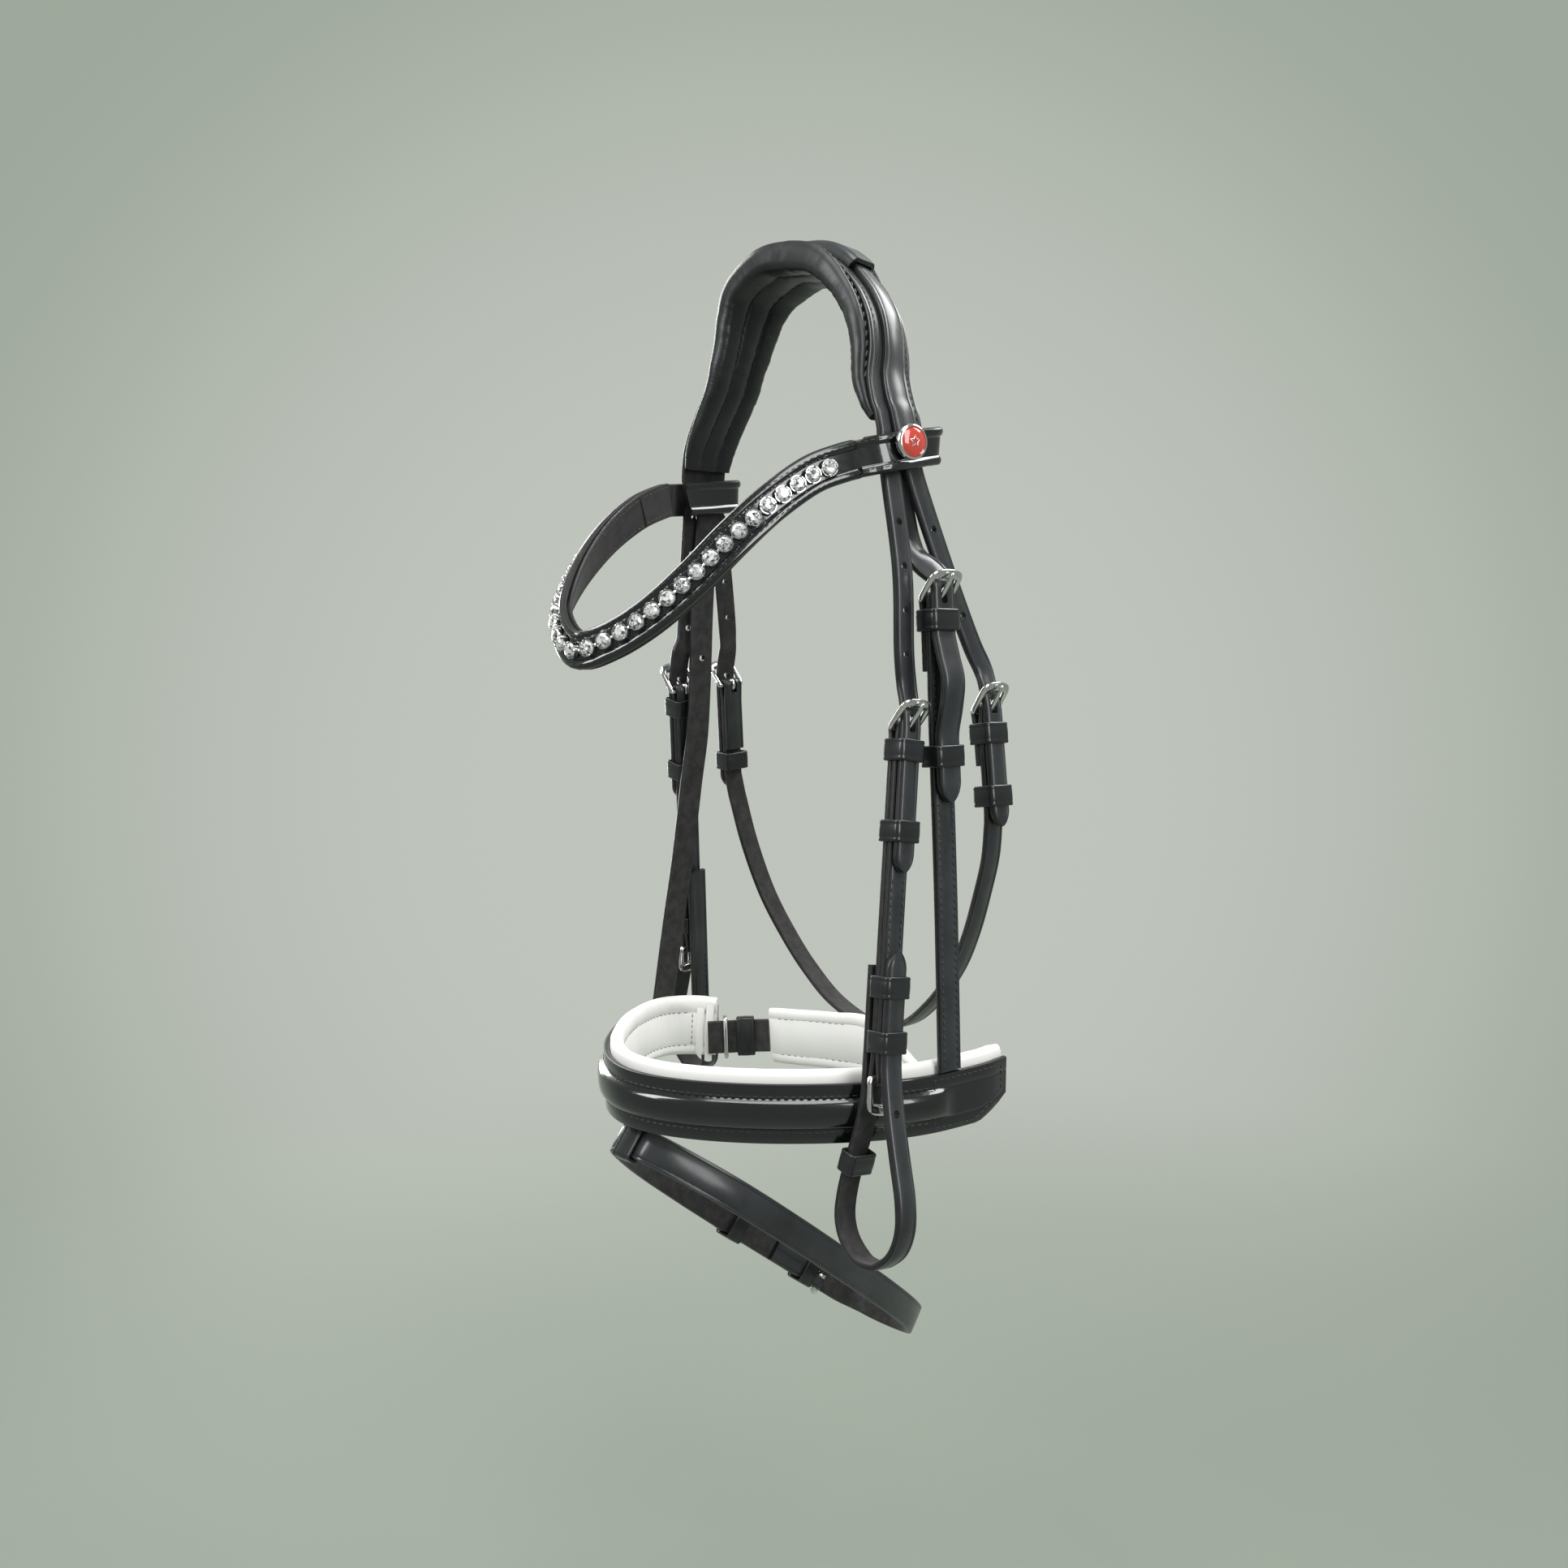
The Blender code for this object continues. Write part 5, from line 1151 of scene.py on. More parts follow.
@dataclass(frozen=True)
class NosebandStraps:
    """The sliphead that runs over the poll and its near hanger, which the noseband hangs on."""

    width: float = 0.012
    keeper_at: float = 0.008
    runner_at: float = 0.0615
    tip_at: float = 0.0715
    bow: float = 0.0042
    tail_at: float = 0.028
    hole_height: float = -0.161
    bar: Table = ((74.5, -2.5, -136.0), (84.5, -4.6, -251.0))
    hanger: Table = (
        (79.6, -3.4, -185.0), (82.6, -4.1, -220.0), (85.2, -4.7, -255.0), (87.2, -5.1, -290.0),
        (89.0, -5.5, -322.8),
    )  # fmt: skip
    far: Table = (
        (-91.3, -18.2, -331.4), (-85.0, -16.2, -292.0), (-79.2, -13.8, -255.0), (-73.2, -13.0, -220.0),
        (-68.4, -12.8, -196.0), (-65.2, -13.2, -165.0), (-64.0, -13.0, -140.0), (-62.8, -12.0, -115.0),
        (-61.3, -11.5, -98.0), (-61.4, -11.5, -90.5), (-66.8, -11.5, -83.0), (-67.0, -11.7, -79.0),
    )  # fmt: skip
    near: Table = (
        (67.0, -11.7, -70.8), (66.7, -11.5, -74.6), (61.6, -11.3, -82.3), (61.2, -9.8, -91.0),
        (61.5, -6.8, -103.0), (63.2, -5.6, -112.0), (69.3, -5.6, -120.0),
    )  # fmt: skip

    def build(self, crown: list[Station]) -> None:
        """Build the sliphead over the crown's stations, the hanger and their fittings."""
        place = Place.along(*metres(self.bar), Side.NEAR.outward, FORWARD)
        self.build_sliphead(crown, place)
        self.build_hanger(place)
        Buckle(self.width).built("noseband_{}", place, True, "headpiece", "noseband_tongue_body")
        loop = strap_keeper(self.width)
        loop.built("noseband_keeper", place.moved(s=self.keeper_at), "headpiece")
        loop.built("noseband_runner", place.moved(s=self.runner_at), "noseband_runner_body")

    def build_sliphead(self, crown: list[Station], place: Place) -> None:
        """Build the long strap from the noseband's far side over the poll to the near buckle."""
        far, near = metres(self.far), metres(self.near)
        ends = (crown[0].centre, crown[-1].centre)
        climbing = smooth_stations([*far, ends[0]], [Side.FAR.outward] * (len(far) + 1), 5)[:-1]
        falling = through_buckle([ends[1], *near], [Side.NEAR.outward] * (len(near) + 1), place, 5, True)[1:]
        billet = Billet("sliphead_strap", self.width, self.tip_at, (self.hole_height,), self.bow, False)
        keep(billet.strap(climbing + crown + falling, place).built(), "headpiece", "leather", "sliphead")

    def build_hanger(self, place: Place) -> None:
        """Build the near strap down to the noseband."""
        stations, rings = fold_end(place, self.tail_at, self.width, self.tail_at)
        down = metres(self.hanger)
        points = [stations[-1].centre, *down]
        run = aligned(smooth_stations(points, [place.out] * len(points), 4)[1:], place.across)
        rings += [strap_ring(self.width, STOCK.leather)] * len(run)
        strap = Strap("noseband_hanger_strap", stations + run, rings)
        strap.slot(place, -STOCK.slot_above, STOCK.fold_slot_below, STOCK.fold_slot_depth)
        for v in both_sides(self.width, 0.0021):
            strap.sew(v, STOCK.leather / 2, 0.045)
        keep(strap.built(), "headpiece", "leather", "noseband_hanger")


@dataclass(frozen=True)
class ThroatEnd:
    """One end of the throatlatch: its billet's path, its bar and where its fittings lie."""

    side: Side
    billet: Table
    bar: Table
    tip_at: float
    tail_at: float
    keeper_at: float

    @property
    def place(self) -> Place:
        """Return the place of the bar."""
        return Place.along(*metres(self.bar), self.side.outward, FORWARD)


@dataclass(frozen=True)
class Throatlatch:
    """The throatlatch with its two billets and buckles."""

    near: ThroatEnd
    far: ThroatEnd
    path: Table
    width: float = 0.010
    runner_at: float = 0.0345
    first_hole: float = -0.108
    hole_pitch: float = 0.017
    middle_height: float = -0.240

    def build(self) -> None:
        """Build the throatlatch."""
        near, far = self.near.place, self.far.place
        first, first_rings = fold_end(near, self.near.tail_at, self.width, self.near.tip_at)
        last, last_rings = fold_end(far, self.far.tail_at, self.width, self.far.tip_at)
        points = metres(self.path)
        middle = Vector((0.0, 0.0, self.middle_height))
        hints = [Vector((point.x, 0.0, point.z)) - middle for point in points]
        run = aligned(smooth_stations(points, hints, 8), near.across)
        rings = first_rings + [strap_ring(self.width, STOCK.leather)] * len(run) + last_rings[::-1]
        turned = aligned(last[::-1], run[-1].across)
        strap = Strap("throat_strap_long", first + run + turned, rings)
        length = path_lengths(strap.stations)[-1]
        for v in both_sides(self.width, 0.0021):
            strap.sew(v, STOCK.leather / 2, 0.026, 0.048)
            strap.sew(v, STOCK.leather / 2, length - 0.068, length - 0.040)
        for end in (self.near, self.far):
            self.build_end(end, strap)
        keep(strap.built(), "throatlatch", "leather", "throat_strap")
        runner = strap_keeper(self.width)
        runner.built("throat_runner_near", near.moved(s=self.runner_at), "throat_runner_near_body")

    def build_end(self, end: ThroatEnd, strap: Strap) -> None:
        """Build one end's billet, buckle and keeper, and slot the strap for its tongue."""
        side, place = end.side.label, end.place
        strap.slot(place, -STOCK.slot_above, STOCK.fold_slot_below, STOCK.fold_slot_depth)
        top = metres(end.billet)
        above = through_buckle(top, [place.out] * len(top), place, 8)
        holes = tuple(self.first_hole - self.hole_pitch * number for number in range(3))
        billet = Billet(f"throat_billet_{side}_strap", self.width, end.tip_at, holes)
        keep(billet.strap(above, place).built(), "throatlatch", "leather", f"throat_billet_{side}")
        tongue_body = f"throat_tongue_{side}_body"
        Buckle(self.width).built(f"throat_{{}}_{side}", place, True, "throatlatch", tongue_body)
        strap_keeper(self.width).built(f"throat_keeper_{side}", place.moved(s=end.keeper_at), "throatlatch")


THROATLATCH = Throatlatch(
    ThroatEnd(
        Side.NEAR, ((64.2, -5.0, -81.5), (64.3, -2.8, -89.5), (69.3, 9.2, -124.0), (74.2, 19.3, -152.0)),
        ((78.0, 24.0, -181.0), (83.6, 22.4, -216.0)), 0.040, 0.022, 0.009,
    ),
    ThroatEnd(
        Side.FAR, ((-64.9, -3.2, -98.0), (-73.0, 6.0, -119.0), (-79.0, 13.5, -147.0)),
        ((-84.5, 19.7, -175.0), (-86.0, 23.0, -215.6)), 0.045, 0.032, 0.038,
    ),
    (
        (85.6, 22.4, -225.0), (83.0, 24.0, -240.0), (78.0, 25.5, -255.0), (70.0, 27.5, -275.0),
        (60.0, 29.5, -293.0), (46.0, 31.0, -310.0), (26.0, 34.0, -325.0), (0.0, 37.0, -332.0),
        (-28.0, 40.0, -327.0), (-48.0, 40.5, -315.0), (-62.0, 38.5, -300.0), (-74.0, 34.5, -280.0),
        (-82.0, 29.5, -255.0), (-87.2, 25.5, -230.0),
    ),
)  # fmt: skip


@dataclass(frozen=True)
class Crown:
    """The headpiece's path from the far leg to the near one, with what changes along it."""

    stations: list[Station]
    half_widths: list[float]
    flats: list[float]
    rims: list[float]

    def raised(self, gap: float) -> list[Station]:
        """Return the stations moved out to this distance above the pad's flat face."""
        return [station.moved(flat + gap) for station, flat in zip(self.stations, self.flats)]


@dataclass(frozen=True)
class Headpiece:
    """The padded headpiece with the leather and the tunnel that lie on it."""

    path: Table = (
        (-58.8, -12.0, -76.0), (-55.5, -12.0, -68.0), (-49.5, -11.0, -58.0), (-42.0, -9.5, -46.0),
        (-37.2, -8.5, -34.5), (-34.0, -7.0, -23.0), (-31.5, -5.5, -13.0), (-27.0, -3.5, -5.0),
        (-14.0, -1.0, 1.0), (0.0, 0.0, 0.0), (12.0, -1.5, -2.6), (21.0, -3.8, -7.5), (28.5, -5.5, -14.0),
        (36.0, -7.0, -21.0), (42.0, -8.5, -29.0), (45.8, -9.5, -39.0), (49.0, -10.8, -50.0),
        (54.5, -12.0, -60.5), (58.8, -12.0, -66.5),
    )  # fmt: skip
    yaws: tuple[float, ...] = (
        0.0, 0.06, 0.15, 0.22, 0.22, 0.17, 0.13, 0.12, 0.12, 0.14, 0.2, 0.26, 0.28, 0.24, 0.2, 0.15, 0.05,
        0.0, 0.0,
    )  # fmt: skip
    half_width: float = 0.022
    thickness: float = 0.0132
    widths: tuple[float, ...] = (1.0, 0.975, 0.91, 0.82, 0.77, 0.75, 0.72, 0.68, 0.63, 0.56)
    flats: tuple[float, ...] = (0.5, 0.5, 0.52, 0.54, 0.56, 0.56, 0.53, 0.46, 0.35, 0.24)
    rims: tuple[float, ...] = (0.93, 0.88, 0.8, 0.72, 0.65, 0.6, 0.54, 0.46, 0.35, 0.24)
    steps: int = 10
    leather_half: float = 0.012
    near_tab: Table = ((64.0, -11.8, -70.3), (64.0, -11.6, -73.3))
    far_tab: Table = ((-64.0, -11.8, -78.8), (-64.0, -11.6, -81.5))
    loop_reach: float = 0.032
    loop_wall: float = 0.0018
    loop_side_gap: float = 0.0008
    unsewn: float = 0.012
    # The pad's section: share of its half width, then of the flat's height, then of the rim's above the flat
    section: tuple[tuple[float, float, float], ...] = (
        (1.0, 0.5, 0.1), (0.985, 0.78, 0.55), (0.93, 0.95, 0.9), (0.86, 1.0, 1.0), (0.79, 1.0, 0.8),
        (0.755, 0.98, 0.4), (0.735, 0.94, 0.0), (0.7, 0.98, 0.0), (0.0, 1.0, 0.0), (-0.7, 0.98, 0.0),
        (-0.735, 0.94, 0.0), (-0.755, 0.98, 0.4), (-0.79, 1.0, 0.8), (-0.86, 1.0, 1.0), (-0.93, 0.95, 0.9),
        (-0.985, 0.78, 0.55), (-1.0, 0.5, 0.1), (-0.985, 0.28, 0.0), (-0.93, 0.09, 0.0), (-0.84, 0.0, 0.0),
        (-0.6, -0.02, 0.0), (-0.45, 0.03, 0.0), (-0.365, 0.15, 0.0), (-0.34, 0.2, 0.0),
        (-0.315, 0.15, 0.0), (-0.23, 0.03, 0.0), (0.0, -0.03, 0.0), (0.23, 0.03, 0.0), (0.315, 0.15, 0.0),
        (0.34, 0.2, 0.0), (0.365, 0.15, 0.0), (0.45, 0.03, 0.0), (0.6, -0.02, 0.0), (0.84, 0.0, 0.0),
        (0.93, 0.09, 0.0), (0.985, 0.28, 0.0),
    )  # fmt: skip

    def spread(self, shares: tuple[float, ...], size: float) -> list[float]:
        """Return a table's values from the far leg to the near one, with even steps between each two."""
        both = [*reversed(shares[1:]), *shares]
        found = [
            (a + (b - a) * step / self.steps) * size
            for a, b in zip(both, both[1:])
            for step in range(self.steps)
        ]
        return [*found, both[-1] * size]

    def crown(self) -> Crown:
        """Return the headpiece's path."""
        points = metres(self.path)
        path = smooth_path(points, self.steps)
        turns = smooth_path([Vector((yaw, 0.0, 0.0)) for yaw in self.yaws], self.steps)
        stations = []
        for i, (point, turn) in enumerate(zip(path, turns)):
            before, after = path[max(i - 1, 0)], path[min(i + 1, len(path) - 1)]
            along = Vector((after.x - before.x, 0.0, after.z - before.z)).normalized()
            across = (FORWARD + turn).normalized()
            out = along.cross(across).normalized()
            away = Vector((point.x, 0.0, point.z - points[-1].z))
            stations.append(Station(point, across, out if out.dot(away) > 0.0 else -out))
        sizes = ((self.widths, self.half_width), (self.flats, self.thickness), (self.rims, self.thickness))
        return Crown(stations, *(self.spread(shares, size) for shares, size in sizes))

    def build(self) -> list[Station]:
        """Build the headpiece and return the stations of the strap that lies on it."""
        crown = self.crown()
        self.build_pad(crown)
        self.build_leather(crown)
        self.build_tunnel(crown)
        return crown.raised(STOCK.gap * 2 + STOCK.leather * 1.5)[::2]

    def ring(self, half: float, flat: float, rim: float, gone: float) -> Ring:
        """Return the pad's section at a distance along it, gathered into small wrinkles."""
        found = []
        for v, n, above in self.section:
            height = n * flat + above * (rim - flat)
            inner = 1.0 if n < 0.3 else 0.0
            edge = smooth_share(abs(v), 0.86, 1.0)
            place = Vector((gone, v * half * 0.35, n * 0.002))
            gather = wander(place, 620.0, 3.0) * 0.00024 + wander(place, 260.0, 9.0) * 0.0003
            soft = wander(place, 75.0, 5.0) * 0.0005
            height += (gather * (inner + 0.45 * edge) + soft * inner) * min(flat / 0.006, 1.0)
            found.append((v * half * (1 + edge * 0.018 * wander(place, 140.0, 7.0)), height))
        return found

    def build_pad(self, crown: Crown) -> None:
        """Build the stuffed pad with its two inner seams and its stitched, rolled rims."""
        gone = path_lengths(crown.stations)
        rows = zip(crown.half_widths, crown.flats, crown.rims, gone)
        shell = Shell().sweep(crown.stations, [self.ring(*row) for row in rows], [Face.GRAIN])
        sewing = Stitching(0.0034, 0.0024, 0.00028)
        for share, height in ((0.34, 0.16), (-0.34, 0.16)):
            self.sew_rim(shell, crown, sewing, share, height, 0.0)
        for share in (0.79, -0.79):
            self.sew_rim(shell, crown, Stitching(0.0040, 0.0031, 0.0006, 0.4), share, 1.0, 0.9)
        pad = shell.built("crown_pad_nappa", [NAPPA, EDGE, MATTE, THREAD], 60.0)
        keep(pad, "headpiece", "lining", "crown_pad")

    def sew_rim(
        self, shell: Shell, crown: Crown, sewing: Stitching, share: float, height: float, above: float
    ) -> None:
        """Sew a row along the pad at a share of its width.

        Args:
            shell: Where the thread's faces go.
            crown: The pad's path.
            sewing: The thread.
            share: The share of its half width.
            height: The share of its flat's height.
            above: The share of its rim's height above the flat.
        """
        rows = zip(crown.stations, crown.half_widths, crown.flats, crown.rims)
        stations = [
            station.moved(height * flat + above * (rim - flat), share * half)
            for station, half, flat, rim in rows
        ]
        last = path_lengths(stations)[-1] - self.unsewn
        sewing.row(shell, stations, math.copysign(1e-6, share), 0.0, self.unsewn, last)

    def build_leather(self, crown: Crown) -> None:
        """Build the flat leather on the pad with its two tabs."""
        far = [Station(point, FORWARD, Side.FAR.outward) for point in metres(self.far_tab)]
        near = [Station(point, FORWARD, Side.NEAR.outward) for point in metres(self.near_tab)]
        path = far[::-1] + crown.raised(STOCK.gap + STOCK.leather / 2)[::2] + near
        strap = Strap("crown_leather_strap", path, [strap_ring(self.leather_half * 2, STOCK.leather)])
        for v in both_sides(self.leather_half * 2, 0.0024):
            strap.sew(v, STOCK.leather / 2, 0.004)
        keep(strap.built(), "headpiece", "leather", "crown_leather")

    def build_tunnel(self, crown: Crown) -> None:
        """Build the tunnel at the top that the sliphead runs through."""
        raised = crown.raised(STOCK.gap * 2 + STOCK.leather)[::2]
        tunnel = [station for station in raised if abs(station.centre.x) < self.loop_reach]
        inner = 0.006 + self.loop_side_gap
        outer, roof = inner + self.loop_wall, STOCK.leather + self.loop_side_gap
        top = roof + self.loop_wall
        over = [(outer, 0.0), (outer, roof * 0.6), (outer - 0.0003, roof), (inner + 0.0002, top - 0.0004)]
        over = [*over, (inner - 0.0006, top), (inner - 0.0014, top)]
        over = [*over, (inner - 0.0016, top - 0.00014), (inner - 0.0018, top)]
        under = [(-inner, 0.0), (-inner, roof * 0.9), (-inner * 0.85, roof)]
        under = [*under, *((-v, n) for v, n in reversed(under))]
        ring = [*over, *((-v, n) for v, n in reversed(over)), *under]
        kinds = [Face.GRAIN] * 15 + [Face.EDGE] + [Face.FLESH] * 5 + [Face.EDGE]
        made = Strap("poll_loop_tunnel", tunnel, [ring]).built([LEATHER, EDGE, FLESH, THREAD], kinds)
        keep(made, "headpiece", "leather", "poll_loop")


@dataclass(frozen=True)
class Crystal:
    """A cut stone in a cup with four prongs."""

    radius: float = 0.0030
    cup_radius: float = 0.0033
    cup_depth: float = 0.0019
    cup_wall: float = 0.0003
    depth: float = 0.0032
    sides: int = 12

    def build(self, stones: Shell, cups: Shell, station: Station, seed: int) -> None:
        """Add the stone and its cup at a station, the painted reflection tones of its facets and its turn set
        by the seed.
        """
        out, side, up = station.out, station.across.cross(station.out), station.across
        turn = math.tau * wander(Vector((seed * 0.37, 0.5, 0.5)), 1.0)
        levels = ((1.0, self.cup_depth * 0.82, 0.0), (0.8, self.depth * 0.83, 0.5), (0.5, self.depth, 0.0))
        base = len(stones.points)
        for share, height, shift in levels:
            for i in range(self.sides):
                angle = turn + math.tau * (i + shift) / self.sides
                around = side * math.cos(angle) + up * math.sin(angle)
                stones.points.append(station.centre + around * (self.radius * share) + out * height)
        flat = ((0.0, 0.0),) * 3
        for ring in (0, 1):
            for i in range(self.sides):
                a, b = base + ring * self.sides + i, base + ring * self.sides + (i + 1) % self.sides
                c, d = a + self.sides, b + self.sides
                faces = ((a, b, c), (b, d, c)) if ring == 0 else ((a, b, d), (a, d, c))
                for number, corners in enumerate(faces):
                    stones.face(corners, self.tone(seed, ring * 31 + i * 2 + number), flat)
        middle = len(stones.points)
        stones.points.append(station.centre + out * (self.depth - 0.00012))
        for i in range(self.sides):
            a, b = base + 2 * self.sides + i, base + 2 * self.sides + (i + 1) % self.sides
            stones.face((a, b, middle), self.tone(seed, 90 + i), flat)
        # The stone's back takes the deep painted reflection tone
        stones.face(tuple(base + i for i in reversed(range(self.sides))), 3, ((0.0, 0.0),) * self.sides)
        self.build_cup(cups, station, turn)

    def tone(self, seed: int, facet: int) -> int:
        """Return which painted reflection tone a facet has: bright, pale, grey or deep."""
        return (seed * 7919 + facet * 104729 + facet * facet * 31) % 97 % 4 if facet % 5 else 0

    def build_cup(self, cups: Shell, station: Station, turn: float) -> None:
        """Add the cup: a thin wall round the stone and four prongs bent over its edge."""
        out, side, up = station.out, station.across.cross(station.out), station.across
        path, hints = [], []
        for i in range(20):
            angle = math.tau * i / 20
            around = side * math.cos(angle) + up * math.sin(angle)
            reach = self.cup_radius - self.cup_wall / 2
            path.append(station.centre + around * reach + out * (self.cup_depth / 2))
            hints.append(around)
        half, wall = self.cup_depth / 2, self.cup_wall / 2
        ring = [(half, wall), (-half, wall), (-half, -wall), (half, -wall)]
        cups.sweep(stations_on(path, hints, True), [ring], [Face.GRAIN], True)
        for i in range(4):
            angle = turn + math.tau * (i + 0.5) / 4
            around = side * math.cos(angle) + up * math.sin(angle)
            knots = ((0.00325, 0.0004), (0.00323, 0.0018), (0.0030, 0.0025), (0.0026, 0.0029))
            points = [station.centre + around * reach + out * height for reach, height in knots]
            cups.sweep(stations_on(points, [around] * 4), [oval(0.0004, 0.0002, 6)], [Face.GRAIN])


@dataclass(frozen=True)
class Browband:
    """The browband with its lining, crystals and buttons."""

    half_height: float = 0.0074
    thickness: float = 0.0024
    lining: float = 0.0014
    arm_from: float = -0.034
    chain_from: float = -0.038
    pitch: float = 0.0073
    link_half: float = 0.0013
    loop_middle: tuple[float, float] = (0.064, -0.012)
    middle_y: float = -0.030
    seam_at: tuple[float, float, float] = (-0.0575, -0.052, -0.0965)
    button_radius: float = 0.0069
    button_depth: float = 0.0042
    button_turn: float = 0.16
    buttons: Table = ((73.4, -16.0, -76.0), (-72.6, -12.0, -86.6))
    crystal: Crystal = Crystal()
    path: Table = (
        (57.8, -25.5, -80.4), (57.8, -12.0, -78.0), (57.8, 1.0, -75.8), (60.0, 4.8, -75.2),
        (64.0, 6.4, -75.0), (68.1, 4.8, -75.2), (70.7, 1.0, -75.8), (70.7, -12.0, -78.0),
        (69.9, -24.0, -80.2), (65.5, -31.0, -82.0), (60.5, -38.5, -84.2), (55.0, -50.0, -89.2),
        (50.0, -66.0, -100.5), (44.0, -80.0, -113.8), (36.0, -93.0, -129.0), (26.0, -105.0, -142.2),
        (14.0, -115.0, -151.4), (1.0, -122.0, -155.0), (-18.0, -117.0, -144.5), (-34.0, -101.0, -128.0),
        (-48.0, -78.0, -110.5), (-56.0, -56.0, -97.5), (-61.0, -38.5, -91.0), (-65.5, -30.0, -89.6),
        (-69.9, -23.0, -88.8), (-70.5, -12.0, -87.8), (-70.5, 1.0, -86.5), (-68.1, 4.8, -86.1),
        (-64.0, 6.4, -86.0), (-60.0, 4.8, -86.1), (-57.8, 1.0, -86.5), (-57.8, -12.0, -87.8),
        (-57.8, -25.5, -89.2),
    )  # fmt: skip

    def hint(self, point: Vector) -> Vector:
        """Return the way that the browband faces at a point: away from what its loops or the brow hold."""
        if point.y > self.arm_from:
            x, y = self.loop_middle
            return Vector((point.x - math.copysign(x, point.x), point.y - y, 0.0))
        return Vector((point.x, point.y - self.middle_y, 0.0))

    def build(self) -> None:
        """Build the browband."""
        path = smooth_path(metres(self.path), 6)
        stations = aligned(stations_on(path, [self.hint(point) for point in path]), UP)
        arm = [station for station in stations if station.centre.y < self.arm_from]
        self.build_strap(stations, arm)
        self.build_lining(arm)
        self.build_crystals(arm)
        for side, middle in zip(Side, metres(self.buttons)):
            self.build_button(side, middle)

    def build_strap(self, stations: list[Station], arm: list[Station]) -> None:
        """Build the patent strap, stitched along both edges."""
        h, t = self.half_height, self.thickness / 2
        edge = [(h - 0.0001, -t + 0.0004), (h, 0.0), (h - 0.0002, t * 0.7), (h - 0.0007, t + 0.0003)]
        half = [*edge, (h - 0.0017, t + 0.0006), (h - 0.0026, t + 0.0005), (h - 0.0034, t)]
        half = [*half, (h - 0.0038, t - 0.0004)]
        ring = [*half, *((-v, n) for v, n in reversed(half)), (-h + 0.0004, -t), (0.0, -t), (h - 0.0004, -t)]
        kinds = [Face.EDGE] * 3 + [Face.GRAIN] * 9 + [Face.EDGE] * 4 + [Face.FLESH] * 3
        strap = Strap("browband_patent", stations, [ring])
        start = path_lengths(stations[: stations.index(arm[0]) + 1])[-1]
        length = path_lengths(arm)[-1]
        sewing = Stitching(0.0027, 0.0019, 0.00025)
        for v in both_sides(h * 2, 0.0018):
            strap.sew(v, t + 0.0006, start - 0.012, start + length + 0.010, sewing)
        keep(strap.built([PATENT, EDGE, MATTE, THREAD], kinds), "browband", "patent", "browband_strap")

    def build_lining(self, arm: list[Station]) -> None:
        """Build the matte lining with its edge stitching and lapped seam."""
        middle = -(self.thickness / 2 + STOCK.gap * 3 + self.lining / 2)
        width = self.half_height * 2
        ring = strap_ring(width, self.lining, 0.0, middle)
        strap = Strap("browband_matte_lining", arm, [ring])
        for v in both_sides(width, 0.0018):
            strap.sew(v, middle - self.lining / 2, stitching=Stitching(0.0027, 0.0019, 0.00022))
        seam = nearest_place(arm, Vector(self.seam_at))
        lap = [seam.station(s, middle - self.lining / 2 - 0.0002) for s in (0.0, 0.0006, 0.0012)]
        Shell.sweep(strap.threads, lap, [oval(self.half_height * 0.97, 0.00025, 8)], [Face.GRAIN])
        keep(strap.built([MATTE, EDGE, MATTE, THREAD]), "browband", "lining", "browband_lining")

    def build_crystals(self, arm: list[Station]) -> None:
        """Build the chain of crystals along the middle of the browband."""
        inside = [station for station in arm if station.centre.y < self.chain_from]
        inside = [station.moved(self.thickness / 2 - 0.0001) for station in inside]
        gone = path_lengths(inside)
        count = int(gone[-1] / self.pitch)
        start = (gone[-1] - count * self.pitch) / 2
        stones, cups = Shell(), Shell()
        for number in range(count):
            middle = start + self.pitch * (number + 0.5)
            self.crystal.build(stones, cups, station_at(inside, gone, middle), number)
            if number:
                between = middle - self.pitch / 2
                ends = [station_at(inside, gone, between + self.link_half * share) for share in (-1.0, 1.0)]
                cups.sweep([end.moved(0.0008) for end in ends], [oval(0.0006, 0.0004, 6)], [Face.GRAIN])
        chain = cups.built("crystal_cups", [NICKEL], 40.0)
        keep(chain, "browband", "nickel", "crystal_chain")
        keep(stones.built("crystal_stones", PAINTED_CRYSTAL_GLINTS, 1.0), "browband", "crystal")

    def build_button(self, side: Side, middle: Vector) -> None:
        """Build a button: a bright rim, a domed red face and a plain raised design of a star and two arcs."""
        out = (side.outward + FORWARD * self.button_turn).normalized()
        across = UP.cross(out)
        profile = ((0.0, 0.9), (0.1, 0.98), (0.35, 1.0), (0.6, 0.97), (0.72, 0.9), (0.74, 0.84), (0.62, 0.8))
        stations = [Station(middle + out * (self.button_depth * depth), across, UP) for depth, _ in profile]
        rings = [oval(self.button_radius * share, self.button_radius * share, 48) for _, share in profile]
        rim = Shell().sweep(stations, rings, [Face.GRAIN]).built(f"button_{side.label}_rim", [NICKEL], 50.0)
        keep(rim, "browband", "nickel", f"button_{side.label}")
        dome = ((0.3, 0.8), (0.64, 0.8), (0.78, 0.66), (0.87, 0.45), (0.92, 0.22), (0.93, 0.05))
        stations = [Station(middle + out * (self.button_depth * depth), across, UP) for depth, _ in dome]
        rings = [oval(self.button_radius * share, self.button_radius * share, 48) for _, share in dome]
        face = Shell().sweep(stations, rings, [Face.GRAIN]).built(f"button_{side.label}_face", [ENAMEL], 50.0)
        keep(face, "browband", "enamel")
        keep(self.design(side, middle), "browband", "nickel")

    def design(self, side: Side, middle: Vector) -> bpy.types.Object:
        """Return the raised design on a button."""
        shell = Shell()
        out = (side.outward + FORWARD * self.button_turn).normalized()
        across = UP.cross(out)

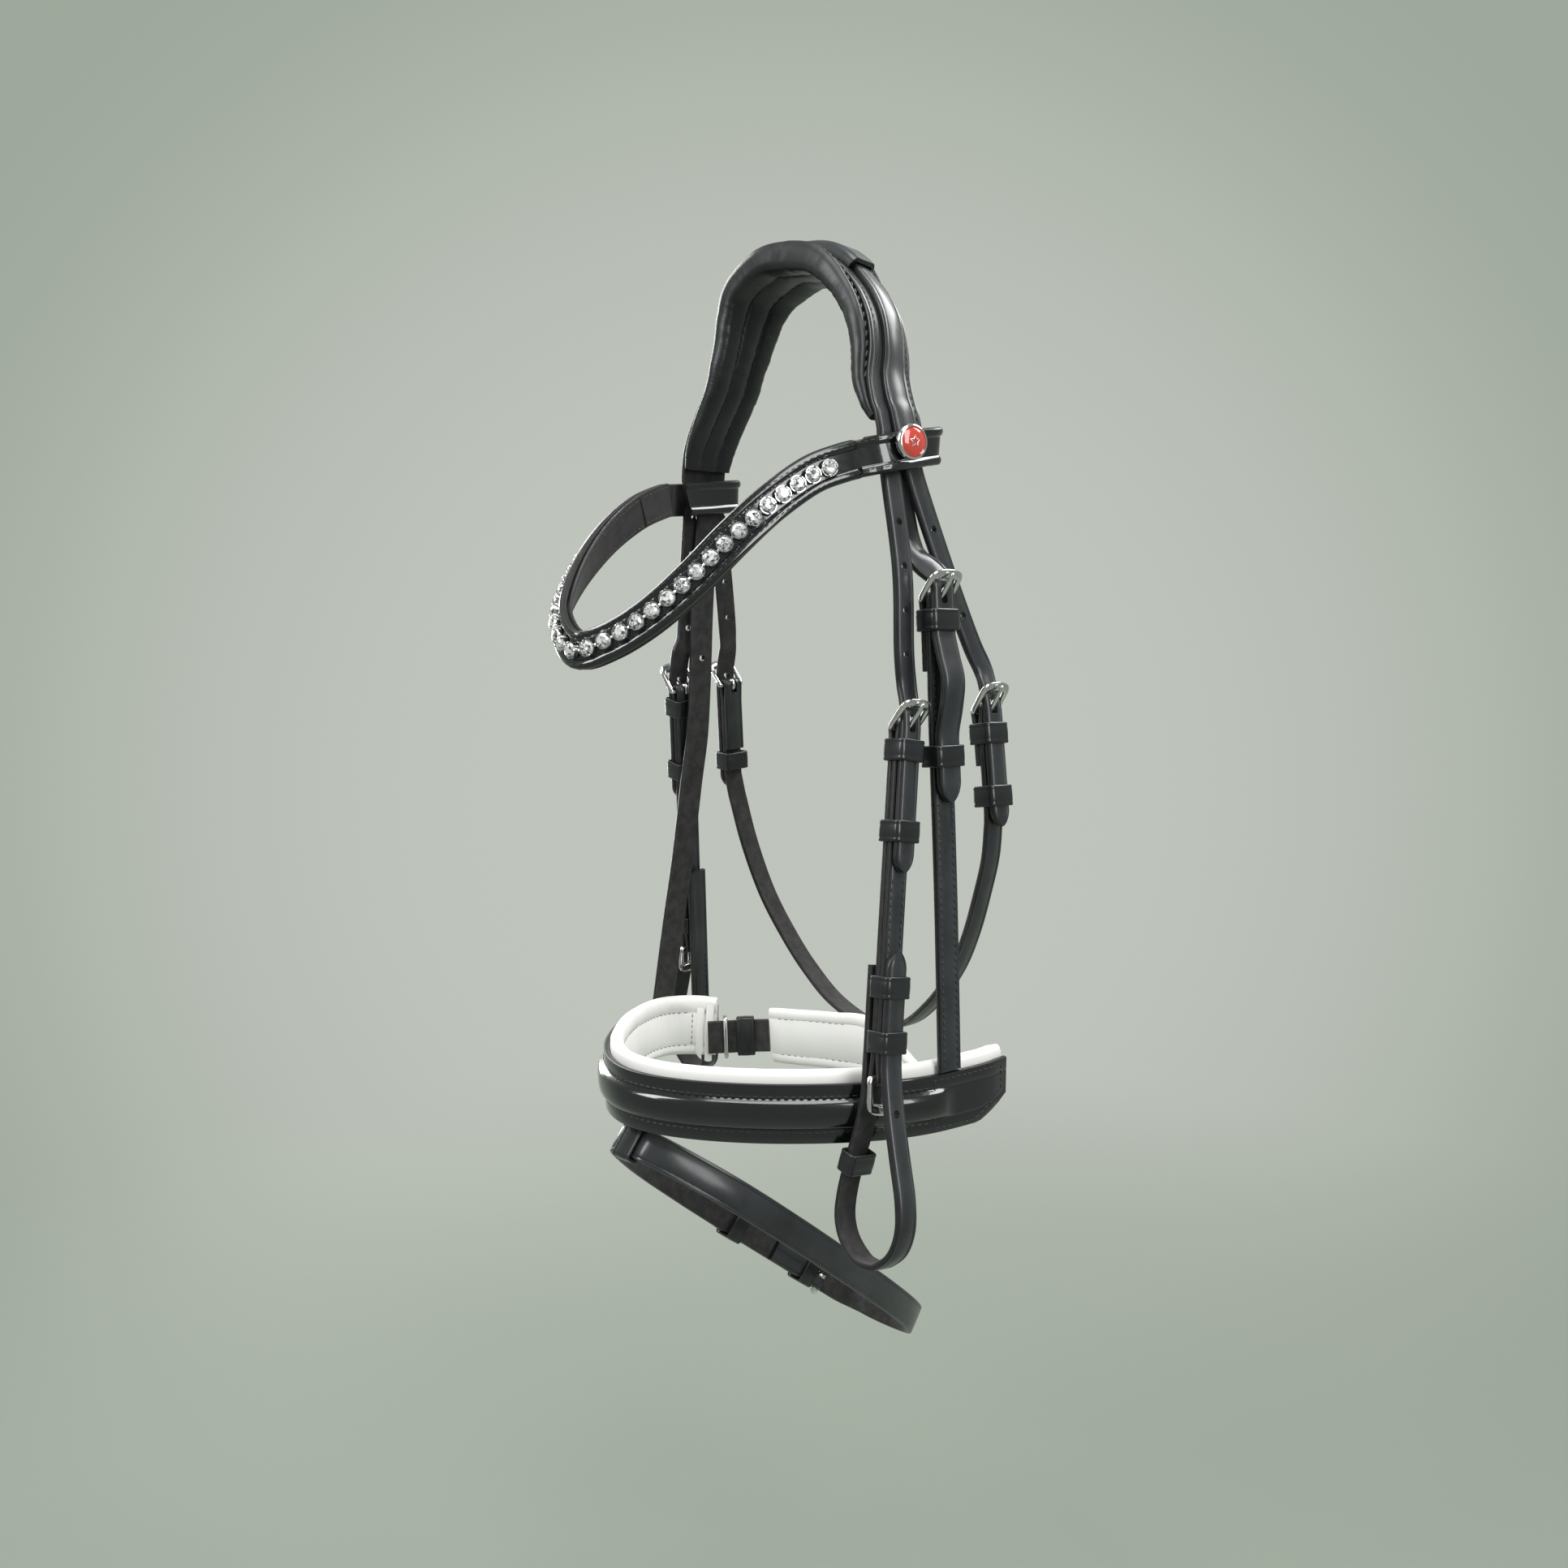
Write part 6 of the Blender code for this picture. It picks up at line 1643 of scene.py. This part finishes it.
        def on_dome(reach: float, angle: float) -> Vector:
            """Return a point on the dome at a share of the radius and an angle."""
            height = 0.93 - 0.27 * (reach / 0.66) ** 2
            around = across * math.cos(angle) + UP * math.sin(angle)
            above = out * (self.button_depth * height + 0.00005)
            return middle + around * (self.button_radius * reach) + above

        star = [on_dome(0.34 if i % 2 == 0 else 0.15, math.pi / 2 + math.pi * i / 5) for i in range(10)]
        shell.sweep(stations_on(star, [out] * 10, True), [oval(0.00028, 0.00022, 8)], [Face.GRAIN], True)
        for start in (0.15, 1.15):
            arc = [on_dome(0.56, math.pi * (start + 0.7 * step / 14)) for step in range(15)]
            shell.sweep(stations_on(arc, [out] * 15), [oval(0.0003, 0.00022, 8)], [Face.GRAIN])
        return shell.built(f"button_{side.label}_design", [NICKEL], 60.0)


@dataclass(frozen=True)
class Noseband:
    """The patent noseband with its padded white lining."""

    half_height: float = 0.012
    wall: float = 0.0024
    bulge: float = 0.0028
    bulge_ends: float = -0.006
    bulge_grows: float = 0.010
    lining: float = 0.006
    rise: float = 0.0165
    path: Table = (
        (90.0, 28.0, -335.5), (91.5, 14.0, -335.5), (89.0, -11.0, -335.5), (83.5, -29.0, -335.5),
        (75.0, -45.0, -335.5), (63.5, -61.0, -335.5), (50.0, -76.0, -335.5), (34.0, -89.5, -335.5),
        (17.0, -99.0, -335.5), (0.0, -102.5, -335.5), (-17.0, -99.0, -335.7), (-34.0, -89.5, -336.3),
        (-50.0, -76.5, -337.5), (-65.0, -62.0, -339.0), (-78.0, -47.0, -341.0), (-88.0, -32.0, -343.0),
        (-91.5, -18.5, -344.2), (-87.0, -6.0, -344.8), (-76.5, 4.5, -345.2),
    )  # fmt: skip
    # The band's section: shares of its half height, then of its wall, then of its bulge
    band: tuple[tuple[float, float, float], ...] = (
        (0.97, -1.0, 0.0), (1.0, -0.6, 0.0), (1.0, -0.35, 0.0), (0.98, -0.06, 0.0), (0.95, 0.0, 0.0),
        (0.56, 0.0, 0.0), (0.52, -0.06, 0.0), (0.485, 0.0, 0.12), (0.44, 0.0, 0.5), (0.36, 0.0, 0.8),
        (0.22, 0.0, 0.96), (0.0, 0.0, 1.02), (-0.22, 0.0, 0.96), (-0.36, 0.0, 0.8), (-0.44, 0.0, 0.5),
        (-0.485, 0.0, 0.12), (-0.52, -0.06, 0.0), (-0.56, 0.0, 0.0), (-0.95, 0.0, 0.0),
        (-0.98, -0.06, 0.0), (-1.0, -0.35, 0.0), (-1.0, -0.6, 0.0), (-0.97, -1.0, 0.0),
    )  # fmt: skip
    # The lining's section: shares of its rise, then of its thickness
    pad: tuple[tuple[float, float], ...] = (
        (-0.76, 0.02), (0.0, 0.02), (0.72, 0.02), (0.86, 0.05), (0.95, 0.18), (1.0, 0.42), (0.99, 0.66),
        (0.93, 0.88), (0.82, 1.0), (0.7, 1.0), (0.6, 0.93), (0.53, 0.82), (0.5, 0.78), (0.47, 0.82),
        (0.38, 0.9), (0.0, 0.97), (-0.36, 0.9), (-0.44, 0.82), (-0.47, 0.78), (-0.5, 0.82), (-0.58, 0.9),
        (-0.68, 0.82), (-0.74, 0.6), (-0.77, 0.3),
    )  # fmt: skip

    def stations(self) -> list[Station]:
        """Return the stations along the band's outer face."""
        points = metres(self.path)
        middle = Vector((0.0, -0.030, points[0].z))
        path = smooth_path(points, 8)
        return aligned(stations_on(path, [point - middle for point in path]), UP)

    def build(self) -> None:
        """Build the noseband."""
        stations = self.stations()
        self.build_band(stations)
        self.build_lining(stations)

    def grown(self, station: Station) -> float:
        """Return how much of its bulge the band has at a station."""
        if station.centre.x <= 0.0:
            return 1.0
        share = (self.bulge_ends - station.centre.y) / self.bulge_grows
        return math.sqrt(max(1 - (1 - min(max(share, 0.0), 1.0)) ** 2, 0.0))

    def corner(self, distance: float) -> float:
        """Return how far down the band reaches at a distance from its near end, where a corner is cut off."""
        steep, flat = 0.32 + distance / 0.004 * 0.18, 0.5 + (distance - 0.004) / 0.014 * 0.5
        return min(steep if distance < 0.004 else flat, 1.0)

    def build_band(self, stations: list[Station]) -> None:
        """Build the glossy outer band: flat edges, a padded bulge and a flat sewn tab at the near end."""
        rings = []
        gone = path_lengths(stations)
        for i, station in enumerate(stations):
            bulge = self.bulge * self.grown(station)
            end = 1.0 if 3 <= i < len(stations) - 3 else 0.985
            low = end * self.corner(gone[i])
            rings.append(
                [
                    (v * self.half_height * (end if v > 0.0 else low), n * self.wall + b * bulge)
                    for v, n, b in self.band
                ]
            )
        strap = Strap("noseband_patent", stations, rings)
        sewing = Stitching(0.0030, 0.0022, 0.0003)
        for share in (0.6, -0.6):
            strap.sew(self.half_height * share, 0.00002, 0.044, gone[-1] - 0.004, sewing)
        for share, start in ((0.82, 0.004), (-0.82, 0.0205)):
            strap.sew(self.half_height * share, 0.00002, start, 0.044, sewing)
        rows = (
            ((0.004, 0.82), (0.004, -0.1), 4),
            ((0.004, -0.1), (0.0205, -0.82), 6),
            ((0.0415, 0.82), (0.0415, -0.82), 7),
        )
        for (s, v), (s_to, v_to), count in rows:
            for number in range(count):
                ends = []
                for share in (number + 0.14, number + 0.86):
                    at, across = s + (s_to - s) * share / count, v + (v_to - v) * share / count
                    ends.append(self.place_at(stations, at).at(0.0, across * self.half_height, 0.00002))
                sewing.stitch(strap.threads, *ends, self.place_at(stations, s).out)
        kinds = [Face.EDGE] * 3 + [Face.GRAIN] * 16 + [Face.EDGE] * 3 + [Face.FLESH]
        keep(strap.built([PATENT, EDGE, FLESH, THREAD], kinds), "headpiece", "patent", "noseband_outer")

    def place_at(self, stations: list[Station], distance: float) -> Place:
        """Return the place at a distance along the band."""
        return Place.on(station_at(stations, path_lengths(stations), distance))

    def build_lining(self, stations: list[Station]) -> None:
        """Build the padded white lining, rolled over the band's top edge and sewn round its inner panel."""
        back = self.wall + STOCK.gap
        gone = path_lengths(stations)
        rings = []
        for at in gone:
            ends = min(smooth_share(at, 0.0, 0.006), smooth_share(gone[-1] - at, 0.0, 0.006))
            ring = []
            for v, n in self.pad:
                place = Vector((at, v * self.rise * 0.6, n * 0.004))
                soft = wander(place, 90.0, 2.0) * 0.00045 + wander(place, 320.0, 4.0) * 0.00016
                depth = n * self.lining * (0.82 + 0.18 * ends) + soft * smooth_share(n, 0.3, 0.8)
                low = min(self.corner(at), 0.84 + 0.16 * smooth_share(at, 0.0, 0.03)) if v < 0.0 else 1.0
                ring.append((v * self.rise * (0.97 + 0.03 * ends) * low, -back - depth))
            rings.append(ring)
        shell = Shell().sweep(stations, rings, [Face.GRAIN])
        sewing = Stitching(0.0042, 0.0018, 0.00022)
        for share in (0.5, -0.47):
            n = -back - self.lining * 0.79
            sewing.row(shell, stations, share * self.rise, n, 0.020, gone[-1] - 0.012)
        place = self.place_at(stations, gone[-1] - 0.0125)
        for number in range(6):
            v = (-0.38 + 0.16 * number) * self.rise
            n = -back - self.lining * 0.95
            sewing.stitch(shell, place.at(0.0, v - 0.0009, n), place.at(0.0, v + 0.0009, n), -place.out)
        self.build_lap(shell, stations, gone[-1])
        pad = shell.built("noseband_white_pad", [WHITE, WHITE, WHITE, DARK_THREAD], 60.0)
        keep(pad, "headpiece", "white_lining", "noseband_lining")

    def build_lap(self, shell: Shell, stations: list[Station], length: float) -> None:
        """Add the two laps of lining folded over at the far end."""
        back = self.wall + STOCK.gap + self.lining
        for at, reach in ((length - 0.0075, 0.7), (length - 0.0028, 0.9)):
            place = self.place_at(stations, at)
            path = [place.station(s, -back + 0.0002) for s in (-0.0018, 0.0, 0.0018)]
            path = [replace(station, across=place.across) for station in path]
            ring = [(v * self.rise * reach - 0.0005, n * 0.0008) for v, n in oval(1.0, 1.0, 20)]
            end = [(v, n * 0.3) for v, n in narrowed(ring, 0.97)]
            shell.sweep(path, [end, ring, end], [Face.GRAIN])


@dataclass(frozen=True)
class ChinPiece:
    """What closes the noseband under the chin: a white pad, a black link, its roller and its keeper."""

    half_height: float = 0.0135
    thickness: float = 0.006
    link_half: float = 0.008
    link_thickness: float = 0.003
    wire: float = 0.0011
    pad: Table = (
        (-50.0, 18.0, -345.0), (-32.0, 20.0, -342.5), (-8.0, 22.0, -339.0), (16.0, 23.0, -337.0),
        (42.0, 25.0, -346.5), (64.0, 26.6, -344.5), (81.0, 27.0, -341.5),
    )  # fmt: skip
    heights: tuple[float, ...] = (1.0, 1.0, 1.0, 1.0, 0.56, 0.56, 0.56)
    link: Table = ((-71.2, -5.6, -346.6), (-66.0, 1.4, -346.4), (-60.0, 9.2, -346.0), (-51.4, 17.2, -345.3))
    # The pad's section: shares of its half height, then of half its thickness
    section: tuple[tuple[float, float], ...] = (
        (1.0, 0.0), (0.97, 0.5), (0.88, 0.84), (0.76, 0.98), (0.68, 0.88), (0.64, 0.78), (0.6, 0.88),
        (0.45, 0.98), (0.0, 1.02), (-0.45, 0.98), (-0.6, 0.88), (-0.64, 0.78), (-0.68, 0.88),
        (-0.76, 0.98), (-0.88, 0.84), (-0.97, 0.5), (-1.0, 0.0), (-0.95, -0.6), (-0.82, -0.88),
        (-0.66, -0.84), (-0.64, -0.76), (-0.62, -0.84), (0.0, -0.92), (0.62, -0.84), (0.64, -0.76),
        (0.66, -0.84), (0.82, -0.88), (0.95, -0.6),
    )  # fmt: skip

    def build(self) -> None:
        """Build the chin piece."""
        back = Vector((0.0, 1.0, 0.0))
        points = metres(self.pad)
        self.build_pad(aligned(smooth_stations(points, [back] * len(points), 9), UP))
        points = metres(self.link)
        self.build_link(aligned(smooth_stations(points, [back] * len(points), 8), UP), points)

    def build_pad(self, stations: list[Station]) -> None:
        """Build the white pad with its two sewn channels."""
        gone = path_lengths(stations)
        heights = smooth_path([Vector((share, 0.0, 0.0)) for share in self.heights], 9)
        rings = []
        for at, height in zip(gone, heights):
            end = min(at, gone[-1] - at)
            full = math.sqrt(min(0.35 + 0.65 * end / 0.006, 1.0)) if end < 0.006 else 1.0
            ring = []
            for v, n in self.section:
                soft = wander(Vector((at, v * 0.01, n * 0.003)), 110.0, 6.0) * 0.0004
                wide = self.half_height * height.x * (0.96 + 0.04 * full)
                ring.append((v * wide, n * self.thickness / 2 * full + soft * abs(n)))
            rings.append(ring)
        shell = Shell().sweep(stations, rings, [Face.GRAIN])
        sewing = Stitching(0.0042, 0.0019, 0.00022)
        for share in (0.64, -0.64):
            for side in (1.0, -1.0):
                v, n = share * self.half_height, side * self.thickness * 0.385
                sewing.row(shell, stations, v, n, 0.006, gone[-1] * 0.52)
        pad = shell.built("chin_white_pad", [WHITE, WHITE, WHITE, DARK_THREAD], 60.0)
        keep(pad, "headpiece", "white_lining", "chin_pad")

    def build_link(self, stations: list[Station], points: list[Vector]) -> None:
        """Build the link, its roller and its keeper."""
        width = self.link_half * 2
        strap = Strap("chin_link_strap", stations, [strap_ring(width, self.link_thickness)])
        keep(strap.built(), "headpiece", "leather", "chin_link")
        half = self.link_thickness / 2 + STOCK.gap
        place = nearest_place(stations, points[1])
        path = Keeper(width, half, half, self.wire * 2, corner=0.0016).path(place)
        roller = Shell().sweep(path, [oval(self.wire, self.wire)], [Face.GRAIN], True)
        keep(roller.built("chin_roller_wire", [NICKEL], 80.0), "headpiece", "nickel", "chin_roller")
        place = nearest_place(stations, points[2])
        Keeper(width, half, half).built("chin_keeper", place, "headpiece", "leather")


@dataclass(frozen=True)
class Flash:
    """The flash strap: a ring that slopes down to the back from the noseband's front."""

    width: float = 0.013
    half_span: float = 0.039
    length: float = 0.197
    slope: float = 39.5
    roll: float = 5.0
    keeper_at: float = 0.009
    runner_at: float = 0.060
    tip_at: float = 0.067
    tail_at: float = 0.034
    front: tuple[float, float, float] = (0.0, -0.098, -0.3557)
    bar: tuple[tuple[float, float], ...] = ((-0.76, 0.85), (-0.98, 0.48))
    # Shares of the half span and of the length, from the far side by the front and near side to the back
    path: tuple[tuple[float, float], ...] = (
        (-0.99, 0.36), (-0.87, 0.19), (-0.56, 0.065), (-0.3, 0.008), (-0.13, 0.0), (0.13, 0.0), (0.3, 0.008),
        (0.56, 0.065), (0.87, 0.19), (0.99, 0.36), (1.0, 0.54), (0.94, 0.72), (0.76, 0.87), (0.44, 0.97),
        (0.06, 1.0), (-0.26, 0.99), (-0.48, 0.955),
    )  # fmt: skip

    @property
    def side(self) -> Vector:
        """Return the direction across the ring to the near side."""
        roll = math.radians(self.roll)
        return Vector((math.cos(roll), 0.0, math.sin(roll)))

    @property
    def back(self) -> Vector:
        """Return the direction along the ring to the back."""
        slope = math.radians(self.slope)
        return Vector((0.0, math.cos(slope), -math.sin(slope)))

    @property
    def normal(self) -> Vector:
        """Return the way that faces up from the ring's plane."""
        return self.side.cross(self.back).normalized()

    def point(self, side_share: float, length_share: float) -> Vector:
        """Return the point of the ring's plane at these shares."""
        across = self.side * (side_share * self.half_span)
        return Vector(self.front) + across + self.back * (length_share * self.length)

    def build(self) -> None:
        """Build the flash strap, its fittings and the sleeve that hangs it."""
        bar, below = (self.point(*shares) for shares in self.bar)
        place = Place.along(bar, below, Side.FAR.outward, self.normal)
        self.build_strap(place, (below - bar).length)
        Buckle(self.width).built("flash_{}", place, True, "flash", "flash_tongue_body")
        loop = strap_keeper(self.width)
        loop.built("flash_keeper", place.moved(s=self.keeper_at), "flash")
        loop.built("flash_runner", place.moved(s=self.runner_at), "flash_runner_body")
        self.build_sleeve()

    def build_strap(self, place: Place, reach: float) -> None:
        """Build the strap round to its own buckle."""
        first, rings = fold_end(place, self.tail_at, self.width, self.tip_at)
        points = [self.point(*shares) for shares in self.path]
        middle = self.point(0.0, 0.5)
        points = [place.at(reach, 0.0, STOCK.layer), *points]
        above = through_buckle(points, [point - middle for point in points], place, 6)
        above = aligned(above, first[-1].across)
        end, end_rings = tip(place, self.width, self.tip_at, STOCK.billet_middle, False)
        path = [place.station(self.tip_at * share, STOCK.billet_middle) for share in (0.3, 0.6)]
        flat = [strap_ring(self.width, STOCK.leather)]
        rest = aligned(above + path + end, first[-1].across)
        strap = Strap("flash_strap_long", first + rest, rings + flat * (len(above) + 2) + end_rings)
        strap.slot(place, -STOCK.slot_above, STOCK.fold_slot_below, STOCK.billet_middle * 2)
        for v in both_sides(self.width, 0.0024):
            strap.sew(v, STOCK.leather / 2, 0.012, 0.046)
        keep(strap.built(), "flash", "leather", "flash_strap")

    def build_sleeve(self) -> None:
        """Build the sleeve under the noseband's front that the strap runs through."""
        out = self.normal.cross(self.side)
        hung = Place(self.point(0.0, 0.0), self.side, self.normal, -out if out.y > 0.0 else out)
        half = STOCK.leather / 2 + STOCK.gap * 2
        sleeve = Keeper(self.width, half, half, length=STOCK.keeper_width * 1.35)
        sleeve.built("flash_loop", hung, "flash", "leather")


@dataclass(frozen=True)
class Studio:
    """The floor, lights, backdrop and camera."""

    floor_height: float = -0.62
    floor_half: float = 3.0
    floor_fades: tuple[float, float] = (0.2, 0.9)
    floor_tone: tuple[float, float, float] = (0.21, 0.235, 0.2)
    backdrop: tuple[float, float, float] = (0.52, 0.55, 0.50)
    # The backdrop's colour towards the picture's corners, darker as painted shade
    corners: tuple[float, float, float] = (0.345, 0.39, 0.33)
    room: tuple[float, float, float] = (0.27, 0.295, 0.275)
    faced: tuple[float, float, float] = (0.0, 0.0, -0.2)
    camera_at: tuple[float, float, float] = (0.4583, -0.4043, -0.145)
    azimuth: float = 49.8
    tilt: float = -6.6
    lens: float = 31.88
    # Where each lamp stands, its width and height, and its power
    lamps: tuple[tuple[tuple[float, float, float], float, float, float], ...] = (
        ((-0.35, -1.15, 0.55), 0.45, 0.9, 11.5),
        ((1.25, -0.15, 0.45), 0.6, 1.2, 13.0),
        ((0.2, 0.9, 0.75), 1.0, 0.5, 12.0),
        ((-1.1, 0.1, 0.1), 0.3, 1.1, 10.0),
        ((0.1, -0.2, 1.1), 0.7, 0.7, 7.5),
    )

    def build(self) -> None:
        """Build the studio."""
        bpy.context.scene.view_settings.view_transform = "Standard"
        self.build_floor()
        self.build_world()
        for number, (at, width, height, power) in enumerate(self.lamps):
            self.build_lamp(f"softbox_{number}", Vector(at), width, height, power)
        self.build_camera()

    def build_floor(self) -> None:
        """Build a pale floor that keeps the bridle's faint shadow and fades into the backdrop."""
        mesh = bpy.data.meshes.new("floor")
        half, corners = self.floor_half, ((-1, -1), (1, -1), (1, 1), (-1, 1))
        mesh.from_pydata([(half * x, half * y, self.floor_height) for x, y in corners], [], [(0, 1, 2, 3)])
        floor = bpy.data.objects.new("floor", mesh)
        bpy.context.scene.collection.objects.link(floor)
        made = bpy.data.materials.new("pale_floor")
        made.use_nodes = True
        graph = Graph(made)
        graph.shader.inputs["Roughness"].default_value = 0.9
        paler = tuple(value * 1.06 for value in self.floor_tone)
        graph.feed("Base Color", graph.mixed(graph.noise(1.5, 2.0), (*self.floor_tone, 1.0), (*paler, 1.0)))
        away = graph.add("ShaderNodeVectorMath", {"operation": "LENGTH"}, {0: graph.where(False, (1, 1, 0))})
        graph.feed("Alpha", 1.0 - Value(graph, away.outputs["Value"]).between(*self.floor_fades))
        mesh.materials.append(made)

    def build_world(self) -> None:
        """Light the scene softly from all round, with a pale backdrop behind the bridle that darkens towards
        the picture's corners in painted shade.
        """
        world = bpy.data.worlds.new("studio")
        world.use_nodes = True
        bpy.context.scene.world = world
        graph = Graph(world)
        tilt, azimuth = math.radians(self.tilt), math.radians(self.azimuth)
        ahead = (-math.sin(azimuth) * math.cos(tilt), math.cos(azimuth) * math.cos(tilt), math.sin(tilt))
        way = graph.add("ShaderNodeTexCoord").outputs["Generated"]
        turned = graph.add("ShaderNodeVectorMath", {"operation": "DOT_PRODUCT"}, {0: way, 1: ahead})
        facing = Value(graph, turned.outputs["Value"])
        # The backdrop darkens from its middle towards the picture's corners: painted shade, a vignette
        wall = graph.mixed(facing.between(0.80, 0.985), (*self.corners, 1.0), (*self.backdrop, 1.0))
        graph.feed("Color", graph.mixed(facing.between(0.2, 0.74), (*self.room, 1.0), wall))

    def build_lamp(self, name: str, at: Vector, width: float, height: float, power: float) -> None:
        """Build a softbox that faces the bridle."""
        light = bpy.data.lights.new(name, "AREA")
        light.shape, light.size, light.size_y, light.energy = "RECTANGLE", width, height, power
        lamp = bpy.data.objects.new(name, light)
        lamp.location = at
        lamp.rotation_euler = (Vector(self.faced) - at).to_track_quat("-Z", "Y").to_euler()
        bpy.context.scene.collection.objects.link(lamp)

    def build_camera(self) -> None:
        """Set the camera that sees the bridle from its near front."""
        data = bpy.data.cameras.new("camera")
        data.lens, data.sensor_width = self.lens, 36.0
        camera = bpy.data.objects.new("camera", data)
        camera.location = self.camera_at
        camera.rotation_euler = (math.radians(90.0 + self.tilt), 0.0, math.radians(self.azimuth))
        bpy.context.scene.collection.objects.link(camera)
        bpy.context.scene.camera = camera


def main() -> None:
    """Build the bridle, dress it and set it before the studio's camera."""
    logging.basicConfig(level=logging.INFO, format="%(name)s: %(message)s")
    crown = Headpiece().build()
    Browband().build()
    NEAR_CHEEKPIECE.build()
    FAR_CHEEKPIECE.build()
    NosebandStraps().build(crown)
    THROATLATCH.build()
    Noseband().build()
    ChinPiece().build()
    Flash().build()
    Studio().build()


if __name__ == "__main__":
    main()
